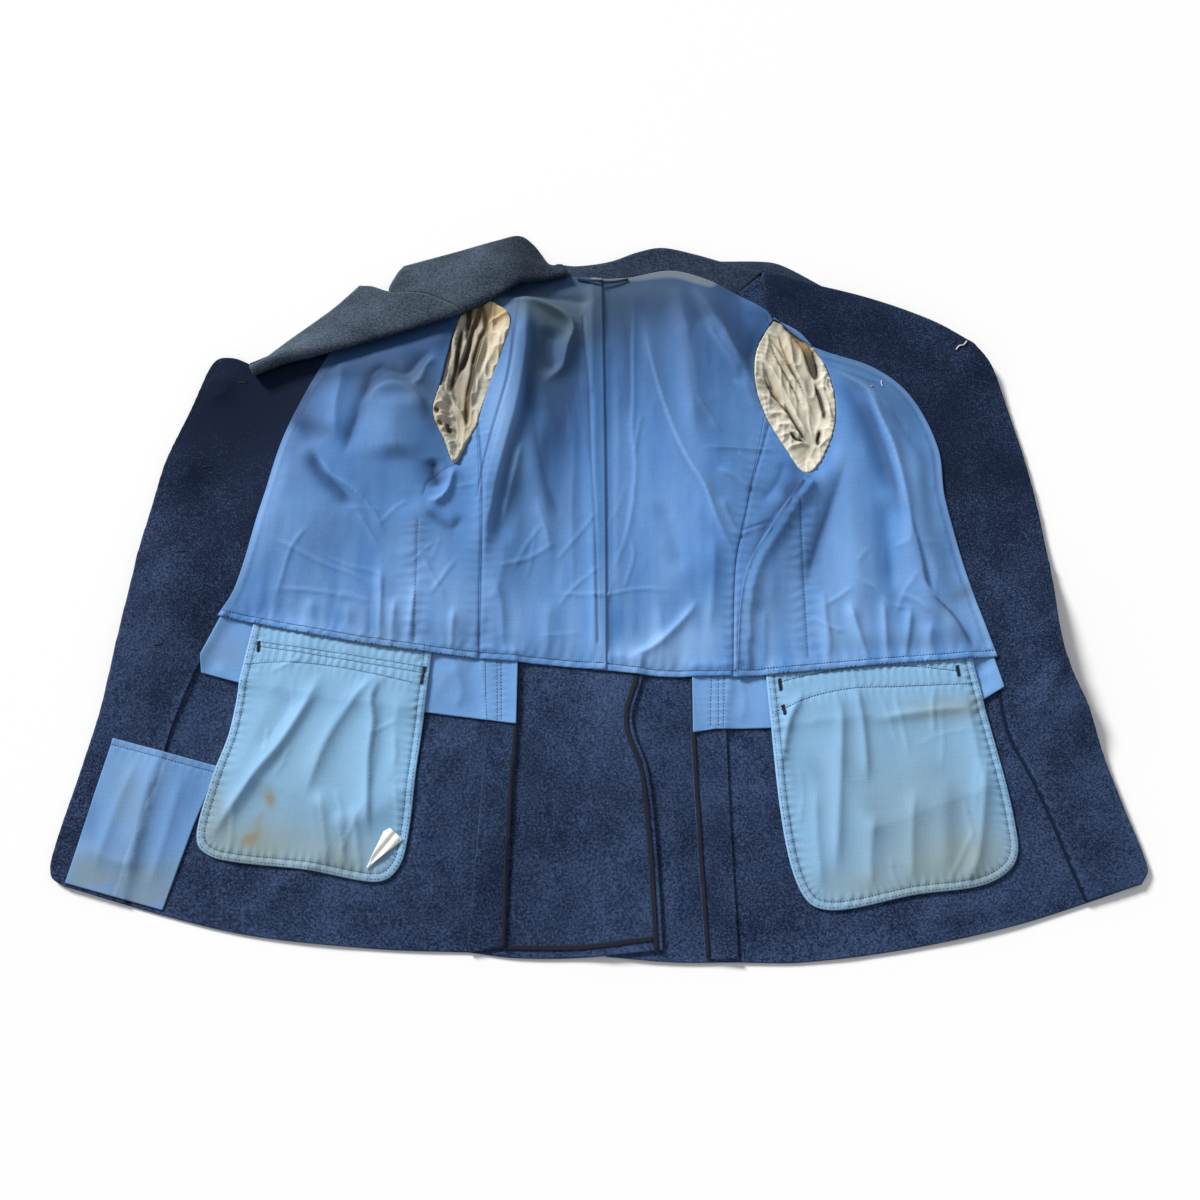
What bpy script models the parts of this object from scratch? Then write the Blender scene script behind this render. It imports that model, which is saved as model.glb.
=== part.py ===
"""Service tunic laid open on its back on a flat surface, with its lining up.

Every flat piece is cut from a plan outline and laid on the pieces below it, as a
maker would lay cloth on a table. All of them share one triangular lattice, so a
piece that lies on another is made from the same points, moved up. The rolled
pieces (lapels and collar) are profiles carried along their fold lines.

Plan tables are in millimetres. x runs to the right as the hem is seen nearest,
y runs from the hem to the collar, and z is up. The origin is the middle of the
tunic's footprint on the surface.
"""

import math

import bmesh
import bpy
import numpy as np
from mathutils.geometry import delaunay_2d_cdt

MM = 0.001

# Driving sizes
LATTICE = 0.036          # spacing of the shared lattice
CURVE_STEP = 0.028       # spacing of the points on a gentle edge
GAP = 0.0003             # pieces are this far apart
WOOL = 0.0016            # wool serge
FACING = 0.0014          # the same wool, pressed over canvas
LINING = 0.0009          # cotton sateen
POCKETING = 0.0008       # twill of the pocket bags and stays
BINDING = 0.0007         # bias tape
LAPEL = 0.0030           # two layers of wool, turned at the edge
BINDING_WIDTH = 0.0065
ROLL_INSET = 0.010       # where the flat front hands over to the rolled lapel
CREST_LEFT = 0.0200      # height of the middle of the cloth on the standing roll
COLLAR_TUCK = 0.055      # width of the collar's fall below the back neck
LAPEL_TUCK = 0.060       # width of the lapel below the right front
SEAM_STEP = 0.0022       # the collar starts this far past the gorge seam
BUTTON_RADIUS = 0.0125
BUTTON_HEIGHT = 0.0045

# Side seams, from the hem to the armhole
SIDE_SEAM_LEFT = [
    ("hem", -124, -402),
    ("skirt", -115, -182),
    ("waist", -123, -116),
    ("side", -128, 60),
    ("armhole", -134, 145),
]
SIDE_SEAM_RIGHT = [
    ("hem", 130, -411),
    ("skirt", 127, -180),
    ("waist", 135, -133),
    ("side", 141, -21),
    ("chest", 156, 48),
    ("armhole", 181, 160),
]

# Armholes: the front part runs from the side seam round the bottom to the shoulder
ARMHOLE_LEFT_FRONT = [
    ("seam", -134, 145),
    ("under", -145, 122),
    ("bottom", -157, 101),
    ("notch", -170, 130),
    ("low front", -183, 161),
    ("front", -176, 200),
    ("high front", -171, 235),
    ("shoulder front", -160, 285),
    ("shoulder", -134, 312),
]
ARMHOLE_LEFT_BACK = [
    ("seam", -134, 145),
    ("low back", -121, 199),
    ("back", -107, 243),
    ("high back", -101, 283),
    ("shoulder", -134, 312),
]
ARMHOLE_RIGHT_FRONT = [
    ("seam", 181, 160),
    ("under", 199, 124),
    ("bottom", 221, 86),
    ("low front", 242, 108),
    ("front", 258, 157),
    ("high front", 252, 222),
    ("shoulder front", 226, 262),
    ("shoulder", 196, 281),
]
ARMHOLE_RIGHT_BACK = [
    ("seam", 181, 160),
    ("low back", 171, 200),
    ("back", 176, 245),
    ("shoulder", 196, 281),
]

# Free edges of the two fronts, from the collar down to the hem corner
FRONT_EDGE_LEFT = [
    ("turn", -388, 224),
    ("turned edge", -412, 234),
    ("top corner", -431, 231),
    ("first button", -443, 195),
    ("chest", -469, 111),
    ("second button", -482, 35),
    ("waist", -492, -60),
    ("third button", -500, -153),
    ("skirt", -512, -225),
    ("low skirt", -528, -312),
    ("corner", -526, -333),
    ("hem corner", -512, -342),
]
FRONT_EDGE_RIGHT = [
    ("top of edge", 418, 251),
    ("first buttonhole", 437, 222),
    ("chest", 452, 160),
    ("second buttonhole", 465, 80),
    ("bulge", 471, -10),
    ("third buttonhole", 468, -80),
    ("fold of edge", 472, -125),
    ("skirt", 489, -178),
    ("low skirt", 512, -270),
    ("corner", 526, -326),
    ("hem corner", 518, -340),
]

# Hems, from left to right
HEM_FRONT_LEFT = [
    ("corner", -512, -342),
    ("pocket", -417, -368),
    ("front", -330, -387),
    ("side", -210, -399),
    ("seam", -124, -402),
]
HEM_BACK_LEFT = [
    ("seam", -124, -402),
    ("low", -80, -407),
    ("middle", -20, -407),
    ("vent", 59, -400),
]
HEM_BACK_RIGHT = [
    ("vent", 6, -406),
    ("middle", 70, -411),
    ("seam", 130, -411),
]
HEM_FRONT_RIGHT = [
    ("seam", 130, -411),
    ("side", 190, -411),
    ("front", 290, -399),
    ("low front", 400, -376),
    ("corner", 518, -340),
]

# The vent, from the waist down
VENT_EDGE = [
    ("top", 45, -118),
    ("waist", 42, -140),
    ("inward", 32, -182),
    ("outward", 47, -233),
    ("skirt", 54, -300),
    ("hem", 59, -400),
]
VENT_UNDERLAP = [
    ("top", 6, -112),
    ("skirt", 3, -250),
    ("hem", 6, -406),
]

# Centre back, from the neck to the waist
CENTRE_BACK = [
    ("neck", 2, 334),
    ("chest", 5, 100),
    ("waist", 6, -112),
]

# Neck seam, from the left shoulder to the lapel on the right
NECK_LEFT = [
    ("shoulder", -112, 330),
    ("side neck", -90, 334),
    ("neck", -69, 334),
    ("back neck", -30, 337),
    ("centre", 2, 334),
]
NECK_RIGHT = [
    ("centre", 2, 334),
    ("back neck", 32, 336),
    ("high", 82, 345),
    ("side neck", 125, 332),
    ("gorge", 155, 314),
]

# Roll line of the standing lapel and collar, from the front edge to the back neck
ROLL_LEFT = [
    ("start", -386, 214),
    ("low lapel", -349, 231),
    ("lapel", -304, 240),
    ("mid lapel", -231, 261),
    ("gorge", -159, 291),
]
ROLL_COLLAR = [
    ("gorge", -159, 291),
    ("collar", -123, 308),
    ("side neck", -90, 321),
    ("back neck", -52, 334),
]
LAPEL_EDGE = [
    ("start", -391, 221),
    ("low", -352, 258),
    ("belly", -305, 300),
    ("tip", -277, 331),
]
GORGE_LEFT = [
    ("tip", -277, 331),
    ("under tip", -262, 328),
    ("notch", -241, 318),
    ("middle", -200, 311),
    ("roll", -159, 291),
]
COLLAR_FRONT_LEFT = [
    ("roll", -159, 291),
    ("middle", -200, 311),
    ("notch", -241, 318),
    ("front", -236, 345),
    ("tip", -229, 358),
]
COLLAR_EDGE_LEFT = [
    ("tip", -229, 358),
    ("fall", -175, 375),
    ("crown", -117, 394),
    ("high", -94, 399),
    ("turn", -76, 384),
    ("dip", -60, 360),
]

# Fold line of the collar at the back neck, then of the tucked lapel on the right
FOLD_COLLAR = [
    ("left", -50, 357),
    ("dip", -26, 354),
    ("centre", 12, 360),
    ("rise", 44, 373),
    ("high", 72, 379),
    ("right", 110, 370),
    ("side neck", 149, 357),
    ("gorge", 186, 347),
]
FOLD_LAPEL = [
    ("gorge", 186, 347),
    ("shoulder", 240, 330),
    ("lapel", 297, 313),
    ("mid lapel", 343, 296),
    ("low lapel", 383, 277),
    ("end", 414, 256),
]
COLLAR_END_RIGHT = [
    ("back", 140, 365),
    ("high", 196, 364),
    ("tip", 216, 357),
    ("front", 258, 330),
]

# Upper edge of the left front and its lining, hidden below the standing lapel
UNDER_LAPEL_LEFT = [
    ("shoulder", -112, 330),
    ("collar", -140, 318),
    ("gorge", -160, 306),
    ("lapel", -231, 277),
    ("low lapel", -304, 254),
    ("narrow", -349, 241),
    ("turn", -388, 224),
]

# Inner edges of the facings, from the top to the hem
FACING_LEFT_INNER = [
    ("top", -290, 258),
    ("chest", -310, 198),
    ("mid chest", -334, 126),
    ("waist above", -352, 30),
    ("waist", -390, -80),
    ("skirt", -412, -132),
    ("pocket", -432, -208),
    ("hem", -452, -358),
]
FACING_RIGHT_INNER = [
    ("gorge", 155, 314),
    ("shoulder", 189, 290),
    ("top", 237, 250),
    ("bend", 298, 218),
    ("chest", 350, 146),
    ("mid chest", 358, 57),
    ("waist above", 374, -46),
    ("waist", 398, -128),
    ("skirt", 404, -190),
    ("low skirt", 426, -250),
    ("near hem", 451, -325),
    ("hem", 462, -356),
]

# Front edges of the lining, from the top to the waist
LINING_LEFT_EDGE = [
    ("top", -300, 254),
    ("roll", -304, 240),
    ("chest", -331, 175),
    ("mid chest", -346, 126),
    ("low chest", -357, 60),
    ("waist above", -379, -39),
    ("waist", -394, -71),
]
LINING_RIGHT_EDGE = [
    ("top", 197, 282),
    ("shoulder", 239, 247),
    ("bend", 303, 219),
    ("chest", 342, 182),
    ("mid chest", 366, 120),
    ("low chest", 367, 57),
    ("waist above", 384, -46),
    ("waist", 402, -117),
]
LINING_HEM_LEFT_FRONT = [
    ("edge", -394, -71),
    ("pocket", -300, -91),
    ("side", -221, -105),
    ("seam", -123, -117),
]
LINING_HEM_LEFT_BACK = [
    ("seam", -123, -117),
    ("back", -81, -120),
    ("centre", 6, -129),
]
LINING_HEM_RIGHT_BACK = [
    ("centre", -7, -128),
    ("back", 60, -135),
    ("seam", 135, -135),
]
LINING_HEM_RIGHT_FRONT = [
    ("fold", 138, -136),
    ("side", 192, -133),
    ("pocket", 304, -123),
    ("edge", 402, -117),
]

# Fold edge where the right front lining lies over the side
LINING_RIGHT_FOLD = [
    ("armhole", 221, 86),
    ("fold", 186, 34),
    ("low fold", 150, -30),
    ("waist", 138, -136),
]

# Waist stays behind the pocket bags
STAY_LEFT = [
    ("top front", -388, -64),
    ("front", -407, -112),
    ("corner", -405, -131),
    ("low front", -364, -142),
    ("below bag", -270, -160),
    ("rear", -171, -173),
    ("low rear", -129, -178),
    ("rear corner", -84, -184),
    ("top rear", -84, -108),
    ("top side", -221, -96),
]
STAY_RIGHT = [
    ("top front", 396, -106),
    ("front corner", 406, -148),
    ("low front", 385, -160),
    ("below bag", 280, -178),
    ("rear", 171, -188),
    ("low rear", 116, -189),
    ("rear corner", 93, -193),
    ("top rear", 94, -124),
    ("top side", 240, -114),
]

# Pocket bags, with the top edge below the lining's hem
BAG_LEFT_SIDES = [
    ("top left", -356, -74),
    ("mouth left", -364, -130),
    ("left", -370, -192),
    ("low left", -380, -230),
    ("left corner", -391, -288),
    ("corner", -387, -306),
    ("bottom left", -366, -317),
    ("bottom", -280, -327),
    ("bottom right", -218, -338),
    ("corner right", -200, -333),
    ("right corner", -188, -311),
    ("right", -180, -223),
    ("top right", -171, -104),
]
BAG_LEFT_TOP = [
    ("top right", -171, -104),
    ("top left", -356, -74),
]
BAG_RIGHT_SIDES = [
    ("top left", 168, -126),
    ("left", 172, -200),
    ("low left", 177, -280),
    ("left corner", 186, -332),
    ("corner", 201, -359),
    ("bottom left", 228, -364),
    ("bottom", 300, -350),
    ("bottom right", 366, -341),
    ("corner right", 396, -324),
    ("right corner", 404, -300),
    ("right", 393, -210),
    ("top right", 376, -112),
]
BAG_RIGHT_TOP = [
    ("top right", 376, -112),
    ("top left", 168, -126),
]
CORNER_POCKET = [
    ("top left", -485, -199),
    ("bottom left", -511, -339),
    ("bottom right", -416, -364),
    ("right", -396, -286),
    ("top right", -378, -227),
]

# Bound edges of the side seam allowances, from the waist to the hem
BOUND_LEFT = [
    ("waist", -82, -108),
    ("skirt", -82, -182),
    ("middle", -86, -265),
    ("hem", -89, -398),
]
BOUND_RIGHT = [
    ("waist", 91, -122),
    ("skirt", 91, -191),
    ("middle", 94, -290),
    ("hem", 99, -407),
]
HEM_BINDING = [
    ("seam", -86, -396),
    ("middle", -20, -396),
    ("vent", 49, -388),
]
TORN_TAG = [
    ("end", -224, -326),
    ("left", -209, -291),
    ("top", -203, -288),
    ("right", -190, -299),
]

# Sleeves lie below the body: axis and half width, from the crown to the cuff
SLEEVE_LEFT = [
    ("crown", -134, 312, 22),
    ("cap", -136, 285, 58),
    ("upper arm", -145, 175, 90),
    ("elbow", -188, -20, 84),
    ("forearm", -243, -140, 76),
    ("cuff", -296, -258, 68),
]
SLEEVE_RIGHT = [
    ("crown", 206, 290, 22),
    ("cap", 208, 265, 56),
    ("upper arm", 214, 160, 90),
    ("elbow", 246, -30, 84),
    ("forearm", 285, -150, 76),
    ("cuff", 326, -268, 68),
]

# Soft rises of the cloth: ridge from one end to the other, reach to each side, height
RISES = [
    ("back neck and collar", -30, 345, 120, 358, 80, 8.0),
    ("shoulder and tucked lapel", 120, 358, 300, 300, 85, 9.5),
    ("lower lapel", 300, 300, 415, 245, 80, 9.0),
    ("left chest", -215, 190, -330, 40, 115, 12.0),
    ("right chest", 290, 160, 335, 10, 100, 13.0),
    ("ridge beside left armhole", -78, 285, -105, 90, 62, 13.0),
    ("ridge below right armhole", 225, 70, 165, -40, 62, 12.0),
    ("back, left of the middle", -45, 240, -60, -60, 56, 8.0),
    ("back, right of the middle", 75, 250, 95, 0, 60, 9.0),
    ("wave of the right edge", 440, -60, 470, -160, 66, 17.0),
    ("lay-over on the right", 330, 20, 385, -95, 60, 12.0),
    ("left waist", -430, -20, -455, -130, 66, 8.0),
    ("left skirt", -140, -230, -150, -320, 66, 6.0),
    ("vent wave", 30, -160, 45, -240, 56, 6.0),
    ("right skirt", 430, -230, 460, -290, 56, 7.0),
]

BUTTONS_LEFT = [
    ("button_1", -424, 196),
    ("button_2", -452, 96),
    ("button_3", -468, -4),
    ("button_4", -478, -104),
]

HANGER_SPAN = (-26, 32)
HANGER_Y = 331
HANGER_SAG = 0.007
HANGER_WIDTH = 0.006

COLOURS = {
    "wool": (0.030, 0.045, 0.085),
    "wool_faded": (0.085, 0.115, 0.165),
    "lining": (0.105, 0.290, 0.600),
    "stay": (0.150, 0.350, 0.640),
    "pocketing": (0.220, 0.400, 0.560),
    "sleeve_lining": (0.560, 0.500, 0.360),
    "binding": (0.010, 0.013, 0.025),
    "tag": (0.800, 0.790, 0.740),
    "brass": (0.600, 0.420, 0.150),
}


def smooth(rows, step=CURVE_STEP):
    """Points on a smooth curve through the rows of a plan table, in metres."""
    knots = np.array([row[1:3] for row in rows], float) * MM
    if len(knots) == 2:
        knots = np.array([knots[0], knots.mean(axis=0), knots[1]])
    before = 2 * knots[0] - knots[1]
    after = 2 * knots[-1] - knots[-2]
    knots = np.vstack([before, knots, after])
    points = []
    for index in range(1, len(knots) - 2):
        a, b, c, d = knots[index - 1:index + 3]
        length = np.linalg.norm(c - b)
        slope_b = (c - a) * length / (length + np.linalg.norm(b - a))
        slope_c = (d - b) * length / (length + np.linalg.norm(d - c))
        count = max(1, int(round(length / step)))
        for part in range(count):
            t = part / count
            points.append(b * (2 * t**3 - 3 * t**2 + 1) + c * (3 * t**2 - 2 * t**3)
                          + slope_b * (t**3 - 2 * t**2 + t) + slope_c * (t**3 - t**2))
    points.append(knots[-2])
    return np.array(points)


def normals_of(points):
    """Unit vectors to the left of a curve's direction, one for each point."""
    along = np.gradient(points, axis=0)
    along /= np.linalg.norm(along, axis=1)[:, None]
    return np.column_stack([-along[:, 1], along[:, 0]])


def beside(points, distance):
    """The curve moved to its own left by a distance."""
    return points + normals_of(points) * distance


def joined(*curves):
    """One closed outline from curves that follow each other."""
    loop = []
    for curve in curves:
        for point in curve:
            if not loop or np.linalg.norm(point - loop[-1]) > 2 * GAP:
                loop.append(point)
    if np.linalg.norm(loop[0] - loop[-1]) <= 2 * GAP:
        loop.pop()
    return np.array(loop)


def signed_area(loop):
    """Area of a plan outline, positive when it runs anticlockwise."""
    x, y = loop[:, 0], loop[:, 1]
    return 0.5 * float(np.sum(x * np.roll(y, -1) - np.roll(x, -1) * y))


def rise_height(x, y):
    """Height of the soft rises of the cloth at a place."""
    height = 0.0
    for _, x0, y0, x1, y1, reach, top in RISES:
        start = np.array([x0, y0]) * MM
        run = np.array([x1 - x0, y1 - y0]) * MM
        part = np.dot(np.array([x, y]) - start, run) / np.dot(run, run)
        nearest = start + run * min(1.0, max(0.0, part))
        away = np.linalg.norm(np.array([x, y]) - nearest) / (reach * MM)
        if away < 1.0:
            height = max(height, top * MM * 0.5 * (1 + math.cos(math.pi * away)))
    return height


class Table:
    """The surface that the pieces are laid on, with the height of what lies there."""

    def __init__(self):
        self.top = {}

    def height(self, node, base=-GAP):
        """Height of the highest cloth at a lattice node."""
        return self.top.get(node, base)

    def cell_of(self, x, y):
        """The three lattice nodes round a place and its weight at each."""
        column, row = math.floor(x / LATTICE), math.floor(y / LATTICE)
        u, v = x / LATTICE - column, y / LATTICE - row
        corner, far = (column, row), (column + 1, row + 1)
        if u >= v:
            return (corner, (column + 1, row), far), (1 - u, u - v, v)
        return (corner, (column, row + 1), far), (1 - v, v - u, u)

    def top_at(self, x, y):
        """Height of the highest cloth at any place."""
        nodes, weights = self.cell_of(x, y)
        return sum(self.height(node) * weight for node, weight in zip(nodes, weights))

    def cut(self, outline):
        """Triangles of the lattice inside a plan outline."""
        if signed_area(outline) < 0:
            outline = outline[::-1]
        low = np.floor(outline.min(axis=0) / LATTICE).astype(int) - 1
        high = np.ceil(outline.max(axis=0) / LATTICE).astype(int) + 1
        places = [tuple(point) for point in outline]
        edges = [(k, (k + 1) % len(places)) for k in range(len(places))]
        face = list(range(len(places)))
        number = {}
        for column in range(low[0], high[0] + 1):
            for row in range(low[1], high[1] + 1):
                number[column, row] = len(places)
                places.append((column * LATTICE, row * LATTICE))
        for (column, row), index in number.items():
            for step in ((1, 0), (0, 1), (1, 1)):
                other = number.get((column + step[0], row + step[1]))
                if other is not None:
                    edges.append((index, other))
        found = delaunay_2d_cdt(places, edges, [face], 0, GAP / 3)
        inside = [tri for tri, source in zip(found[2], found[5]) if 0 in source]
        used = sorted({index for tri in inside for index in tri})
        renumber = {index: k for k, index in enumerate(used)}
        points = [found[0][index] for index in used]
        return points, [tuple(renumber[index] for index in tri) for tri in inside]

    def lay(self, thickness, outlines, floor=False):
        """Lay pieces side by side on what is there, and return their meshes."""
        cuts = {name: self.cut(outline) for name, outline in outlines.items()}
        touched = set()
        for points, triangles in cuts.values():
            for tri in triangles:
                x = sum(points[k][0] for k in tri) / 3
                y = sum(points[k][1] for k in tri) / 3
                touched.update(self.cell_of(x, y)[0])
        under = {}
        for node in touched:
            rise = 0.0 if floor else rise_height(node[0] * LATTICE, node[1] * LATTICE)
            under[node] = max(self.height(node) + GAP, rise)
        meshes = {}
        for name, (points, triangles) in cuts.items():
            bottom = []
            for x, y in points:
                nodes, weights = self.cell_of(x, y)
                height = sum(under[node] * weight for node, weight in zip(nodes, weights)
                             if weight > 1e-6)
                bottom.append((x, y, height))
            meshes[name] = wall(bottom, triangles, thickness)
        for node, height in under.items():
            self.top[node] = height + thickness
        return meshes

    def reserve(self, outline, thickness):
        """Keep room on the surface for the lower layer of a rolled piece."""
        for name, mesh in self.lay(thickness, {"room": outline}, floor=True).items():
            bpy.data.meshes.remove(mesh)


def wall(bottom, triangles, thickness):
    """Closed mesh of a sheet: its lower points, the same points moved up, and sides."""
    count = len(bottom)
    top = [(x, y, z + thickness) for x, y, z in bottom]
    faces = [tuple(reversed(tri)) for tri in triangles]
    faces += [tuple(index + count for index in tri) for tri in triangles]
    directed = {(tri[k], tri[(k + 1) % 3]) for tri in triangles for k in range(3)}
    for start, end in directed:
        if (end, start) not in directed:
            faces.append((start, end, end + count, start + count))
    mesh = bpy.data.meshes.new("sheet")
    mesh.from_pydata(bottom + top, [], sorted(faces))
    mesh.validate()
    return mesh


def material(name):
    """Principled material of one kind of cloth or metal."""
    found = bpy.data.materials.get(name)
    if found:
        return found
    made = bpy.data.materials.new(name)
    made.use_nodes = True
    shader = made.node_tree.nodes["Principled BSDF"]
    shader.inputs["Base Color"].default_value = (*COLOURS[name], 1.0)
    shader.inputs["Metallic"].default_value = 1.0 if name == "brass" else 0.0
    shader.inputs["Roughness"].default_value = 0.35 if name == "brass" else 0.9
    return made


def place(name, mesh, cloth):
    """Put a mesh in the scene as a named piece of one cloth."""
    mesh.name = name
    piece = bpy.data.objects.new(name, mesh)
    bpy.context.scene.collection.objects.link(piece)
    mesh.materials.append(material(cloth))
    return piece


def lay_on(table, thickness, cloth, floor=False, **outlines):
    """Lay named pieces of one cloth side by side."""
    for name, mesh in table.lay(thickness, outlines, floor).items():
        place(name, mesh, cloth)


def coons(low, high, left, right, across):
    """Grid between four edges: low and high run along, left and right across."""
    count = len(low)
    low = resampled(low, count)
    high = resampled(high, count)
    left = resampled(left, across)
    right = resampled(right, across)
    t = np.linspace(0, 1, count)[None, :, None]
    s = np.linspace(0, 1, across)[:, None, None]
    rails = (1 - s) * low[None] + s * high[None]
    ribs = (1 - t) * left[:, None] + t * right[:, None]
    corners = ((1 - s) * ((1 - t) * low[0] + t * low[-1])
               + s * ((1 - t) * high[0] + t * high[-1]))
    return rails + ribs - corners


def resampled(points, count):
    """A curve's points at even distances along it."""
    run = np.concatenate([[0], np.cumsum(np.linalg.norm(np.diff(points, axis=0), axis=1))])
    even = np.linspace(0, run[-1], count)
    return np.column_stack([np.interp(even, run, points[:, k]) for k in range(2)])


def grid_piece(name, rows, thickness, cloth):
    """Sheet through rows of points, thickened evenly about its middle surface."""
    rows = np.array(rows)
    across, along = rows.shape[:2]
    points = [tuple(point) for point in rows.reshape(-1, 3)]
    faces = []
    for i in range(across - 1):
        for k in range(along - 1):
            first = i * along + k
            faces.append((first, first + 1, first + along + 1, first + along))
    mesh = bpy.data.meshes.new(name)
    mesh.from_pydata(points, [], faces)
    mesh.update()
    piece = place(name, mesh, cloth)
    thick = piece.modifiers.new("cloth thickness", "SOLIDIFY")
    thick.thickness = thickness
    thick.offset = 0.0
    thick.use_even_offset = True
    return piece


def standing_roll(table, name, roll, edge, left, right, across, cloth):
    """Lapel or collar that stands in a soft roll and slopes down to its free edge.

    The cloth starts on the lining below the roll, turns up and over it, and then
    falls to the outer edge, which rests on the surface.
    """
    patch = coons(roll, edge, left, right, across)
    line = patch[0]
    inward = normals_of(line)
    half = LAPEL / 2
    foot = []
    for (x, y), (nx, ny) in zip(line, inward):
        near = [table.top_at(x + nx * d, y + ny * d) for d in (-0.02, 0.0, 0.015)]
        foot.append(max(max(near), 0.002) + 4 * GAP + half)
    foot = np.array(foot)
    crest = np.maximum(CREST_LEFT, foot + 0.0085)
    radius = (crest - foot) / 2
    rows = []
    for away, turn in ((0.011, -90), (0.003, -90), (0.0, -65), (0.0, -25), (0.0, 15), (0.0, 55)):
        angle = math.radians(turn)
        out = -radius * math.cos(angle) if turn > -90 else 0 * radius
        plan = line + inward * (away + out)[:, None]
        height = foot + radius * (1 + math.sin(angle))
        rows.append(np.column_stack([plan, height]))
    for index in range(1, across):
        s = index / (across - 1)
        fall = crest * (1 - s**1.6) + half * s**1.6
        below = np.array([table.top_at(x, y) for x, y in patch[index]])
        clear = np.where(below > 0, below + 4 * GAP + half, 0.0)
        rows.append(np.column_stack([patch[index], np.maximum(fall, clear)]))
    return grid_piece(name, rows, LAPEL, cloth)


def tucked_roll(name, fold, upper, width, height, cloth):
    """Collar or lapel that turns down at its fold line and lies below the body."""
    inward = -normals_of(fold)
    half = LAPEL / 2
    radius = (height - half) / 2
    rows = []
    for share in (1.0, 0.6, 0.25):
        plan = fold + inward * (radius + share * width)[:, None]
        rows.append(np.column_stack([plan, np.full(len(fold), half)]))
    for turn in (-90, -50, -15, 15, 50, 90):
        angle = math.radians(turn)
        plan = fold + inward * (radius * (1 - math.cos(angle)))[:, None]
        rows.append(np.column_stack([plan, half + radius * (1 + math.sin(angle))]))
    for share in (0.5, 1.0):
        start = fold + inward * radius[:, None]
        plan = start * (1 - share) + upper * share
        rows.append(np.column_stack([plan, height]))
    return grid_piece(name, rows[::-1], LAPEL, cloth)


def sleeve_sides(rows):
    """Left and right edges of a flattened sleeve, from the crown to the cuff."""
    axis = smooth(rows, 0.04)
    marks = np.array([row[1:3] for row in rows], float) * MM
    widths = np.array([row[3] for row in rows]) * MM
    key = np.array([np.argmin(np.linalg.norm(axis - mark, axis=1)) for mark in marks])
    half = np.interp(np.arange(len(axis)), key, widths)
    return beside(axis, half[:, None]), beside(axis, -half[:, None])


def sleeve_outline(rows, below=None):
    """Plan outline of a flattened sleeve, whole or from a height down."""
    left, right = sleeve_sides(rows)
    if below is not None:
        left = left[left[:, 1] < below]
        right = right[right[:, 1] < below]
    return joined(left, right[::-1])


def strip(curve, inner, outer):
    """Plan outline of a strip along a curve, between two distances to its left."""
    return joined(beside(curve, outer), beside(curve, inner)[::-1])


def build_sleeves(table):
    """Under sleeves, sleeve linings in the armholes, and top sleeves."""
    lay_on(table, WOOL, "wool", floor=True,
           sleeve_left_under=sleeve_outline(SLEEVE_LEFT),
           sleeve_right_under=sleeve_outline(SLEEVE_RIGHT))
    left_hole = joined(smooth(ARMHOLE_LEFT_FRONT), smooth(ARMHOLE_LEFT_BACK)[::-1])
    right_hole = joined(smooth(ARMHOLE_RIGHT_FRONT), smooth(ARMHOLE_RIGHT_BACK)[::-1])
    lay_on(table, LINING, "sleeve_lining", floor=True,
           sleeve_lining_left=grown(left_hole, 0.009),
           sleeve_lining_right=grown(right_hole, 0.009))
    lay_on(table, WOOL, "wool", floor=True,
           sleeve_left_top=sleeve_outline(SLEEVE_LEFT, below=0.088),
           sleeve_right_top=sleeve_outline(SLEEVE_RIGHT, below=0.074))


def grown(loop, distance):
    """A closed outline made larger by a distance all round."""
    if signed_area(loop) < 0:
        loop = loop[::-1]
    ahead = np.roll(loop, -1, axis=0) - np.roll(loop, 1, axis=0)
    ahead /= np.linalg.norm(ahead, axis=1)[:, None]
    return loop + np.column_stack([ahead[:, 1], -ahead[:, 0]]) * distance


def build_shell(table):
    """The wool body: two backs that lap at the vent, and two fronts."""
    seam_left, seam_right = smooth(SIDE_SEAM_LEFT), smooth(SIDE_SEAM_RIGHT)
    centre = smooth(CENTRE_BACK)
    half = GAP / 2
    inner_fold = beside(smooth(FOLD_LAPEL), -ROLL_INSET)
    shoulder_right = np.array([[0.196, 0.281], inner_fold[0]])
    back_right = joined(
        beside(seam_right, half), smooth(ARMHOLE_RIGHT_BACK), beside(shoulder_right, half),
        smooth(NECK_RIGHT)[::-1], centre, smooth(VENT_UNDERLAP), smooth(HEM_BACK_RIGHT))
    front_right = joined(
        beside(seam_right, -half), smooth(ARMHOLE_RIGHT_FRONT), beside(shoulder_right, -half),
        inner_fold, smooth(FRONT_EDGE_RIGHT), smooth(HEM_FRONT_RIGHT)[::-1])
    lay_on(table, WOOL, "wool", back_right=back_right, front_right=front_right)
    shoulder_left = smooth([ARMHOLE_LEFT_FRONT[-1], NECK_LEFT[0]])
    back_left = joined(
        beside(seam_left, -half), smooth(ARMHOLE_LEFT_BACK), beside(shoulder_left, -half),
        smooth(NECK_LEFT), beside(centre, -half), smooth(VENT_EDGE),
        smooth(HEM_BACK_LEFT)[::-1])
    front_left = joined(
        beside(seam_left, half), smooth(ARMHOLE_LEFT_FRONT), beside(shoulder_left, half),
        smooth(UNDER_LAPEL_LEFT), smooth(FRONT_EDGE_LEFT), smooth(HEM_FRONT_LEFT))
    lay_on(table, WOOL, "wool", back_left=back_left, front_left=front_left)


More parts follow.
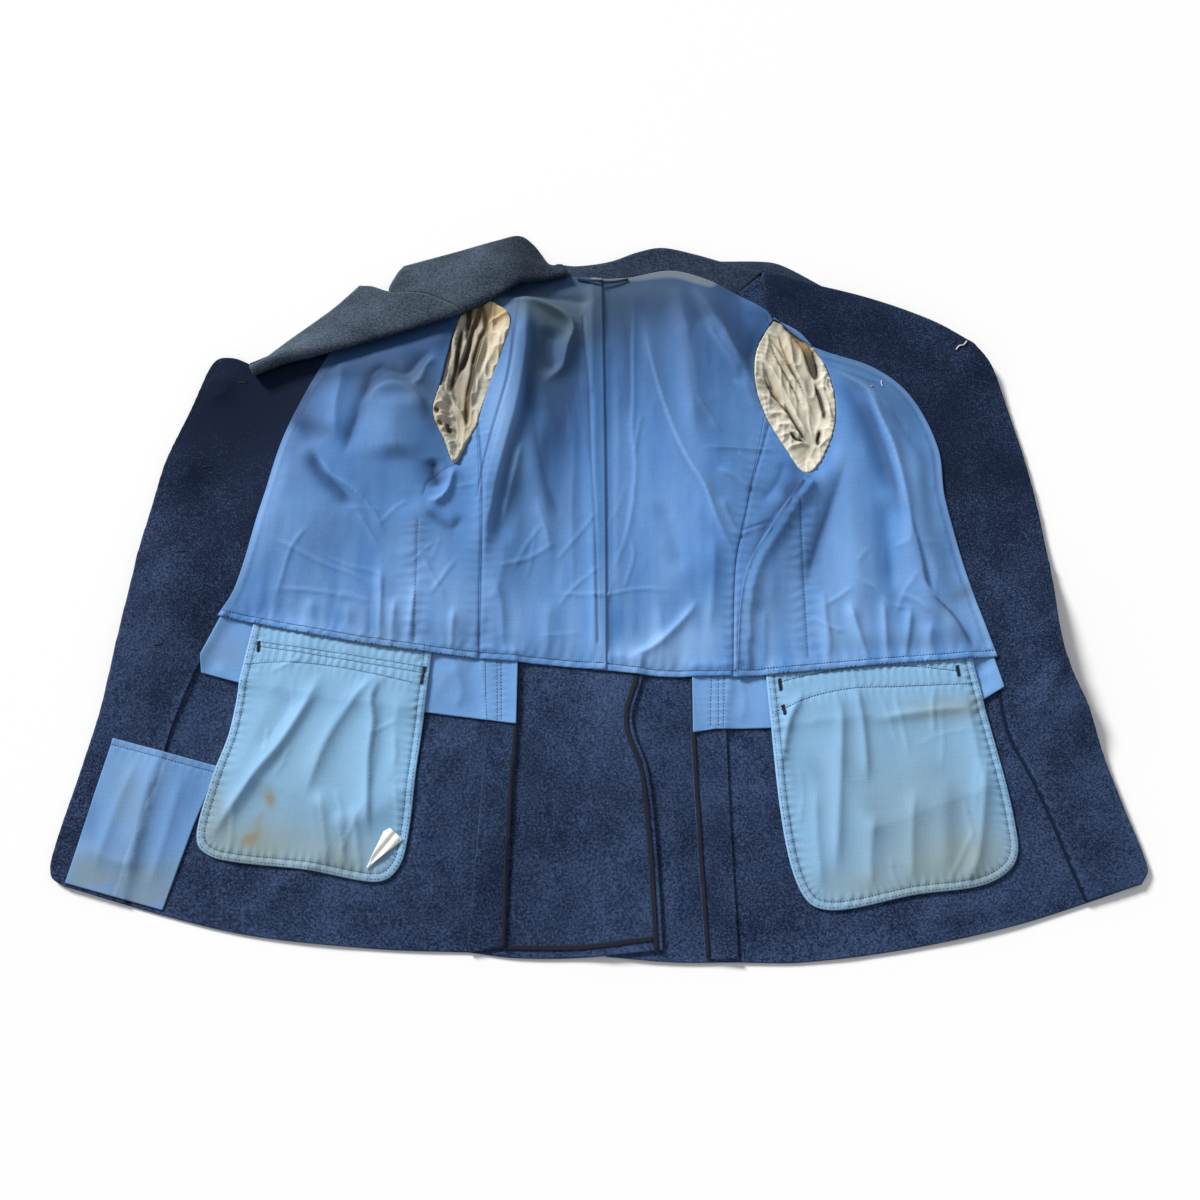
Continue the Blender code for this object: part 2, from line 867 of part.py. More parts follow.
def build_facings(table):
    """Wool facings along both fronts and the side seam allowances of the skirt."""
    inner_fold = beside(smooth(FOLD_LAPEL), -ROLL_INSET)
    facing_left = joined(
        smooth(FRONT_EDGE_LEFT), smooth(HEM_FRONT_LEFT[:1] + [("facing", -452, -358)]),
        smooth(FACING_LEFT_INNER)[::-1],
        smooth([("top", -290, 258), ("narrow", -349, 241), ("turn", -388, 224)]))
    facing_right = joined(
        smooth(FACING_RIGHT_INNER), np.array([[0.462, -0.356], [0.518, -0.340]]),
        smooth(FRONT_EDGE_RIGHT)[::-1], inner_fold[::-1])
    seam_left, seam_right = smooth(SIDE_SEAM_LEFT), smooth(SIDE_SEAM_RIGHT)
    skirt_left = beside(seam_left[seam_left[:, 1] < -0.105], -GAP)
    skirt_right = beside(seam_right[seam_right[:, 1] < -0.120], GAP)
    lay_on(table, FACING, "wool",
           facing_left=facing_left, facing_right=facing_right,
           seam_allowance_left=joined(skirt_left, smooth(BOUND_LEFT)),
           seam_allowance_right=joined(skirt_right, smooth(BOUND_RIGHT)))


def build_bindings(table):
    """Bias tape over the raw edges of the allowances, the vent and its hem."""
    vent = smooth(VENT_EDGE)
    vent = vent[vent[:, 1] < -0.125]
    lay_on(table, BINDING, "binding",
           binding_left=strip(smooth(BOUND_LEFT), -BINDING_WIDTH, -GAP),
           binding_right=strip(smooth(BOUND_RIGHT), GAP, BINDING_WIDTH),
           binding_vent=strip(vent, -BINDING_WIDTH - 0.004, -0.004))
    lay_on(table, BINDING, "binding",
           binding_hem=strip(smooth(HEM_BINDING), -BINDING_WIDTH, 0.0))


def build_pockets(table):
    """Waist stays, the small corner pocket, the pocket bags and a torn tag."""
    lay_on(table, POCKETING, "stay",
           stay_left=straight_loop(STAY_LEFT), stay_right=straight_loop(STAY_RIGHT),
           corner_pocket=straight_loop(CORNER_POCKET))
    left = joined(smooth(BAG_LEFT_SIDES), smooth(BAG_LEFT_TOP))
    right = joined(smooth(BAG_RIGHT_SIDES), smooth(BAG_RIGHT_TOP))
    lay_on(table, POCKETING, "pocketing",
           pocket_bag_left_under=grown(left, -0.002), pocket_bag_right_under=grown(right, -0.002))
    lay_on(table, POCKETING, "pocketing", pocket_bag_left=left, pocket_bag_right=right)
    lay_on(table, POCKETING / 2, "tag", torn_tag=straight_loop(TORN_TAG))


def straight_loop(rows):
    """Closed outline with a straight edge from each row of a table to the next."""
    return joined(*[smooth([rows[k], rows[(k + 1) % len(rows)]]) for k in range(len(rows))])


def build_lining(table):
    """Half lining: the right back, then the left back over its pleat, then the fronts."""
    seam_left, seam_right = smooth(SIDE_SEAM_LEFT), smooth(SIDE_SEAM_RIGHT)
    seam_left = seam_left[seam_left[:, 1] > -0.117]
    seam_right = seam_right[seam_right[:, 1] > -0.136]
    half = GAP / 2
    centre = smooth([("neck", 2, 334), ("chest", 5, 100), ("waist", 6, -129)])
    pleat = beside(centre, -0.013)
    neck_right = smooth(NECK_RIGHT)
    back_right = joined(
        beside(seam_right, half), smooth(ARMHOLE_RIGHT_BACK), smooth(FACING_RIGHT_INNER[:2])[::-1],
        neck_right[::-1], pleat, smooth(LINING_HEM_RIGHT_BACK))
    fold = smooth(LINING_RIGHT_FOLD)
    side_right = joined(
        beside(seam_right, -half),
        smooth([("seam", 181, 160), ("under", 199, 124), ("bottom", 221, 86)]),
        beside(fold, 0.012)[1:])
    lay_on(table, LINING, "lining", lining_back_right=back_right, lining_side_right=side_right)
    front_right = joined(
        fold[::-1], smooth(ARMHOLE_RIGHT_FRONT[2:]), smooth(LINING_RIGHT_EDGE),
        smooth(LINING_HEM_RIGHT_FRONT)[::-1])
    shoulder_left = smooth([ARMHOLE_LEFT_FRONT[-1], NECK_LEFT[0]])
    back_left = joined(
        beside(seam_left, -half), smooth(ARMHOLE_LEFT_BACK), beside(shoulder_left, -half),
        smooth(NECK_LEFT), centre, smooth(LINING_HEM_LEFT_BACK)[::-1])
    front_left = joined(
        beside(seam_left, half), smooth(ARMHOLE_LEFT_FRONT), beside(shoulder_left, half),
        smooth(UNDER_LAPEL_LEFT[:5]), smooth(LINING_LEFT_EDGE),
        smooth(LINING_HEM_LEFT_FRONT))
    lay_on(table, LINING, "lining", lining_front_right=front_right,
           lining_back_left=back_left, lining_front_left=front_left)


def tuck_room(table):
    """The collar's end, and room for the collar and lapel that lie below the body."""
    collar, lapel = smooth(FOLD_COLLAR), smooth(FOLD_LAPEL)
    whole = joined(collar, lapel)
    near = whole[(whole[:, 0] > 0.138) & (whole[:, 0] < 0.262)]
    lay_on(table, WOOL, "wool_faded", floor=True,
           collar_end_right=joined(smooth(COLLAR_END_RIGHT), beside(near, 3 * GAP)[::-1]))
    table.reserve(strip(collar, -COLLAR_TUCK - 0.006, -0.004), LAPEL)
    table.reserve(strip(lapel, -LAPEL_TUCK - 0.006, -0.004), LAPEL)


def build_rolls(table):
    """The standing lapel and collar on the left, and the tucked ones on the right."""
    dense = 0.022
    standing_roll(table, "lapel_left", smooth(ROLL_LEFT, dense), smooth(LAPEL_EDGE, dense),
                  np.array([[-0.386, 0.214], [-0.391, 0.221]]),
                  smooth(GORGE_LEFT, dense)[::-1], 7, "wool_faded")
    gorge = beside(smooth(COLLAR_FRONT_LEFT, dense), -SEAM_STEP)
    collar_roll = smooth(ROLL_COLLAR, dense) + np.array([SEAM_STEP, 0.0])
    standing_roll(table, "collar_left", collar_roll, smooth(COLLAR_EDGE_LEFT, dense),
                  gorge, np.array([[-0.0508, 0.334], [-0.0588, 0.360]]), 8, "wool_faded")
    neck = beside(smooth(NECK_LEFT[2:] + NECK_RIGHT[1:]), 5 * GAP)
    tucked_sides(table, "collar_back", smooth(FOLD_COLLAR, dense), neck, COLLAR_TUCK, "wool")
    fold = smooth(FOLD_LAPEL, dense)[1:]
    tucked_sides(table, "lapel_right", fold, beside(fold, -ROLL_INSET + 3 * GAP),
                 LAPEL_TUCK, "wool")


def tucked_sides(table, name, fold, upper, width, cloth):
    """A tucked roll between a fold line and the seam that its upper layer meets."""
    upper = resampled(upper, len(fold))
    top = np.array([table.top_at(x, y) for x, y in beside(upper, -0.004)])
    height = np.maximum(top - LAPEL / 2, 0.0072)
    tucked_roll(name, fold, upper, width, height, cloth)


def build_buttons(table):
    """Four plain domed buttons on the outer side of the left front."""
    turns = np.linspace(0, 2 * math.pi, 12, endpoint=False)
    for name, x, y in BUTTONS_LEFT:
        rim = np.column_stack([np.cos(turns), np.sin(turns)]) * BUTTON_RADIUS
        table.reserve(rim + np.array([x, y]) * MM, BUTTON_HEIGHT)
        profile = bmesh.new()
        bmesh.ops.create_cone(profile, cap_ends=True, segments=20,
                              radius1=BUTTON_RADIUS * 0.6, radius2=BUTTON_RADIUS,
                              depth=BUTTON_HEIGHT)
        mesh = bpy.data.meshes.new(name)
        profile.to_mesh(mesh)
        profile.free()
        piece = place(name, mesh, "brass")
        piece.location = (x * MM, y * MM, BUTTON_HEIGHT / 2)


def build_hanger(table):
    """Cloth loop below the collar, sagging a little between its two ends."""
    x0, x1 = HANGER_SPAN
    rows = []
    for edge in (-0.5, 0.5):
        row = []
        for t in np.linspace(0, 1, 9):
            x = (x0 + (x1 - x0) * t) * MM
            y = HANGER_Y * MM - HANGER_SAG * math.sin(math.pi * t) + edge * HANGER_WIDTH
            row.append((x, y, table.top_at(x, y) + 2 * GAP + POCKETING))
        rows.append(row)
    grid_piece("hanger_loop", rows, POCKETING, "wool")


def centre_on_origin():
    """Move every piece so that the footprint's middle is the origin."""
    bpy.context.view_layer.update()
    graph = bpy.context.evaluated_depsgraph_get()
    corners = []
    pieces = [piece for piece in bpy.data.objects if piece.type == "MESH"]
    for piece in pieces:
        solid = piece.evaluated_get(graph)
        corners += [solid.matrix_world @ vertex.co for vertex in solid.data.vertices]
    corners = np.array([tuple(corner) for corner in corners])
    middle = (corners.min(axis=0) + corners.max(axis=0)) / 2
    for piece in pieces:
        piece.location.x -= middle[0]
        piece.location.y -= middle[1]
        piece.location.z -= corners[:, 2].min()


def main():
    """Build the tunic from the surface up."""
    for old in list(bpy.data.objects):
        bpy.data.objects.remove(old, do_unlink=True)
    table = Table()
    build_buttons(table)
    tuck_room(table)
    build_sleeves(table)
    build_shell(table)
    build_facings(table)
    build_bindings(table)
    build_pockets(table)
    build_lining(table)
    build_hanger(table)
    build_rolls(table)
    centre_on_origin()


main()
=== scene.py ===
"""Looks of a service tunic that lies open on its back with its lining up.

Every flat piece is a cloth cut from a plan outline and draped on what lies below it.
The heights of what lies there are kept in one raster, so layers never touch. Folds,
seams and puckers are added to the draped height as sums of bells along named lines.
Places in the tables are millimetres: x to the right, y from the hem to the collar.
"""

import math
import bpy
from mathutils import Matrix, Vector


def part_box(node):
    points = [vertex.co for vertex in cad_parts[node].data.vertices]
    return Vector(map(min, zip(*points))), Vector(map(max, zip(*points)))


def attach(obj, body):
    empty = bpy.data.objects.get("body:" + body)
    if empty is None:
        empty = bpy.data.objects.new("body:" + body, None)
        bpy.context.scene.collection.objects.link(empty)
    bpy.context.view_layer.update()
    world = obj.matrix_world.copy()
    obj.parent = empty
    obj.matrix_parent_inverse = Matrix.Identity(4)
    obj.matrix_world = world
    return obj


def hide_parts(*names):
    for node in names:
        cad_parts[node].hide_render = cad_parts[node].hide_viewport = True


bl_info = {
    "name": "Service Tunic, Laid Open",
    "version": (1, 0, 0),
    "blender": (4, 5, 0),
    "location": "View3D > Sidebar > Tunic",
    "description": "Cloth, folds, stitching and finishes of a tunic laid open on a surface",
    "category": "Object",
}

import bmesh
import bpy
import numpy as np
from bpy.props import FloatProperty, FloatVectorProperty, PointerProperty
from mathutils.geometry import delaunay_2d_cdt

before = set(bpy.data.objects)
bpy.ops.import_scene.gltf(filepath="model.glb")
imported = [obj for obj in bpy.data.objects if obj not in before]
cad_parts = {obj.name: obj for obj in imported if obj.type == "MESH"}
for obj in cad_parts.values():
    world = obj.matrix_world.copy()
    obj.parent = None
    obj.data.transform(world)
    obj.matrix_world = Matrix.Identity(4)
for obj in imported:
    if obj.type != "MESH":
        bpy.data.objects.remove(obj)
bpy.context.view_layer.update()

# A millimetre, the raster's cell and the room between cloths, in metres
MM = 0.001
CELL = 0.003
GAP = 0.0003
# Spacing of the places along an edge, and along the folds of collar and lapel below
EDGE_STEP = 0.0022
RAW_STEP = 0.012
# Spacing of the places along lines that are sewn or measured from
FINE_STEP = 0.004
MIDDLE_STEP = 0.006
COARSE_STEP = 0.008
# How much coarser the nets are in a quick view
PREVIEW = 1.0
# Reach in millimetres under which a fold is narrow, and the powers of the distance in
# the bells of narrow and of broad folds
NARROW_FOLD = 10
SHARP_FOLD = 1.2
ROUND_FOLD = 1.8
# Left, right, near and far ends of the raster of heights
RASTER = (-0.57, 0.57, -0.46, 0.44)
# How far a round edge stands out, as a share of the thickness: laid and rolled cloths
LAID_EDGE = 0.34
ROLLED_EDGE = 0.36
# Smallest width or length that is given for a flat piece
LEAST_FLAT = 0.0101
# How far the stitches lie inside the lining's hem, and about the length of that hem
HEM_INSET = 0.0065
HEM_RUN = 0.82
# Nets: height of a row of the three-way net as a share of its step, inset of the row
# of places inside an edge, spacing along a seam, and the rows of places beside a seam
ROW_HEIGHT = 0.866
EDGE_ROW = 0.0011
SEAM_STEP = 0.0021
SEAM_REACH = 0.0026
SEAM_ROWS = (0.0012, -0.0012, SEAM_REACH, -SEAM_REACH)

# Side seams, armholes, fronts and hems of the body, as in the solids
SIDE_SEAM_LEFT = [(-124, -402), (-115, -182), (-123, -116), (-128, 60), (-134, 145)]
SIDE_SEAM_RIGHT = [(130, -411), (127, -180), (135, -133), (141, -21), (156, 48), (181, 160)]
ARMHOLE_LEFT_FRONT = [(-134, 145), (-145, 122), (-157, 101), (-170, 130), (-183, 161),
                      (-176, 200), (-171, 235), (-160, 285), (-134, 312)]
ARMHOLE_LEFT_BACK = [(-134, 145), (-121, 199), (-107, 243), (-101, 283), (-134, 312)]
ARMHOLE_RIGHT_FRONT = [(181, 160), (199, 124), (221, 86), (242, 108), (258, 157),
                       (252, 222), (226, 262), (196, 281)]
ARMHOLE_RIGHT_BACK = [(181, 160), (171, 200), (176, 245), (196, 281)]
FRONT_EDGE_LEFT = [(-388, 224), (-412, 234), (-431, 231), (-443, 195), (-469, 111),
                   (-482, 35), (-492, -60), (-500, -153), (-512, -225), (-528, -312),
                   (-526, -333), (-512, -342)]
FRONT_EDGE_RIGHT = [(418, 251), (437, 222), (452, 160), (465, 80), (471, -10), (468, -80),
                    (472, -125), (489, -178), (512, -270), (526, -326), (518, -340)]
HEM_FRONT_LEFT = [(-512, -342), (-417, -368), (-330, -387), (-210, -399), (-124, -402)]
HEM_BACK_LEFT = [(-124, -402), (-80, -407), (-20, -407), (59, -400)]
HEM_BACK_RIGHT = [(6, -406), (70, -411), (130, -411)]
HEM_FRONT_RIGHT = [(130, -411), (190, -411), (290, -399), (400, -376), (518, -340)]
VENT_EDGE = [(45, -118), (42, -140), (32, -182), (47, -233), (54, -300), (59, -400)]
VENT_UNDERLAP = [(6, -112), (3, -250), (6, -406)]
CENTRE_BACK = [(2, 334), (5, 100), (6, -112)]
NECK_LEFT = [(-112, 330), (-90, 334), (-69, 334), (-30, 337), (2, 334)]
NECK_RIGHT = [(2, 334), (32, 336), (82, 345), (125, 332), (155, 314)]

# Roll and edges of the standing lapel and collar on the left
ROLL_LEFT = [(-386, 214), (-349, 231), (-304, 240), (-231, 261), (-159, 291)]
ROLL_COLLAR = [(-159, 291), (-123, 308), (-90, 321), (-52, 334)]
LAPEL_EDGE = [(-391, 221), (-352, 258), (-305, 300), (-277, 331)]
GORGE_LEFT = [(-277, 331), (-262, 328), (-241, 318), (-200, 311), (-159, 291)]
COLLAR_FRONT_LEFT = [(-159, 291), (-200, 311), (-241, 318), (-236, 345), (-229, 358)]
COLLAR_EDGE_LEFT = [(-229, 358), (-175, 375), (-117, 394), (-94, 399), (-76, 384), (-60, 360)]

# Folds of the collar at the back neck and of the lapel tucked under on the right
FOLD_COLLAR = [(-50, 357), (-26, 354), (12, 360), (44, 373), (72, 379), (110, 370),
               (149, 357), (186, 347)]
FOLD_LAPEL = [(186, 347), (240, 330), (297, 313), (343, 296), (383, 277), (414, 256)]
COLLAR_END_RIGHT = [(140, 365), (196, 364), (216, 357), (258, 330)]
UNDER_LAPEL_LEFT = [(-112, 330), (-140, 318), (-160, 306), (-231, 277), (-304, 254),
                    (-349, 241), (-388, 224)]

# Inner edges of facings and lining
FACING_LEFT_INNER = [(-290, 258), (-310, 198), (-334, 126), (-352, 30), (-390, -80),
                     (-412, -132), (-432, -208), (-452, -358)]
FACING_RIGHT_INNER = [(155, 314), (189, 290), (237, 250), (298, 218), (350, 146), (358, 57),
                      (374, -46), (398, -128), (404, -190), (426, -250), (451, -325),
                      (462, -356)]
LINING_LEFT_EDGE = [(-300, 254), (-304, 240), (-331, 175), (-346, 126), (-357, 60),
                    (-379, -39), (-394, -71)]
LINING_RIGHT_EDGE = [(197, 282), (239, 247), (303, 219), (342, 182), (366, 120), (367, 57),
                     (384, -46), (402, -117)]
LINING_HEM_LEFT_FRONT = [(-394, -71), (-300, -91), (-221, -105), (-123, -117)]
LINING_HEM_LEFT_BACK = [(-123, -117), (-81, -120), (6, -129)]
LINING_HEM_RIGHT_BACK = [(-7, -128), (60, -135), (135, -135)]
LINING_HEM_RIGHT_FRONT = [(138, -136), (192, -133), (304, -123), (402, -117)]
LINING_HEM = [(-394, -71), (-300, -91), (-221, -105), (-123, -117), (-81, -120), (6, -129),
              (60, -135), (138, -136), (192, -133), (304, -123), (402, -117)]
LINING_RIGHT_FOLD = [(221, 86), (186, 34), (150, -30), (138, -136)]

# Stays, pocket bags and bindings
STAY_LEFT = [(-388, -64), (-407, -112), (-405, -131), (-364, -142), (-270, -160),
             (-171, -173), (-129, -178), (-84, -184), (-84, -108), (-221, -96)]
STAY_RIGHT = [(396, -106), (406, -148), (385, -160), (280, -178), (171, -188), (116, -189),
              (93, -193), (94, -124), (240, -114)]
BAG_LEFT_SIDES = [(-356, -74), (-364, -130), (-370, -192), (-380, -230), (-391, -288),
                  (-387, -306), (-366, -317), (-280, -327), (-218, -338), (-200, -333),
                  (-188, -311), (-180, -223), (-171, -104)]
BAG_LEFT_TOP = [(-171, -104), (-356, -74)]
BAG_RIGHT_SIDES = [(168, -126), (172, -200), (177, -280), (186, -332), (201, -359),
                   (228, -364), (300, -350), (366, -341), (396, -324), (404, -300),
                   (393, -210), (376, -112)]
BAG_RIGHT_TOP = [(376, -112), (168, -126)]
CORNER_POCKET = [(-485, -199), (-511, -339), (-416, -364), (-396, -286), (-378, -227)]
BOUND_LEFT = [(-82, -108), (-82, -182), (-86, -265), (-89, -398)]
BOUND_RIGHT = [(91, -122), (91, -191), (94, -290), (99, -407)]
HEM_BINDING = [(-86, -396), (-20, -396), (49, -388)]
TORN_TAG = [(-224, -326), (-209, -291), (-203, -288), (-190, -299)]

# Sleeves below the body: axis and half width
SLEEVE_LEFT = [(-134, 312, 22), (-136, 285, 58), (-145, 175, 90), (-188, -20, 84),
               (-243, -140, 76), (-296, -258, 68)]
SLEEVE_RIGHT = [(206, 290, 22), (208, 265, 56), (214, 160, 90), (246, -30, 84),
                (285, -150, 76), (326, -268, 68)]

# Soft rises of the whole body: x and y of both ends, reach and height
RISES = [
    (-30, 345, 120, 358, 80, 8.0),
    (120, 358, 300, 300, 85, 9.5),
    (300, 300, 415, 245, 80, 9.0),
    (-215, 190, -330, 40, 115, 12.0),
    (290, 160, 335, 10, 100, 13.0),
    (-78, 285, -105, 90, 62, 13.0),
    (225, 70, 165, -40, 62, 12.0),
    (112, 250, 118, -10, 60, 11.0),
    (440, -60, 470, -160, 66, 17.0),
    (330, 20, 385, -95, 60, 12.0),
    (-430, -20, -455, -130, 66, 8.0),
    (-140, -230, -150, -320, 66, 6.0),
    (30, -160, 45, -240, 56, 6.0),
    (430, -230, 460, -290, 56, 7.0),
]

# Folds of the lining: places, reach to the left and right of the line, height
LINING_FOLDS = [
    ([(-150, 316), (-123, 310), (-88, 302), (-53, 289), (-34, 277), (-30, 265), (-36, 245),
      (-43, 217), (-68, 192)], 7, 5, 5.5),
    ([(-74, 311), (-45, 307), (-5, 302)], 8, 7, -3.0),
    ([(-52, 270), (-57, 237), (-49, 208)], 12, 12, -3.2),
    ([(105, 335), (114, 314), (144, 246), (164, 209), (180, 168)], 16, 7, 5.0),
    ([(88, 335), (88, 323), (100, 246), (103, 151), (112, 110)], 14, 10, 3.6),
    ([(154, 205), (174, 173), (186, 146)], 3, 4, 1.8),
    ([(123, 277), (152, 226), (163, 198)], 4, 4, -1.8),
    ([(50, 300), (58, 222), (68, 178), (82, 132), (97, 95), (115, 55), (131, 12),
      (147, -23)], 12, 5, 2.8),
    ([(104, 117), (140, 118), (176, 118), (204, 115)], 2.5, 4, 1.2),
    ([(22, -119), (45, -110), (61, -100), (92, -68), (104, -50)], 4, 6, 2.4),
    ([(-90, 322), (-85, 302), (-83, 263), (-87, 210), (-94, 162), (-105, 112), (-115, 62),
      (-121, 12), (-124, -30)], 7, 15, 6.5),
    ([(-84, 130), (-90, 90), (-98, 57), (-104, 25)], 4, 6, 2.0),
    ([(-222, 185), (-224, 145), (-222, 100)], 26, 24, 3.4),
    ([(-264, 146), (-254, 178), (-234, 193), (-212, 190), (-196, 172), (-186, 148)], 4, 12, 2.2),
    ([(-262, 205), (-236, 212), (-214, 208), (-200, 226), (-186, 244)], 9, 8, -2.8),
    ([(-210, 192), (-198, 198), (-193, 216), (-182, 232)], 4, 5, 2.6),
    ([(-290, 240), (-287, 200), (-289, 165), (-284, 120)], 9, 9, 2.6),
    ([(-236, 228), (-252, 200), (-260, 170), (-268, 140), (-276, 102)], 8, 9, -3.0),
    ([(-322, 200), (-332, 165), (-320, 140), (-296, 122)], 10, 10, -2.2),
    ([(-314, 118), (-298, 88), (-278, 66), (-258, 44)], 4, 10, -2.6),
    ([(-180, 108), (-178, 90), (-171, 70)], 7, 9, -3.2),
    ([(-155, 102), (-159, 82), (-163, 66), (-174, 56), (-186, 60)], 4, 5, 3.6),
    ([(-184, 46), (-168, 32), (-154, 26), (-146, 42)], 6, 6, -1.8),
    ([(-206, 60), (-196, 20), (-200, -20)], 14, 14, 1.6),
    ([(-290, 70), (-306, 20), (-309, -66)], 24, 26, 1.6),
    ([(-330, 120), (-346, 40), (-362, -40)], 12, 12, 1.8),
    ([(-229, -14), (-226, -57), (-226, -125)], 4, 6, 2.8),
    ([(-211, -48), (-212, -68), (-214, -125)], 4, 5, 2.2),
    ([(-190, -30), (-193, -63), (-197, -130)], 5, 5, 2.0),
    ([(-150, -60), (-151, -79), (-153, -130)], 4, 6, 2.2),
    ([(-262, -55), (-258, -80), (-256, -118)], 7, 8, 1.6),
    ([(-300, -50), (-296, -74), (-297, -108)], 8, 9, 1.4),
    ([(258, 212), (274, 190), (287, 158), (297, 122), (303, 92), (306, 50)], 7, 14, -3.0),
    ([(262, 222), (274, 203), (291, 183), (302, 149), (313, 115), (318, 87), (321, 57),
      (324, 30), (326, 0)], 10, 3, 3.6),
    ([(268, 112), (257, 82), (247, 55), (237, 28), (227, 2), (217, -28), (211, -52)], 9, 9, -2.6),
    ([(240, 235), (252, 226), (287, 189), (309, 166), (330, 140)], 5, 6, 2.2),
    ([(265, 130), (265, 55), (268, -13), (266, -90)], 22, 18, 3.4),
    ([(339, 130), (337, 55), (339, -2), (358, -66)], 12, 12, 2.4),
    ([(300, 60), (302, 10), (304, -50)], 9, 11, -2.0),
    ([(318, 45), (321, 32), (329, -13), (334, -44), (354, -71), (384, -118)], 4, 14, 5.0),
    ([(256, -55), (260, -74), (274, -130)], 5, 6, 2.8),
    ([(320, -60), (317, -79), (308, -130)], 4, 6, 2.6),
    ([(292, -50), (292, -68), (291, -132)], 5, 5, 2.2),
    ([(231, -40), (231, -57), (232, -135)], 5, 7, 2.2),
    ([(340, -78), (336, -95), (333, -130)], 5, 6, 1.8),
    ([(170, -60), (168, -90), (166, -135)], 6, 8, 1.4),
    ([(60, -60), (64, -90), (62, -135)], 8, 8, 1.2),
    ([(-50, -50), (-54, -85), (-52, -126)], 9, 9, 1.2),
    ([(-60, 170), (-66, 110), (-58, 40), (-50, -30)], 10, 12, 2.2),
    ([(-110, -30), (-102, -60), (-99, -110)], 5, 7, 1.6),
    ([(124, 92), (146, 82), (166, 64)], 5, 5, 1.5),
    ([(128, 60), (138, 30), (150, 8)], 5, 6, 1.5),
    ([(200, 108), (192, 80), (170, 52)], 7, 8, -2.0),
    ([(60, 60), (76, 20), (84, -30)], 8, 10, -1.6),
    ([(120, 20), (118, -30), (112, -90)], 8, 8, 1.6),
    ([(-30, 200), (-28, 120), (-30, 40), (-26, -80)], 7, 9, 1.4),
    ([(18, 250), (20, 140), (18, 20), (20, -90)], 6, 7, 1.0),
]

BAG_LEFT_FOLDS = [
    ([(-278, -126), (-284, -139), (-292, -160), (-316, -204), (-337, -232), (-357, -263),
      (-382, -306)], 6, 9, 3.2),
    ([(-222, -126), (-229, -139), (-242, -153), (-270, -200), (-290, -262)], 7, 8, 2.4),
    ([(-212, -128), (-220, -139), (-229, -157), (-226, -181), (-228, -218), (-224, -300)],
     2.5, 8, 2.2),
    ([(-275, -246), (-272, -261), (-260, -330)], 6, 8, 1.8),
    ([(-256, -268), (-253, -281), (-243, -332)], 5, 5, 1.6),
    ([(-306, -150), (-310, -161), (-340, -215)], 8, 8, -1.0),
    ([(-240, -262), (-236, -290), (-230, -332)], 5, 6, 1.3),
    ([(-200, -150), (-204, -190), (-202, -250)], 8, 8, 1.0),
]

BAG_RIGHT_FOLDS = [
    ([(232, -140), (237, -156), (241, -174), (234, -252), (224, -345)], 8, 9, 2.2),
    ([(254, -138), (257, -151), (262, -190), (262, -250)], 5, 6, 1.8),
    ([(384, -215), (378, -240), (363, -314), (342, -352)], 8, 8, 2.2),
    ([(270, -182), (300, -176), (360, -169), (384, -172)], 3, 7, 1.2),
    ([(206, -150), (200, -161), (189, -182), (179, -230)], 4, 6, 2.0),
    ([(309, -245), (304, -270), (297, -345)], 7, 8, 1.6),
    ([(268, -270), (262, -300), (258, -350)], 6, 7, 1.4),
    ([(340, -230), (336, -270), (330, -340)], 10, 10, 1.2),
    ([(212, -240), (210, -290), (212, -352)], 6, 7, 1.3),
    ([(366, -150), (372, -200), (376, -250)], 6, 7, 1.2),
]

# Folds of the stays and of the wool, as the folds of the lining
STAY_FOLDS = [
    ([(-455, -212), (-472, -270), (-486, -335)], 9, 7, 2.2),
    ([(-440, -216), (-447, -280), (-452, -345)], 5, 8, 1.8),
    ([(-410, -226), (-420, -290), (-432, -350)], 8, 8, 2.0),
    ([(-505, -300), (-470, -318), (-430, -322)], 6, 8, 1.4),
    ([(-395, -120), (-370, -140), (-345, -150)], 6, 8, 2.0),
    ([(-150, -120), (-140, -150), (-146, -172)], 6, 8, 1.6),
    ([(390, -125), (396, -150), (380, -160)], 6, 8, 2.0),
    ([(140, -130), (146, -160), (140, -186)], 6, 8, 1.4),
]
WOOL_FOLDS = [
    ([(-150, -188), (-177, -236), (-205, -262), (-240, -290)], 16, 22, 4.0),
    ([(-119, -196), (-148, -216), (-168, -262), (-172, -330)], 14, 18, 3.0),
    ([(-330, -380), (-310, -350), (-287, -329), (-260, -320)], 10, 14, 3.2),
    ([(-440, -150), (-425, -200), (-445, -280), (-455, -340)], 18, 20, 2.4),
    ([(-40, -140), (-30, -220), (-50, -320), (-44, -400)], 20, 24, 2.6),
    ([(70, -200), (76, -280), (72, -400)], 12, 14, 2.0),
    ([(160, -230), (170, -300), (160, -400)], 16, 20, 2.6),
    ([(420, -97), (404, -150), (407, -178), (430, -210)], 14, 12, 3.6),
    ([(470, -110), (450, -150), (430, -190)], 8, 14, 4.0),
    ([(300, -372), (350, -365), (410, -352)], 10, 14, 2.4),
    ([(-455, 170), (-440, 90), (-448, 0), (-462, -80)], 18, 20, 2.2),
    ([(400, 180), (415, 90), (412, 0), (430, -60)], 18, 20, 2.4),
]

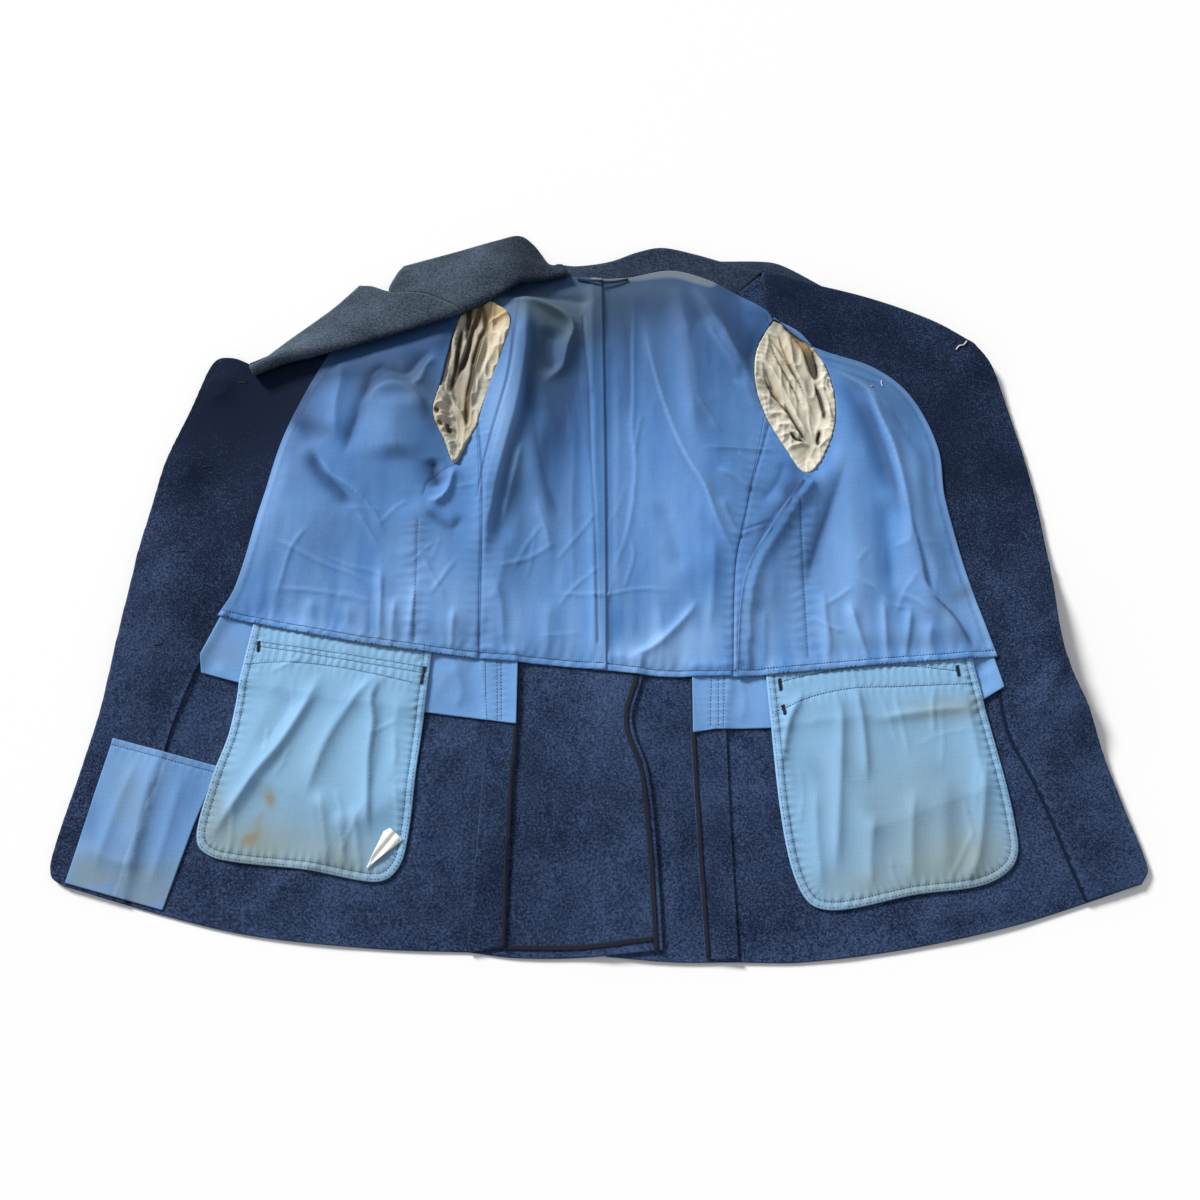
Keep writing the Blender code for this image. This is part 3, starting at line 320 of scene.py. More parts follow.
# Soft patches on the lining: x, y, reaches along x and y, turn in degrees, strength
LINING_PALE = [
    (95, -95, 60, 24, 25, 0.9), (40, -110, 70, 16, 0, 0.7), (-330, 20, 40, 70, 10, 0.25),
    (-290, -60, 60, 40, 0, 0.15), (-190, -50, 40, 50, 0, 0.45), (-140, -70, 26, 50, 0, 0.5),
    (240, -30, 34, 80, 0, 0.55), (350, 60, 30, 80, 8, 0.5), (370, -60, 24, 50, 20, 0.4),
    (180, -60, 30, 60, 0, 0.4), (-60, -60, 60, 60, 0, 0.3), (280, -90, 80, 24, 0, 0.4),
    (-150, 230, 20, 60, 0, 0.3), (-115, 170, 18, 60, 12, 0.45), (70, 40, 40, 60, 0, 0.3),
]
# Soft shades and thin dark lines beside folds: places, reach left and right, strength
LINING_SHADES = [
    ([(-116, 322), (-80, 326), (-40, 326), (0, 324)], 12, 20, 0.45),
    ([(0, 324), (40, 326), (80, 334), (112, 324), (150, 302), (186, 284)], 14, 24, 0.50),
    ([(-52, 300), (-48, 240), (-44, 160), (-42, 80)], 24, 22, 0.42),
    ([(150, 280), (160, 240), (172, 200)], 10, 16, 0.30),
    ([(-280, 230), (-230, 215), (-190, 240)], 20, 26, 0.30),
    ([(-336, 226), (-260, 250), (-200, 270), (-150, 292)], 18, 34, 0.80),
    ([(-236, 226), (-252, 200), (-260, 170), (-268, 140), (-276, 102)], 7, 10, 0.45),
    ([(-318, 205), (-332, 168), (-340, 136)], 12, 12, 0.35),
    ([(-330, 150), (-308, 146), (-290, 126)], 10, 12, 0.35),
    ([(-314, 118), (-298, 88), (-276, 66), (-258, 44)], 3, 11, 0.50),
    ([(-262, 205), (-238, 206), (-214, 204), (-200, 218), (-188, 240)], 9, 5, 0.45),
    ([(-196, 180), (-186, 158), (-178, 130)], 7, 7, 0.35),
    ([(-180, 108), (-178, 90), (-171, 70)], 6, 8, 0.65),
    ([(-186, 46), (-170, 32), (-156, 25), (-144, 44)], 7, 5, 0.40),
    ([(-236, 108), (-216, 112), (-196, 100)], 9, 9, 0.22),
    ([(-102, 300), (-98, 262), (-100, 215), (-107, 178), (-118, 130), (-127, 85), (-133, 45)],
     2.0, 1.2, 0.65),
    ([(-74, 300), (-72, 262), (-76, 205), (-84, 160), (-95, 112), (-104, 62), (-110, 12)],
     12, 4, 0.45),
    ([(-112, 318), (-72, 316), (-35, 308), (0, 300)], 8, 7, 0.90),
    ([(-66, 286), (-62, 255), (-58, 228), (-62, 205)], 12, 9, 0.55),
    ([(-20, 300), (-12, 270), (-22, 240), (-34, 205), (-50, 168), (-68, 172)], 6, 3, 0.35),
    ([(-74, 160), (-68, 120), (-60, 80), (-48, 46), (-50, 28)], 3, 14, 0.35),
    ([(-22, 262), (-19, 220), (-16, 150), (-12, 90)], 7, 2, 0.30),
    ([(34, 330), (34, 290), (33, 240), (33, 190), (31, 140)], 1.5, 10, 0.35),
    ([(102, 330), (103, 285), (99, 240), (100, 200), (104, 160), (103, 112)], 8, 9, 0.45),
    ([(122, 330), (134, 292), (150, 260), (164, 222)], 20, 7, 0.60),
    ([(46, 270), (54, 222), (64, 178), (78, 132), (93, 95), (107, 70), (117, 36)], 2, 7, 0.30),
    ([(204, 112), (212, 92), (206, 74), (192, 56)], 10, 14, 0.55),
    ([(224, 84), (208, 66), (192, 48), (178, 30), (164, 2), (152, -28)], 1.5, 7, 0.60),
    ([(186, 33), (166, 28), (144, 19)], 3.0, 1.5, 0.70),
    ([(103, 119), (140, 120), (176, 120), (207, 116)], 2.4, 1.0, 0.40),
    ([(281, 190), (293, 163), (302, 132), (309, 103), (314, 72), (318, 40)], 2, 13, 0.60),
    ([(268, 112), (257, 82), (247, 55), (237, 28), (227, 2), (217, -28), (211, -52)], 8, 8, 0.50),
    ([(310, 170), (326, 141), (342, 112), (352, 90)], 1.5, 5, 0.35),
    ([(245, 234), (264, 217), (286, 205), (314, 194)], 1.5, 5, 0.35),
    ([(333, -42), (343, -56), (362, -77), (373, -98), (381, -111)], 1.0, 3.5, 0.80),
    ([(-236, -30), (-238, -60), (-236, -115)], 3, 5, 0.40),
    ([(-98, 20), (-100, -20), (-108, -62)], 7, 3, 0.35),
]
# Patches of painted shade on the lining, then greyed ones: as LINING_PALE
LINING_SHADE_PATCHES = [
    (-46, 240, 24, 80, 4, 0.62), (-44, 140, 20, 80, 0, 0.42), (-42, 60, 18, 60, 0, 0.2),
    (-300, 222, 70, 24, 20, 0.75), (-235, 248, 80, 24, 15, 0.70), (-320, 150, 26, 50, 0, 0.35),
    (6, 290, 34, 50, 0, 0.45), (12, 210, 26, 60, 0, 0.25), (62, 290, 40, 40, 0, 0.42),
    (-74, 170, 8, 90, 8, 0.35), (62, 230, 20, 60, 0, 0.25), (120, 300, 30, 26, -20, 0.4),
    (170, 250, 16, 50, -20, 0.35), (196, 30, 14, 60, -8, 0.45), (165, 60, 14, 40, 0, 0.3),
    (326, 70, 12, 90, 0, 0.28), (-325, 110, 26, 50, 0, 0.2), (-200, 190, 30, 22, 20, 0.4),
    (-185, 110, 14, 40, 0, 0.35), (360, 0, 10, 90, -8, 0.3), (290, 190, 30, 18, -30, 0.3),
    (40, 335, 110, 22, 0, 0.5), (-60, 318, 50, 20, -15, 0.5), (-150, 90, 8, 30, 20, 0.3),
    (-112, 40, 5, 90, 4, 0.25), (30, -60, 10, 60, 0, 0.2),
]
LINING_GREY = [
    (-70, 285, 50, 22, -20, 0.8), (-20, 305, 60, 26, 0, 0.55), (60, 320, 70, 16, 0, 0.45),
    (-60, 215, 24, 34, 20, 0.55), (-40, 270, 60, 40, 0, 0.4), (-196, 190, 26, 40, 20, 0.45),
    (-180, 110, 30, 30, 0, 0.3), (20, 280, 60, 40, 0, 0.25), (110, 290, 40, 30, 0, 0.25),
    (372, -50, 18, 9, 30, 0.9), (290, 222, 40, 10, -25, 0.5), (330, 170, 14, 40, 30, 0.3),
    (-90, 60, 12, 90, 8, 0.45), (-250, 190, 50, 40, 0, 0.35), (300, 190, 50, 16, -30, 0.35),
    (-200, 20, 50, 16, 0, 0.3), (350, -80, 14, 20, 0, 0.35), (-210, -95, 40, 12, 0, 0.35),
    (310, -100, 50, 10, 0, 0.35), (-136, -88, 14, 26, 0, 0.35),
]
# Drab patches on the pocket bags, then the shades beside their folds
BAG_DRAB = [
    (-335, -304, 66, 34, -8, 0.85), (-250, -318, 60, 26, -10, 0.65), (-382, -250, 12, 60, 10, 0.5),
    (345, -322, 66, 36, 12, 0.85), (240, -344, 62, 22, 0, 0.5), (350, -170, 46, 12, 5, 0.7),
    (-300, -230, 60, 50, 0, 0.18), (300, -260, 76, 70, 0, 0.50),
]
BAG_SHADES = [
    ([(-274, -130), (-286, -160), (-310, -204), (-334, -240), (-364, -298)], 5, 1.5, 0.30),
    ([(-245, -138), (-262, -178), (-284, -226), (-296, -256)], 7, 2, 0.22),
    ([(-226, -134), (-223, -160), (-220, -200), (-224, -250), (-220, -310)], 4, 1.2, 0.42),
    ([(-280, -256), (-273, -290), (-264, -332)], 7, 3, 0.32),
    ([(-258, -280), (-252, -310), (-246, -336)], 5, 2, 0.28),
    ([(-376, -250), (-368, -280), (-350, -316)], 6, 4, 0.20),
    ([(207, -146), (194, -172), (184, -205), (180, -240)], 6, 2, 0.35),
    ([(238, -138), (242, -172), (238, -240), (230, -345)], 5, 1.5, 0.32),
    ([(258, -138), (264, -180), (264, -250)], 4, 1.5, 0.25),
    ([(262, -240), (268, -300), (262, -352)], 12, 7, 0.26),
    ([(328, -210), (336, -280), (330, -345)], 13, 9, 0.26),
    ([(380, -225), (374, -290), (352, -345)], 8, 6, 0.24),
    ([(268, -186), (310, -180), (376, -169)], 1.2, 3.5, 0.28),
]
# Small stains on the pocket bags, then faint shapeless grey smudges
BAG_SOIL = [
    (-322, -260, 5, 9, 10, 1.0), (-325, -254, 7, 4, 0, 0.7), (-332, -288, 4, 8, 0, 0.9),
    (-341, -298, 6, 4, 20, 1.3), (-334, -296, 3, 8, 0, 0.6), (-330, -276, 2, 4, 0, 0.5),
    (-360, -316, 40, 5, -8, 0.14), (-290, -328, 60, 5, -8, 0.10), (380, -330, 30, 6, 15, 0.12),
    (300, -350, 60, 6, 8, 0.10), (370, -160, 40, 8, 0, 0.10),
]
BAG_SMUDGE = [
    (190, -235, 10, 22, -10, 0.45), (212, -232, 8, 20, 15, 0.4), (240, -222, 8, 20, 0, 0.3),
    (262, -214, 7, 18, 0, 0.22), (286, -206, 7, 16, 10, 0.22), (312, -196, 9, 16, -10, 0.28),
    (236, -168, 26, 6, 10, 0.3), (-205, -240, 3, 3, 0, 0.4), (286, -324, 10, 2, 0, 0.5),
]
# Patches of the sleeve linings: with few gathers, in shade, and soiled
SLEEVE_CALM = [(-112, 240, 20, 70, 10, 1.3), (-138, 165, 14, 60, 16, 1.2),
               (-120, 300, 30, 20, 0, 1.2), (240, 240, 20, 40, -20, 0.9)]
SLEEVE_SHADE = [
    (-160, 255, 18, 60, 8, 0.42), (-166, 190, 18, 50, 12, 0.30), (-134, 312, 26, 16, 10, 0.5),
    (-140, 280, 10, 24, 8, 0.35), (-158, 130, 14, 30, 0, 0.25), (190, 280, 24, 10, -30, 0.35),
    (226, 120, 14, 16, 0, 0.25), (215, 220, 14, 50, 20, 0.12),
]
SLEEVE_SOIL = [
    (-114, 292, 16, 16, 0, 1.3), (-118, 240, 18, 50, 10, 0.45), (-146, 160, 10, 40, 12, 0.35),
    (-176, 150, 8, 20, 0, 0.5),
    (205, 235, 14, 26, 30, 0.3), (196, 190, 8, 22, 30, 0.35), (225, 250, 20, 10, -30, 0.6),
]

# Seams and stitch lines
DART_LEFT = [(-193, 34), (-190, -100)]
DART_RIGHT = [(211, 53), (211, -116)]
DART_CURVE_LEFT = [(-155, 101), (-171, 92), (-186, 78), (-189, 64)]
PLEAT_LINE = [(-19, 282), (-17, 252), (-13, 202), (-10, 116), (-6, 43), (-2, -100)]
SEAM_LEFT_LINING = [(-135, 160), (-129, 114), (-125, 57), (-124, -35), (-123, -116)]
SEAM_RIGHT_LINING = [(185, 149), (176, 118), (165, 83), (153, 32), (141, -21), (135, -133)]
MOUTH_LEFT = [
    [(-349, -99), (-305, -106), (-254, -114), (-178, -127)],
    [(-348, -104), (-305, -111), (-253, -120), (-179, -133)],
    [(-363, -123), (-326, -121), (-283, -124), (-242, -131), (-189, -143)],
]
MOUTH_RIGHT = [
    [(182, -142), (202, -137), (253, -128), (304, -125), (361, -131)],
    [(172, -173), (183, -170), (211, -158), (254, -149), (302, -147), (376, -144)],
]
STAY_LINES_LEFT = [[(-117, -117), (-115, -161), (-113, -180)], [(-105, -119), (-103, -181)],
                   [(-101, -119), (-99, -181)]]
STAY_LINES_RIGHT = [[(113, -134), (110, -190)], [(120, -134), (118, -190)],
                    [(126, -134), (123, -189)]]
BAR_TACKS = [(-350, -99, -349, -110), (-178, -127, -180, -145), (181, -139, 182, -151),
             (361, -126, 362, -137), (183, -166, 185, -176)]
BUTTONHOLES = [(408, 250, 378, 221), (447, 128, 423, 104), (465, 21, 450, 6),
               (462, -66, 435, -83)]
BUTTON_MARKS = [(-397, 202), (-424, 98), (-440, -2), (-450, -104)]
BUTTONS = {"button_1": (-424, 196), "button_2": (-452, 96), "button_3": (-468, -4),
           "button_4": (-478, -104)}

# Where the tables' origin lies in the frame, found from one corner of the torn tag
tag_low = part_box("torn_tag")[0]
OFFSET = np.array([tag_low.x - TORN_TAG[0][0] * MM, tag_low.y - TORN_TAG[0][1] * MM, 0.0])


def colour_property(name, description, default):
    """Colour property with three parts."""
    return FloatVectorProperty(name=name, description=description, subtype="COLOR", size=3,
                               default=default)


def length_property(name, description, default):
    """Property with a length in metres."""
    return FloatProperty(name=name, description=description, unit="LENGTH", default=default)


class ClothColours(bpy.types.PropertyGroup):
    """Colours of the cloths and threads, as linear light."""

    wool_dark: colour_property(
        "Wool, dark fibres", "Darker of the fibres that the wool mixes", (0.0065, 0.0125, 0.032))
    wool_light: colour_property(
        "Wool, light fibres", "Lighter of the fibres that the wool mixes", (0.054, 0.089, 0.188))
    # Lapel and collar: lighter as worn wool, and partly as painted light where the roll faces up
    worn_and_lit_dark: colour_property(
        "Worn wool, dark fibres", "Darker fibres on lapel and collar", (0.010, 0.016, 0.029))
    worn_and_lit_light: colour_property(
        "Worn wool, light fibres", "Lighter fibres on lapel and collar", (0.106, 0.142, 0.190))
    lining: colour_property(
        "Lining", "Cotton sateen of the half lining", (0.062, 0.182, 0.440))
    lining_pale: colour_property(
        "Lining, faded", "Where the lining is worn and bleached", (0.310, 0.520, 0.850))
    lining_grey: colour_property(
        "Lining, soiled", "Where the lining is greyed by wear", (0.048, 0.090, 0.128))
    stay: colour_property(
        "Stays", "Light blue twill of the stays and the corner pocket", (0.112, 0.265, 0.550))
    pocketing: colour_property(
        "Pocket bags", "Pale twill of the pocket bags", (0.190, 0.380, 0.585))
    soil: colour_property(
        "Soil", "Brown and yellow soil on cotton", (0.230, 0.215, 0.120))
    sleeve: colour_property(
        "Sleeve lining", "Cream cotton of the sleeve linings", (0.515, 0.487, 0.402))
    binding: colour_property(
        "Binding", "Bias tape over raw edges", (0.0045, 0.006, 0.012))
    thread: colour_property(
        "Dark thread", "Machine and hand stitching", (0.014, 0.024, 0.055))
    tag: colour_property(
        "Tag", "White woven tag and white thread", (0.800, 0.790, 0.740))
    brass: colour_property(
        "Brass", "Plain buttons", (0.600, 0.420, 0.150))


class ClothSizes(bpy.types.PropertyGroup):
    """Thickness, spacing and looseness of the cloths."""

    wool: length_property("Wool", "Thickness of the wool", 0.0016)
    facing: length_property("Facing", "Thickness of the facings", 0.0014)
    lining: length_property("Lining", "Thickness of the lining", 0.0008)
    pocketing: length_property("Pocketing", "Thickness of bags and stays", 0.0008)
    binding: length_property("Binding", "Thickness of the bias tape", 0.0007)
    binding_width: length_property("Binding width", "Width of the bias tape", 0.0042)
    lapel: length_property("Lapel", "Thickness of lapel and collar", 0.0030)
    net: length_property("Net", "Spacing of the places in a cloth", 0.0030)
    loft: length_property("Loft", "How far the loose lining stands off", 0.0048)
    stitch: length_property("Stitch", "Length of one machine stitch", 0.0024)
    thread: length_property("Thread", "Radius of the sewing thread", 0.00032)
    crest: length_property("Roll height", "Height of the standing roll", 0.0200)


class StudioSizes(bpy.types.PropertyGroup):
    """Camera and light of the photograph's view."""

    tilt: FloatProperty(name="Camera height angle", description="Angle above the surface",
                        subtype="ANGLE", unit="ROTATION", default=math.radians(71.0))
    away: length_property("Camera distance", "Distance from the tunic", 1.17)
    back: length_property("Camera foot", "How far the camera stands back", 0.432)
    lens: FloatProperty(name="Lens", description="Focal length in millimetres",
                        default=33.6)
    key: FloatProperty(name="Key light", description="Strength of the soft main light",
                       default=5.1)
    height: FloatProperty(name="Key light height", description="Angle above the surface",
                          subtype="ANGLE", unit="ROTATION", default=math.radians(27.0))
    turn: FloatProperty(name="Key light turn", description="Angle left of the back",
                        subtype="ANGLE", unit="ROTATION", default=math.radians(44.0))
    sky: FloatProperty(name="Sky light", description="Strength of the even light",
                       default=0.44)


def curve(rows, step=EDGE_STEP):
    """Smooth curve through places in millimetres, in metres.

    Each span is a cubic. Its slope at a place is the direction between the place's
    neighbours, scaled by the span's share of their distance.
    """
    knots = np.array([row[:2] for row in rows], float) * MM
    if len(knots) == 2:
        knots = np.array([knots[0], knots.mean(axis=0), knots[1]])
    knots = np.vstack([2 * knots[0] - knots[1], knots, 2 * knots[-1] - knots[-2]])
    spans = []
    for a, b, c, d in zip(knots[:-3], knots[1:-2], knots[2:-1], knots[3:]):
        length = np.linalg.norm(c - b)
        slope_b = (c - a) * length / (length + np.linalg.norm(b - a))
        slope_c = (d - b) * length / (length + np.linalg.norm(d - c))
        count = max(1, int(round(length / step)))
        t = (np.arange(count) / count)[:, None]
        spans.append(b * (2 * t**3 - 3 * t**2 + 1) + c * (3 * t**2 - 2 * t**3)
                     + slope_b * (t**3 - 2 * t**2 + t) + slope_c * (t**3 - t**2))
    return np.vstack(spans + [knots[-2:-1]])


def straight(rows, step=EDGE_STEP):
    """Closed outline with straight sides through places in millimetres."""
    return joined(*[curve([a, b], step) for a, b in zip(rows, rows[1:] + rows[:1])])


def left_of(points):
    """Unit vectors to the left of a curve's direction, one for each place."""
    along = np.gradient(points, axis=0)
    along /= np.maximum(np.linalg.norm(along, axis=1), 1e-12)[:, None]
    return np.column_stack([-along[:, 1], along[:, 0]])


def beside(points, distance):
    """The curve moved to its own left by a distance."""
    return points + left_of(points) * distance


def joined(*curves):
    """One closed outline from curves that follow each other, without doubled places."""
    loop = np.vstack(curves)
    step = np.linalg.norm(loop - np.roll(loop, 1, axis=0), axis=1)
    return loop[step > 2 * GAP]


def area_of(loop):
    """Area of a plan outline, positive when it runs anticlockwise."""
    x, y = loop[:, 0], loop[:, 1]
    return 0.5 * float(np.sum(x * np.roll(y, -1) - np.roll(x, -1) * y))


def grown(loop, distance):
    """A closed outline moved outwards by a distance all round."""
    if area_of(loop) < 0:
        loop = loop[::-1]
    ahead = np.roll(loop, -1, axis=0) - np.roll(loop, 1, axis=0)
    ahead /= np.linalg.norm(ahead, axis=1)[:, None]
    return loop + np.column_stack([ahead[:, 1], -ahead[:, 0]]) * distance


def strip(line, inner, outer):
    """Plan outline of a strip along a line, between two distances to its left."""
    return joined(beside(line, outer), beside(line, inner)[::-1])


def length_of(line):
    """Length of a line: the sum of its spans."""
    return float(np.sum(np.linalg.norm(np.diff(line, axis=0), axis=1)))


def run_along(points):
    """Distance from a line's start to each of its points."""
    return np.concatenate([[0], np.cumsum(np.linalg.norm(np.diff(points, axis=0), axis=1))])


def spaced(points, count):
    """A line's points at a number of even distances along it."""
    run = run_along(points)
    marks = np.linspace(0, run[-1], count)
    return np.column_stack([np.interp(marks, run, points[:, k])
                            for k in range(points.shape[1])])


def even(points, step):
    """A line's points at even distances along it, close to the step."""
    return spaced(points, max(2, int(round(run_along(points)[-1] / step)) + 1))


def inside(loop, points):
    """Which points lie in a closed outline: a ray to the right crosses it an odd number
    of times."""
    found = np.zeros(len(points), bool)
    for (x0, y0), (x1, y1) in zip(loop, np.roll(loop, -1, axis=0)):
        crossed = (y0 > points[:, 1]) != (y1 > points[:, 1])
        if y0 != y1:
            at = (x1 - x0) * (points[:, 1] - y0) / (y1 - y0) + x0
            found ^= crossed & (points[:, 0] < at)
    return found


def nearest(points, line):
    """Distance to a line, side of it (1 is left) and run along it from 0 to 1."""
    best = np.full(len(points), np.inf)
    side = np.zeros(len(points))
    run = np.zeros(len(points))
    spans = np.diff(line, axis=0)
    lengths = np.linalg.norm(spans, axis=1)
    starts = np.concatenate([[0], np.cumsum(lengths)])
    for start, span, length, begun in zip(line, spans, lengths, starts):
        off = points - start
        t = np.clip(off @ span / length**2, 0, 1)
        left = span[0] * off[:, 1] - span[1] * off[:, 0]
        off = off - t[:, None] * span
        square = np.einsum("ij,ij->i", off, off)
        closer = square < best
        best = np.where(closer, square, best)
        side = np.where(closer, np.sign(left), side)
        run = np.where(closer, begun + t * length, run)
    return np.sqrt(best), side, run / starts[-1]


def smoothstep(t):
    """From 0 to 1 with level ends: three squares less two cubes."""
    t = np.clip(t, 0, 1)
    return t * t * (3 - 2 * t)


def noise(points, width, height, seed):
    """Smooth random field from -1 to 1: random values at the corners of a net, blended
    between them with smooth steps."""
    values = np.random.default_rng(seed).uniform(-1, 1, (64, 64))
    u, v = points[:, 0] / width + 31.7, points[:, 1] / height + 17.3
    i, k = np.floor(u).astype(int), np.floor(v).astype(int)
    s, t = smoothstep(u - i), smoothstep(v - k)
    i0, i1, k0, k1 = i % 64, (i + 1) % 64, k % 64, (k + 1) % 64
    low = values[i0, k0] * (1 - s) + values[i1, k0] * s
    high = values[i0, k1] * (1 - s) + values[i1, k1] * s
    return low * (1 - t) + high * t


def folds(points, table):
    """Sum of folds: each is its height times a bell of the distance from its line, with
    its own reach on each side, sharp for narrow folds and round for broad ones, fading
    out over a quarter of its length at both ends."""
    height = np.zeros(len(points))
    for places, left, right, top in table:
        line = curve(places, COARSE_STEP)
        reach = 4 * max(left, right) * MM
        close = np.all((points > line.min(axis=0) - reach)
                       & (points < line.max(axis=0) + reach), axis=1)
        away, side, run = nearest(points[close], line)
        width = np.where(side > 0, left, right) * MM
        fade = smoothstep(np.minimum(run, 1 - run) * 4)
        power = SHARP_FOLD if max(left, right) < NARROW_FOLD else ROUND_FOLD
        height[close] += top * MM * np.exp(-(away / width) ** power) * fade
    return height


def creases(seed, count, low, high, lean):
    """Rows of thin random creases in a box: short, nearly straight, most of them leaning
    like the others, and a few across."""
    pick = np.random.default_rng(seed)
    rows = []
    for _ in range(count):
        x, y = pick.uniform(low[0], high[0]), pick.uniform(low[1], high[1])
        turn = math.radians(pick.choice([lean, lean, lean - 70]) + pick.uniform(-26, 26))
        length = pick.uniform(26, 84)
        bend = pick.uniform(-0.14, 0.14) * length
        dx, dy = math.cos(turn) * length / 2, math.sin(turn) * length / 2
        rows.append(([(x - dx, y - dy), (x - dy * bend / length, y + dx * bend / length),
                      (x + dx, y + dy)],
                     pick.uniform(1.2, 2.0), pick.uniform(1.4, 3.0), pick.uniform(0.4, 1.2)))
    return rows


def patches(points, table):
    """Sum of soft oval patches: a bell of the distance from the middle, measured along
    two turned axes."""
    total = np.zeros(len(points))
    for x, y, reach_x, reach_y, turn, strength in table:
        angle = math.radians(turn)
        dx, dy = points[:, 0] - x * MM, points[:, 1] - y * MM
        u = (dx * math.cos(angle) + dy * math.sin(angle)) / (reach_x * MM)
        v = (dy * math.cos(angle) - dx * math.sin(angle)) / (reach_y * MM)
        total += strength * np.exp(-(u**2 + v**2) ** 0.9)
    return total


def groove(points, line, depth, width, pucker=0.0, period=0.007):
    """Furrow of a seam, with small puckers across it on both sides.

    The furrow is a bell of the distance. The puckers are a sine along the seam times a
    wider bell."""
    away, side, run = nearest(points, line)
    sway = noise(points, 0.021, 0.021, 5)
    wave = np.sin(2 * math.pi * run * length_of(line) / period + 2.5 * sway + side)
    return (-depth * np.exp(-(away / width) ** 2)
            + pucker * wave * (away / width) * np.exp(-away / (2.6 * width)))


def blur(field):
    """Each cell shared with its neighbours: a quarter, a half and a quarter, both ways."""
    for axis in (0, 1):
        field = (np.roll(field, 1, axis) + 2 * field + np.roll(field, -1, axis)) / 4
    return field


class Surface:
    """The surface that the cloths lie on, as a raster of heights."""

    def __init__(self):
        left, right, near, far = RASTER
        self.x = np.arange(left, right, CELL)
        self.y = np.arange(near, far, CELL)
        across, up = np.meshgrid(self.x, self.y)
        self.shape = across.shape
        self.points = np.column_stack([across.ravel(), up.ravel()])
        self.top = np.full(self.shape, -GAP)
        self.rise = self.rises()
        self.shell_low = None

    def rises(self):
        """Largest of the soft rises: half a cosine of the distance from each ridge."""
        height = np.zeros(len(self.points))
        for x0, y0, x1, y1, reach, top in RISES:
            line = np.array([(x0, y0), (x1, y1)]) * MM
            away = nearest(self.points, line)[0] / (reach * MM)
            bump = top * MM * 0.5 * (1 + np.cos(math.pi * np.clip(away, 0, 1)))
            height = np.maximum(height, bump)
        height = height.reshape(self.shape)
        for _ in range(14):
            height = blur(height)
        return height

    def mask(self, loop):
        """Cells inside an outline."""
        found = np.zeros(len(self.points), bool)
        close = np.all((self.points >= loop.min(axis=0) - CELL)
                       & (self.points <= loop.max(axis=0) + CELL), axis=1)
        found[close] = inside(loop, self.points[close])
        return found.reshape(self.shape)

    def drape(self, mask, softness, lift):
        """Lower side of a cloth: the heights below it, evened out again and again, and
        each time raised to what lies there."""
        level = np.maximum(self.top, lift) + GAP
        share = np.maximum(blur(mask.astype(float)), 1e-6)
        cloth = level.copy()
        for _ in range(softness):
            cloth = np.maximum(level, blur(cloth * mask) / share)
        return np.where(mask, cloth, level)

    def at(self, field, points):
        """Height of a field at any places, in straight steps between its cells."""
        u = np.clip((points[:, 0] - self.x[0]) / CELL, 0, self.shape[1] - 1.001)
        v = np.clip((points[:, 1] - self.y[0]) / CELL, 0, self.shape[0] - 1.001)
        i, k = u.astype(int), v.astype(int)
        s, t = u - i, v - k
        low = field[k, i] * (1 - s) + field[k, i + 1] * s
        high = field[k + 1, i] * (1 - s) + field[k + 1, i + 1] * s
        return low * (1 - t) + high * t

    def over(self, points):
        """Height of the highest cloth at any places."""
        return self.at(self.top, points)


SURFACE = Surface()


def cut(outline, step, seams=()):
    """Places and triangles of a cloth: a three-way net inside its outline, with rows of
    places close to the edge and along the seams."""
    if area_of(outline) < 0:
        outline = outline[::-1]
    step = step * PREVIEW
    low, high = outline.min(axis=0), outline.max(axis=0)
    across, up = np.meshgrid(np.arange(low[0], high[0], step),
                             np.arange(low[1], high[1], step * ROW_HEIGHT))
    across[1::2] += step / 2
    net = np.column_stack([across.ravel(), up.ravel()])
    net = net[inside(outline, net)]
    closed = np.vstack([outline, outline[:1]])
    net = net[nearest(net, closed)[0] > EDGE_ROW + 0.6 * step]
    rows = [grown(outline, -EDGE_ROW)]
    for seam in seams:
        line = even(seam, SEAM_STEP * PREVIEW)
        net = net[nearest(net, line)[0] > SEAM_REACH + 0.4 * step]
        rows += [line, *[beside(line, distance) for distance in SEAM_ROWS]]
    near = np.vstack(rows)
    near = near[inside(outline, near)]
    near = near[nearest(near, closed)[0] > 0.0008]
    places = np.vstack([outline, near, net])
    found = delaunay_2d_cdt(places.tolist(), [], [list(range(len(outline)))], 1, 2e-5)
    plan = np.array([tuple(place) for place in found[0]])
    triangles = np.array(found[2])
    a, b, c = plan[triangles[:, 0]], plan[triangles[:, 1]], plan[triangles[:, 2]]
    turn = (b - a)[:, 0] * (c - a)[:, 1] - (b - a)[:, 1] * (c - a)[:, 0]
    triangles = triangles[np.abs(turn) > 1e-12]
    turn = turn[np.abs(turn) > 1e-12]
    triangles[turn < 0] = triangles[turn < 0][:, ::-1]
    used, numbers = np.unique(triangles, return_inverse=True)
    return plan[used], numbers.reshape(triangles.shape)


def mesh_of(name, points, *faces):
    """Mesh from arrays of places and of faces with three or four corners."""
    mesh = bpy.data.meshes.new(name)
    mesh.vertices.add(len(points))
    mesh.vertices.foreach_set("co", np.asarray(points, np.float32).ravel())
    corners = np.concatenate([part.ravel() for part in faces])
    sizes = np.concatenate([np.full(len(part), part.shape[1]) for part in faces])
    mesh.loops.add(len(corners))
    mesh.loops.foreach_set("vertex_index", corners.astype(np.int32))
    mesh.polygons.add(len(sizes))
    starts = np.concatenate([[0], np.cumsum(sizes)[:-1]])
    mesh.polygons.foreach_set("loop_start", starts.astype(np.int32))
    mesh.polygons.foreach_set("use_smooth", np.ones(len(sizes), bool))
    mesh.update(calc_edges=True)
    mesh.validate()
    return mesh


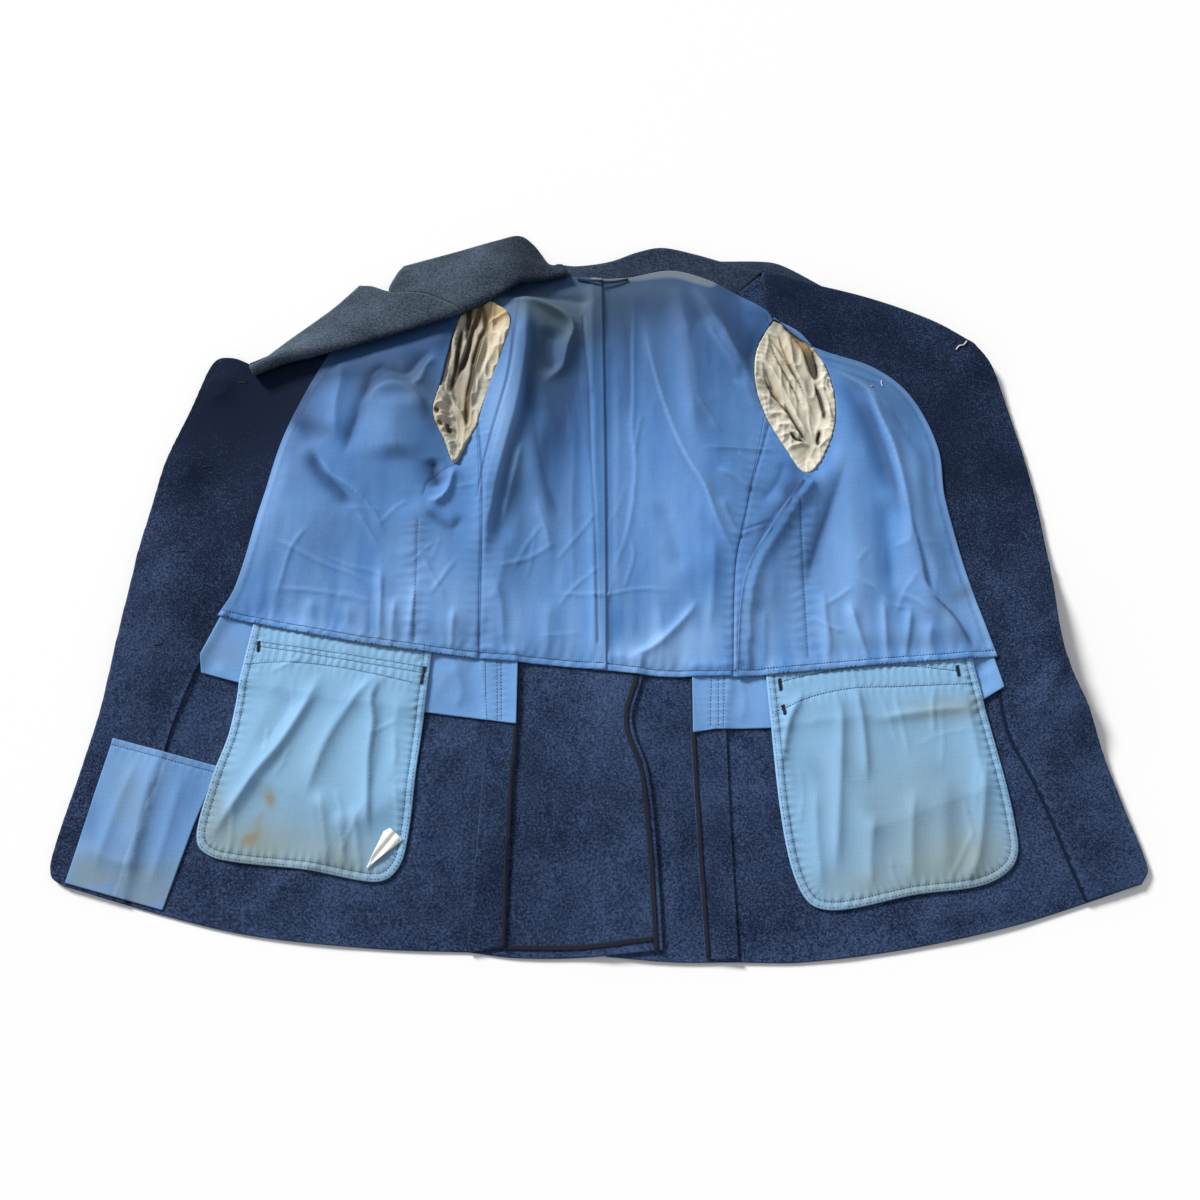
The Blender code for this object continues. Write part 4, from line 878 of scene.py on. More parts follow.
def add_values(mesh, **fields):
    """Named values at the mesh's places, for its materials."""
    for name, values in fields.items():
        layer = mesh.attributes.new(name, "FLOAT", "POINT")
        layer.data.foreach_set("value", np.asarray(values, np.float32))


def face_outward(mesh):
    """Turn all faces of a closed mesh outward."""
    work = bmesh.new()
    work.from_mesh(mesh)
    bmesh.ops.recalc_face_normals(work, faces=work.faces)
    work.to_mesh(mesh)
    work.free()


def put(name, mesh, finish, slot, replaced=()):
    """Object of a finished mesh, with its material, hiding the solids it stands for; the slot is
    not used.
    """
    piece = bpy.data.objects.new(name, mesh)
    bpy.context.scene.collection.objects.link(piece)
    mesh.materials.append(finish)
    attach(piece, "root")
    if replaced:
        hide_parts(*replaced)
    return piece


def sheet_mesh(name, plan, triangles, low, thickness, fields):
    """Closed cloth: its lower places, the same places moved up by the thickness, and a
    round edge whose middle stands out by a third of the thickness."""
    count = len(plan)
    ends = np.concatenate([triangles[:, [0, 1]], triangles[:, [1, 2]], triangles[:, [2, 0]]])
    forward = ends[:, 0] * count + ends[:, 1]
    rim = ends[~np.isin(forward, ends[:, 1] * count + ends[:, 0])]
    run = plan[rim[:, 1]] - plan[rim[:, 0]]
    outward = np.zeros((count, 2))
    np.add.at(outward, rim[:, 0], np.column_stack([run[:, 1], -run[:, 0]]))
    np.add.at(outward, rim[:, 1], np.column_stack([run[:, 1], -run[:, 0]]))
    used = np.unique(rim)
    number = np.zeros(count, int)
    number[used] = np.arange(len(used)) + 2 * count
    out = outward[used] / np.maximum(np.linalg.norm(outward[used], axis=1), 1e-9)[:, None]
    middle = plan[used] + out * thickness * LAID_EDGE
    points = np.vstack([np.column_stack([plan, low]),
                        np.column_stack([plan, low + thickness]),
                        np.column_stack([middle, low[used] + thickness / 2])]) + OFFSET
    a, b = rim[:, 0], rim[:, 1]
    rims = np.vstack([np.column_stack([a, b, number[b], number[a]]),
                      np.column_stack([number[a], number[b], b + count, a + count])])
    mesh = mesh_of(name, points, triangles[:, ::-1], triangles + count, rims)
    add_values(mesh, **{key: np.concatenate([value, value, value[used]])
                        for key, value in fields.items()})
    return mesh


def flat_cut(outline):
    """Width and length of the smallest upright or turned rectangle round a cut, and its
    area. A long bent strip gives its mean width and its length along the bend."""
    area = abs(area_of(outline))
    best = None
    for turn in np.radians(np.arange(0, 90, 5)):
        axes = np.array([[math.cos(turn), -math.sin(turn)], [math.sin(turn), math.cos(turn)]])
        size = np.ptp(outline @ axes, axis=0)
        if best is None or size.prod() < best.prod():
            best = size
    if area < 0.32 * best.prod():
        ring = np.vstack([outline, outline[:1]])
        length = length_of(ring) / 2
        best = np.array([area / length * 1.02, length])
    best = np.maximum(np.sort(best), LEAST_FLAT)
    return (round(float(best[0]), 4), round(float(best[1]), 4)), round(area, 6)


def lay(thickness, finish, slot, pieces, relief=None, floor=False, softness=14, step=None,
        seams=(), fields=None):
    """Lay cloths side by side on what is there, and leave their height on the surface."""
    surface = SURFACE
    step = step or bpy.context.scene.tunic_sizes.net
    masks = {name: surface.mask(loop) for name, loop in pieces.items()}
    union = np.any(list(masks.values()), axis=0)
    wide = blur(blur(union.astype(float))) > 1e-4
    low = surface.drape(wide, softness, 0.0 if floor else surface.rise)
    extra = np.zeros(surface.shape)
    if relief is not None:
        extra[wide] = relief(surface.points[wide.ravel()])
    for name, loop in pieces.items():
        plan, triangles = cut(loop, step, [seam for seam in seams if len(seam)])
        base = surface.at(low, plan)
        if relief is not None:
            base = base + relief(plan)
        away = nearest(plan, np.vstack([loop, loop[:1]]))[0]
        values = {"edge": away}
        if fields is not None:
            values.update(fields(plan))
        mesh = sheet_mesh(name, plan, triangles, base, thickness, values)
        piece = put(name + "_cloth", mesh, finish, slot, [name])
        flat, area = flat_cut(loop)
        area = min(area, flat[0] * flat[1])
    surface.low = low + extra
    surface.top = np.where(union, low + extra + thickness, surface.top)


def reserve(loop, thickness):
    """Keep room on the surface for something that lies there."""
    mask = SURFACE.mask(loop)
    SURFACE.top = np.where(mask, SURFACE.top + GAP + thickness, SURFACE.top)


def grid_mesh(name, rows, thickness, **fields):
    """Closed sheet about a grid of places, half its thickness to each side along the
    grid's normal, with a round edge."""
    middle = np.array(rows, float)
    across, along = middle.shape[:2]
    normal = np.cross(np.gradient(middle, axis=1), np.gradient(middle, axis=0))
    normal /= np.maximum(np.linalg.norm(normal, axis=2), 1e-12)[..., None]
    upper = (middle + normal * thickness / 2).reshape(-1, 3)
    lower = (middle - normal * thickness / 2).reshape(-1, 3)
    number = np.arange(across * along).reshape(across, along)
    quads = np.column_stack([number[:-1, :-1].ravel(), number[:-1, 1:].ravel(),
                             number[1:, 1:].ravel(), number[1:, :-1].ravel()])
    ring = np.concatenate([number[0, :-1], number[:-1, -1], number[-1, :0:-1],
                           number[:0:-1, 0]])
    inner = np.concatenate([number[1, :-1], number[:-1, -2], number[-2, :0:-1],
                            number[:0:-1, 1]])
    flat = middle.reshape(-1, 3)
    out = flat[ring] - flat[inner]
    out /= np.maximum(np.linalg.norm(out, axis=1), 1e-12)[:, None]
    rim = flat[ring] + out * thickness * ROLLED_EDGE
    total = across * along
    mids = np.arange(len(ring)) + 2 * total
    ahead, mids_ahead = np.roll(ring, -1), np.roll(mids, -1)
    points = np.vstack([upper, lower, rim]) + OFFSET
    mesh = mesh_of(name, points, quads, quads[:, ::-1] + total,
                   np.column_stack([ahead, ring, mids, mids_ahead]),
                   np.column_stack([mids_ahead, mids, ring + total, ahead + total]))
    face_outward(mesh)
    step_v = np.linalg.norm(np.diff(middle, axis=0), axis=2)
    step_u = np.linalg.norm(np.diff(middle, axis=1), axis=2)
    run_v = np.vstack([np.zeros((1, along)), np.cumsum(step_v, axis=0)])
    run_u = np.hstack([np.zeros((across, 1)), np.cumsum(step_u, axis=1)])
    edge = np.minimum(np.minimum(run_v, run_v[-1] - run_v),
                      np.minimum(run_u, run_u[:, -1:] - run_u)).ravel()
    values = {"edge": edge, **{key: np.asarray(value).ravel() for key, value in fields.items()}}
    add_values(mesh, **{key: np.concatenate([value, value, value[ring]])
                        for key, value in values.items()})
    size = (round(float(run_v[-1].max()), 4), round(float(run_u[:, -1].max()), 4))
    cell = np.linalg.norm(np.cross(np.diff(middle[:-1], axis=1),
                                   np.diff(middle[:, :-1], axis=0)), axis=2)
    return mesh, size, float(cell.sum())


def grid_sheet(name, rows, thickness, finish, slot, replaced, held, rests_on, **fields):
    """Rolled or narrow cloth from a grid of places; its unrolled size and area are worked out but
    not used.
    """
    mesh, size, area = grid_mesh(name, rows, thickness, **fields)
    piece = put(name + "_cloth", mesh, finish, slot, replaced)
    size = (max(size[0], LEAST_FLAT), max(size[1], LEAST_FLAT))
    area = min(max(area, 0.31 * size[0] * size[1]), size[0] * size[1])
    return piece


def coons(low, high, left, right, across):
    """Grid between four edges: straight blends both ways less the blend of corners."""
    count = len(low)
    low, high = spaced(low, count), spaced(high, count)
    left, right = spaced(left, across), spaced(right, across)
    t = np.linspace(0, 1, count)[None, :, None]
    s = np.linspace(0, 1, across)[:, None, None]
    rails = (1 - s) * low[None] + s * high[None]
    ribs = (1 - t) * left[:, None] + t * right[:, None]
    corners = ((1 - s) * ((1 - t) * low[0] + t * low[-1])
               + s * ((1 - t) * high[0] + t * high[-1]))
    return rails + ribs - corners


def standing_rows(roll, edge, left, right, across, crest, half):
    """Rows of a lapel or collar that stands in a soft roll.

    The cloth starts on what lies below the roll, turns up along half a circle, and then
    falls to its free edge by a power of the share of the way."""
    patch = coons(roll, edge, left, right, across)
    line = patch[0]
    inward = left_of(line)
    reach = [SURFACE.over(line + inward * d) for d in (-0.02, -0.01, 0.0, 0.008, 0.015)]
    foot = np.maximum(np.max(reach, axis=0), 0.002) + 3 * GAP + half
    for _ in range(40):
        foot[1:-1] = np.maximum(foot[1:-1], (foot[:-2] + 2 * foot[1:-1] + foot[2:]) / 4)
    crest = np.maximum(crest, foot + 0.0050)
    radius = (crest - foot) / 2
    rows = []
    for away in (0.012, 0.008, 0.004):
        rows.append(np.column_stack([line + inward * away, foot]))
    for turn in np.radians(np.linspace(-82, 50, 13)):
        plan = line - inward * (radius * math.cos(turn))[:, None]
        rows.append(np.column_stack([plan, foot + radius * (1 + math.sin(turn))]))
    wave = noise(patch.reshape(-1, 2), 0.05, 0.03, 11).reshape(patch.shape[:2]) * 0.0008
    for index in range(1, across):
        s = index / (across - 1)
        fall = crest * (1 - s**1.6) + half * s**1.6 + wave[index] * math.sin(math.pi * s)
        below = SURFACE.over(patch[index])
        rows.append(np.column_stack([patch[index], np.maximum(fall, below + 3 * GAP + half)]))
    return rows


def tucked_rows(fold, upper, width, height, half):
    """Rows of a collar or lapel that turns down at its fold line and lies below the body:
    a flat part, half a circle round the fold, and a flat part back to the seam."""
    inward = -left_of(fold)
    radius = (height - half) / 2
    rows = []
    for share in np.linspace(1, 0.06, 12):
        plan = fold + inward * (radius + share * width)[:, None]
        rows.append(np.column_stack([plan, np.full(len(fold), half)]))
    for turn in np.radians(np.linspace(-90, 90, 15)):
        plan = fold + inward * (radius * (1 - math.cos(turn)))[:, None]
        rows.append(np.column_stack([plan, half + radius * (1 + math.sin(turn))]))
    start = fold + inward * radius[:, None]
    for share in np.linspace(0.08, 1, 12):
        rows.append(np.column_stack([start * (1 - share) + upper * share, height]))
    return rows[::-1]


def spindles(lines):
    """Rows of stitches as one mesh: each stitch is a thin spindle with four sides, from
    one hole to the next, tilted with the cloth. A row gives its line, the length of a
    stitch, the gap to the next, its radius, and the lean that turns it from the row."""
    blocks = []
    for line, length, gap, radius, lean in lines:
        marks = even(line, length + gap)
        centre = (marks[1:] + marks[:-1]) / 2
        along = marks[1:] - marks[:-1]
        along /= np.maximum(np.linalg.norm(along, axis=1), 1e-9)[:, None]
        angle = math.radians(lean)
        turned = np.column_stack([along[:, 0] * math.cos(angle) - along[:, 1] * math.sin(angle),
                                  along[:, 0] * math.sin(angle) + along[:, 1] * math.cos(angle)])
        start = centre - turned * length / 2
        end = centre + turned * length / 2
        z0, z1 = SURFACE.over(start), SURFACE.over(end)
        z_middle = np.maximum(SURFACE.over(centre), (z0 + z1) / 2)
        side = np.column_stack([-turned[:, 1], turned[:, 0]])
        rings = []
        for t in (0.28, 0.72):
            spot = start * (1 - t) + end * t
            height = z_middle * 0.7 + (z0 * (1 - t) + z1 * t) * 0.3 + radius * 0.5
            for dx, dz in ((1, 0), (0, 1), (-1, 0), (0, -1)):
                rings.append(np.column_stack([spot + side * dx * radius,
                                              height + dz * radius]))
        first = np.column_stack([start, z0 - radius * 0.3])
        last = np.column_stack([end, z1 - radius * 0.3])
        blocks.append(np.stack([first, *rings, last], axis=1))
    points = np.concatenate(blocks)
    base = (np.arange(len(points)) * 10)[:, None]
    tips = np.array([(0, 2, 1), (0, 3, 2), (0, 4, 3), (0, 1, 4),
                     (9, 5, 6), (9, 6, 7), (9, 7, 8), (9, 8, 5)])
    sides = np.array([(1, 2, 6, 5), (2, 3, 7, 6), (3, 4, 8, 7), (4, 1, 5, 8)])
    triangles = (base[:, :, None] + tips[None]).reshape(-1, 3)
    quads = (base[:, :, None] + sides[None]).reshape(-1, 4)
    return points.reshape(-1, 3) + OFFSET, triangles, quads


def stitch_rows(name, finish, slot, lines):
    """Piece made of all the stitch rows of one thread."""
    points, triangles, quads = spindles(lines)
    mesh = mesh_of(name, points, triangles, quads)
    face_outward(mesh)
    return put(name, mesh, finish, slot)


def tube(path, radius, sides=7):
    """Places and quads of a round thread along a path, closed by drawing both ends in."""
    path = np.asarray(path, float)
    path = np.vstack([path[:1], path, path[-1:]])
    radii = np.full(len(path), radius)
    radii[[0, -1]] = radius * 0.08
    along = np.gradient(path, axis=0)
    along /= np.maximum(np.linalg.norm(along, axis=1), 1e-12)[:, None]
    side = np.cross(along, [0.0, 0.0, 1.0])
    side /= np.maximum(np.linalg.norm(side, axis=1), 1e-9)[:, None]
    up = np.cross(side, along)
    turns = np.linspace(0, 2 * math.pi, sides, endpoint=False)
    ring = (side[:, None] * np.cos(turns)[None, :, None]
            + up[:, None] * np.sin(turns)[None, :, None])
    points = (path[:, None] + ring * radii[:, None, None]).reshape(-1, 3)
    number = np.arange(len(path) * sides).reshape(len(path), sides)
    ahead = np.roll(number, -1, axis=1)
    quads = np.column_stack([number[:-1].ravel(), ahead[:-1].ravel(),
                             ahead[1:].ravel(), number[1:].ravel()])
    return points, quads


def threads(name, finish, slot, paths):
    """Piece of loose or worked threads: tubes along paths of places in metres."""
    points, quads, count = [], [], 0
    for path, radius in paths:
        some, faces = tube(path, radius)
        points.append(some)
        quads.append(faces + count)
        count += len(some)
    mesh = mesh_of(name, np.vstack(points) + OFFSET, np.vstack(quads))
    face_outward(mesh)
    return put(name, mesh, finish, slot)


def node(tree, kind, inputs=None, **settings):
    """Shader node with its settings and inputs: a socket is linked, a value is set."""
    made = tree.nodes.new(kind)
    for key, value in settings.items():
        setattr(made, key, value)
    for key, value in (inputs or {}).items():
        socket = made.inputs[key]
        if isinstance(value, bpy.types.NodeSocket):
            tree.links.new(value, socket)
        else:
            socket.default_value = value
    return made


def blend(tree, share, low, high):
    """Mix of two colours."""
    made = node(tree, "ShaderNodeMix", {0: share, 6: low, 7: high}, data_type="RGBA")
    return made.outputs[2]


def maths(tree, operation, *values):
    """Result of one sum on numbers or sockets."""
    made = node(tree, "ShaderNodeMath", dict(enumerate(values)), operation=operation)
    return made.outputs[0]


def field_noise(tree, vector, scale, detail=2.0, rough=0.5):
    """Noise value of a place."""
    made = node(tree, "ShaderNodeTexNoise",
                {"Vector": vector, "Scale": scale, "Detail": detail, "Roughness": rough})
    return made.outputs["Fac"]


def stretched(tree, vector, scale):
    """Places squeezed by a scale along each axis."""
    return node(tree, "ShaderNodeMapping", {"Vector": vector, "Scale": scale}).outputs[0]


def clamped(tree, value, high):
    """Number kept from 0 to a highest value."""
    return maths(tree, "MINIMUM", maths(tree, "MAXIMUM", value, 0.0), high)


def painted(tree, name):
    """Value that the mesh carries at its places under a name."""
    return node(tree, "ShaderNodeAttribute", attribute_name=name).outputs["Fac"]


def rgba(colour):
    """Colour with full cover."""
    return (*colour, 1.0)


def new_group(name, takes, gives):
    """Empty node group with named inputs and outputs."""
    tree = bpy.data.node_groups.new(name, "ShaderNodeTree")
    for label, kind, value in takes:
        socket = tree.interface.new_socket(label, in_out="INPUT", socket_type=kind)
        if value is not None:
            socket.default_value = value
    for label, kind in gives:
        tree.interface.new_socket(label, in_out="OUTPUT", socket_type=kind)
    return tree, tree.nodes.new("NodeGroupInput"), tree.nodes.new("NodeGroupOutput")


def twill_group():
    """Twill weave: a sine across slanted ribs, crossed by a finer one along the thread."""
    found = bpy.data.node_groups.get("Twill weave")
    if found:
        return found
    tree, takes, gives = new_group(
        "Twill weave",
        [("Vector", "NodeSocketVector", None), ("Pitch", "NodeSocketFloat", 0.0019),
         ("Slant", "NodeSocketFloat", 1.0)],
        [("Height", "NodeSocketFloat")])
    parts = node(tree, "ShaderNodeSeparateXYZ", {0: takes.outputs["Vector"]})
    leaned = maths(tree, "MULTIPLY", parts.outputs[0], takes.outputs["Slant"])
    across = maths(tree, "ADD", leaned, parts.outputs[1])
    turns = maths(tree, "DIVIDE", across, takes.outputs["Pitch"])
    ribs = maths(tree, "SINE", maths(tree, "MULTIPLY", turns, 2 * math.pi))
    fine = maths(tree, "DIVIDE", parts.outputs[0], takes.outputs["Pitch"])
    picks = maths(tree, "SINE", maths(tree, "MULTIPLY", fine, 4 * math.pi))
    both = maths(tree, "MULTIPLY_ADD", picks, 0.35, ribs)
    height = maths(tree, "MULTIPLY_ADD", both, 0.37, 0.5)
    tree.links.new(height, gives.inputs["Height"])
    return tree


def wool_group():
    """Heather wool: dark and light fibres mixed by fine noise, in soft clouds, with worn light
    edges, fewer light fibres where the mesh carries painted shade, and a twill below a milled
    surface."""
    found = bpy.data.node_groups.get("Heather wool")
    if found:
        return found
    tree, takes, gives = new_group(
        "Heather wool",
        [("Vector", "NodeSocketVector", None), ("Dark", "NodeSocketColor", (0, 0, 0, 1)),
         ("Light", "NodeSocketColor", (1, 1, 1, 1)), ("Twill", "NodeSocketFloat", 0.3),
         ("Edge wear", "NodeSocketFloat", 0.3), ("Share", "NodeSocketFloat", 0.5)],
        [("Colour", "NodeSocketColor"), ("Height", "NodeSocketFloat"),
         ("Roughness", "NodeSocketFloat")])
    place = takes.outputs["Vector"]
    fibre = field_noise(tree, place, 1100.0, 3.0, 0.75)
    fleck = field_noise(tree, place, 560.0, 2.0, 0.6)
    cloud = field_noise(tree, place, 26.0, 4.0, 0.6)
    big = field_noise(tree, place, 5.0, 2.0, 0.5)
    mottle = field_noise(tree, place, 150.0, 3.0, 0.6)
    twill = node(tree, "ShaderNodeGroup", None, node_tree=twill_group())
    tree.links.new(place, twill.inputs["Vector"])
    mixed = maths(tree, "ADD", maths(tree, "MULTIPLY", fibre, 0.9),
                  maths(tree, "MULTIPLY", fleck, 0.9))
    for spread, strength in ((cloud, 0.3), (big, 0.35), (mottle, 0.13)):
        spread = maths(tree, "SUBTRACT", spread, 0.5)
        mixed = maths(tree, "MULTIPLY_ADD", spread, strength, mixed)
    ribs = maths(tree, "MULTIPLY", maths(tree, "SUBTRACT", twill.outputs[0], 0.5),
                 takes.outputs["Twill"])
    mixed = maths(tree, "ADD", mixed, ribs)
    mixed = maths(tree, "SUBTRACT", mixed, 0.9)
    share = maths(tree, "MULTIPLY_ADD", mixed, 3.1, takes.outputs["Share"])
    # Painted shade, carried by the mesh, lowers the share of light fibres.
    share = maths(tree, "SUBTRACT", share, painted(tree, "deep"))
    worn = node(tree, "ShaderNodeMapRange",
                {"Value": painted(tree, "edge"), "From Min": 0.0, "From Max": 0.005,
                 "To Min": 1.0, "To Max": 0.0})
    worn = maths(tree, "MULTIPLY", worn.outputs[0], takes.outputs["Edge wear"])
    share = clamped(tree, maths(tree, "ADD", share, worn), 1.0)
    colour = blend(tree, share, takes.outputs["Dark"], takes.outputs["Light"])
    tree.links.new(colour, gives.inputs["Colour"])
    height = maths(tree, "MULTIPLY_ADD", twill.outputs[0], takes.outputs["Twill"], fibre)
    tree.links.new(maths(tree, "ADD", height, fleck), gives.inputs["Height"])
    tree.links.new(maths(tree, "MULTIPLY_ADD", fleck, 0.15, 0.82), gives.inputs["Roughness"])
    return tree


def cotton_group():
    """Worn cotton with painted light: thread streaks both ways, pale where it is worn and, as
    painted highlight, on crests, greyed and soiled by named patches, darkened towards a darker
    copy of its colour by painted shade and dark lines, with a fine weave and small creases."""
    found = bpy.data.node_groups.get("Worn cotton with painted light")
    if found:
        return found
    tree, takes, gives = new_group(
        "Worn cotton with painted light",
        [("Vector", "NodeSocketVector", None), ("Colour", "NodeSocketColor", (0, 0, 1, 1)),
         ("Pale", "NodeSocketColor", (1, 1, 1, 1)), ("Grey", "NodeSocketColor", (0, 0, 0, 1)),
         ("Soil", "NodeSocketColor", (0, 0, 0, 1)), ("Deep", "NodeSocketColor", (0, 0, 0, 1)),
         ("Streaks", "NodeSocketFloat", 0.2),
         ("Creases", "NodeSocketFloat", 0.5)],
        [("Colour", "NodeSocketColor"), ("Height", "NodeSocketFloat"),
         ("Roughness", "NodeSocketFloat")])
    place = takes.outputs["Vector"]
    warp = field_noise(tree, stretched(tree, place, (620.0, 70.0, 70.0)), 1.0, 3.0, 0.7)
    weft = field_noise(tree, stretched(tree, place, (70.0, 620.0, 70.0)), 1.0, 3.0, 0.7)
    cloud = field_noise(tree, stretched(tree, place, (22.0, 12.0, 12.0)), 1.0, 4.0, 0.6)
    blot = field_noise(tree, place, 60.0, 4.0, 0.65)
    wander = field_noise(tree, stretched(tree, place, (34.0, 15.0, 15.0)), 1.0, 1.0)
    across = field_noise(tree, stretched(tree, place, (15.0, 38.0, 15.0)), 1.3, 1.0)
    lines = maths(tree, "MINIMUM", maths(tree, "ABSOLUTE", maths(tree, "SUBTRACT", wander, 0.5)),
                  maths(tree, "ABSOLUTE", maths(tree, "SUBTRACT", across, 0.44)))
    crease = node(tree, "ShaderNodeMapRange",
                  {"Value": lines, "From Min": 0.0, "From Max": 0.014,
                   "To Min": 1.0, "To Max": 0.0}, interpolation_type="SMOOTHSTEP")
    crease = maths(tree, "MULTIPLY", crease.outputs[0],
                   maths(tree, "MULTIPLY", maths(tree, "MULTIPLY", blot, blot), 2.2))
    threads_seen = maths(tree, "SUBTRACT", maths(tree, "ADD", warp, weft), 1.0)
    # The pale value carries worn patches, and painted highlight on the crests of folds.
    lightness = maths(tree, "MULTIPLY_ADD", threads_seen, takes.outputs["Streaks"],
                      painted(tree, "pale"))
    lightness = maths(tree, "MULTIPLY_ADD", maths(tree, "SUBTRACT", cloud, 0.5), 0.5, lightness)
    paler = maths(tree, "MULTIPLY", takes.outputs["Creases"], 0.18)
    lightness = clamped(tree, maths(tree, "MULTIPLY_ADD", crease, paler, lightness), 1.0)
    colour = blend(tree, lightness, takes.outputs["Colour"], takes.outputs["Pale"])
    # Painted shade: the colour goes towards its darker copy where the mesh carries shade and dark
    # lines.
    deep = clamped(tree, painted(tree, "deep"), 0.9)
    colour = blend(tree, deep, colour, takes.outputs["Deep"])
    colour = blend(tree, painted(tree, "bare"), colour, (0.300, 0.325, 0.300, 1.0))
    greyed = maths(tree, "MULTIPLY", painted(tree, "grey"),
                   maths(tree, "MULTIPLY_ADD", cloud, 0.8, 0.6))
    greyed = maths(tree, "MINIMUM", greyed, 0.96)
    colour = blend(tree, greyed, colour, takes.outputs["Grey"])
    spots = maths(tree, "MULTIPLY", painted(tree, "soil"),
                  maths(tree, "MULTIPLY_ADD", blot, 1.2, 0.4))
    spots = maths(tree, "MINIMUM", spots, 0.8)
    colour = blend(tree, spots, colour, takes.outputs["Soil"])
    tree.links.new(colour, gives.inputs["Colour"])
    weave = maths(tree, "MULTIPLY", maths(tree, "ADD", warp, weft), 0.35)
    height = maths(tree, "MULTIPLY_ADD", crease, takes.outputs["Creases"], weave)
    tree.links.new(height, gives.inputs["Height"])
    tree.links.new(maths(tree, "MULTIPLY_ADD", blot, 0.2, 0.62), gives.inputs["Roughness"])
    return tree


def new_material(name):
    """New material with its tree, its shader and the place in its object's space."""
    made = bpy.data.materials.new(name)
    made.use_nodes = True
    tree = made.node_tree
    place = node(tree, "ShaderNodeTexCoord").outputs["Object"]
    return made, tree, tree.nodes["Principled BSDF"], place


def finish(name, group, values, bump, sheen=0.0, sheen_rough=0.5, specular=0.3):
    """Material whose colour, height and roughness come from a group, with the shader's
    even numbers on its own sockets."""
    found = bpy.data.materials.get(name)
    if found:
        return found
    made, tree, shader, place = new_material(name)
    shader.inputs["Specular IOR Level"].default_value = specular
    shader.inputs["Sheen Weight"].default_value = sheen
    shader.inputs["Sheen Roughness"].default_value = sheen_rough
    work = node(tree, "ShaderNodeGroup", None, node_tree=group)
    tree.links.new(place, work.inputs["Vector"])
    for key, value in values.items():
        work.inputs[key].default_value = value
    relief = node(tree, "ShaderNodeBump",
                  {"Height": work.outputs["Height"], "Distance": bump, "Strength": 0.8})
    tree.links.new(work.outputs["Colour"], shader.inputs["Base Color"])
    tree.links.new(work.outputs["Roughness"], shader.inputs["Roughness"])
    tree.links.new(relief.outputs[0], shader.inputs["Normal"])
    return made


def wool(worn=False, half=False):
    """Wool of the body, its worn lighter side, partly painted light where lapel and collar face
    up, or the collar's half worn side.
    """
    colours = bpy.context.scene.tunic_colours
    dark = colours.worn_and_lit_dark if worn else colours.wool_dark
    light = colours.worn_and_lit_light if worn else colours.wool_light
    name = "worn and lit wool" if worn else "heather wool"
    if half:
        name = "half worn and lit wool"
        dark = tuple((np.array(colours.worn_and_lit_dark) + 2 * np.array(colours.wool_dark)) / 3)
        light = tuple((np.array(colours.worn_and_lit_light) + np.array(colours.wool_light)) / 2.6)
    plain_twill = 0.45 if half else 0.14
    return finish(name, wool_group(),
                  {"Dark": rgba(dark), "Light": rgba(light),
                   "Twill": 0.55 if worn else plain_twill,
                   "Edge wear": 0.25 if worn else 0.12, "Share": 0.42 if worn else 0.40},
                  0.0005, sheen=0.015, sheen_rough=0.5, specular=0.05)


def cotton(name, colour, streaks=0.25, creases=0.5, bump=0.0005, grey=None, soil=None):
    """Cotton of one colour, with the lining's pale, grey and soiled tones."""
    colours = bpy.context.scene.tunic_colours
    pale = np.array(colour) * 0.45 + np.array(colours.lining_pale) * 0.55
    if name == "striped sleeve cotton":
        pale = np.array(colour) * 1.25
    return finish(name, cotton_group(),
                  {"Colour": rgba(colour), "Pale": rgba(tuple(np.minimum(pale, 1.0))),
                   "Grey": rgba(grey or colours.lining_grey), "Soil": rgba(soil or colours.soil),
                   # A darker copy of the colour, towards which painted shade blends.
                   "Deep": rgba(tuple(np.array(colour) * (0.22, 0.26, 0.32))),
                   "Streaks": streaks, "Creases": creases},
                  bump, sheen=0.05, specular=0.2)


def thread_finish(name, colour):
    """Sewing thread: its twist is a fine slanted rib."""
    found = bpy.data.materials.get(name)
    if found:
        return found
    made, tree, shader, place = new_material(name)
    twist = node(tree, "ShaderNodeGroup", None, node_tree=twill_group())
    tree.links.new(place, twist.inputs["Vector"])
    twist.inputs["Pitch"].default_value = 0.0005
    dark = tuple(0.6 * part for part in colour)
    colour = blend(tree, twist.outputs[0], rgba(dark), rgba(colour))
    tree.links.new(colour, shader.inputs["Base Color"])
    shader.inputs["Roughness"].default_value = 0.7
    shader.inputs["Specular IOR Level"].default_value = 0.3
    relief = node(tree, "ShaderNodeBump", {"Height": twist.outputs[0], "Distance": 0.0001})
    tree.links.new(relief.outputs[0], shader.inputs["Normal"])
    return made


def brass_finish():
    """Dull brass: slow colour clouds, and fine scratches in its roughness."""
    made, tree, shader, place = new_material("dull brass")
    cloud = field_noise(tree, place, 260.0, 4.0)
    brass = bpy.context.scene.tunic_colours.brass
    colour = blend(tree, cloud, rgba(tuple(0.45 * part for part in brass)), rgba(brass))
    tree.links.new(colour, shader.inputs["Base Color"])
    scratch = field_noise(tree, stretched(tree, place, (900.0, 90.0, 90.0)), 1.0)
    rough = maths(tree, "MULTIPLY_ADD", scratch, 0.3, 0.25)
    tree.links.new(rough, shader.inputs["Roughness"])
    shader.inputs["Metallic"].default_value = 1.0
    return made


def plain_fields(points):
    """Even cotton, with soft random wear."""
    return {"pale": 0.12 + 0.1 * noise(points, 0.05, 0.07, 31),
            "grey": np.zeros(len(points)),
            "soil": np.zeros(len(points))}


def wool_relief(points):
    """Soft unevenness of the wool, never below its rest, with its named folds."""
    soft = 0.5 + 0.5 * noise(points, 0.075, 0.095, 3)
    fine = 0.5 + 0.5 * noise(points, 0.028, 0.034, 4)
    return 0.0012 * soft + 0.0005 * fine + np.maximum(folds(points, WOOL_FOLDS), 0)


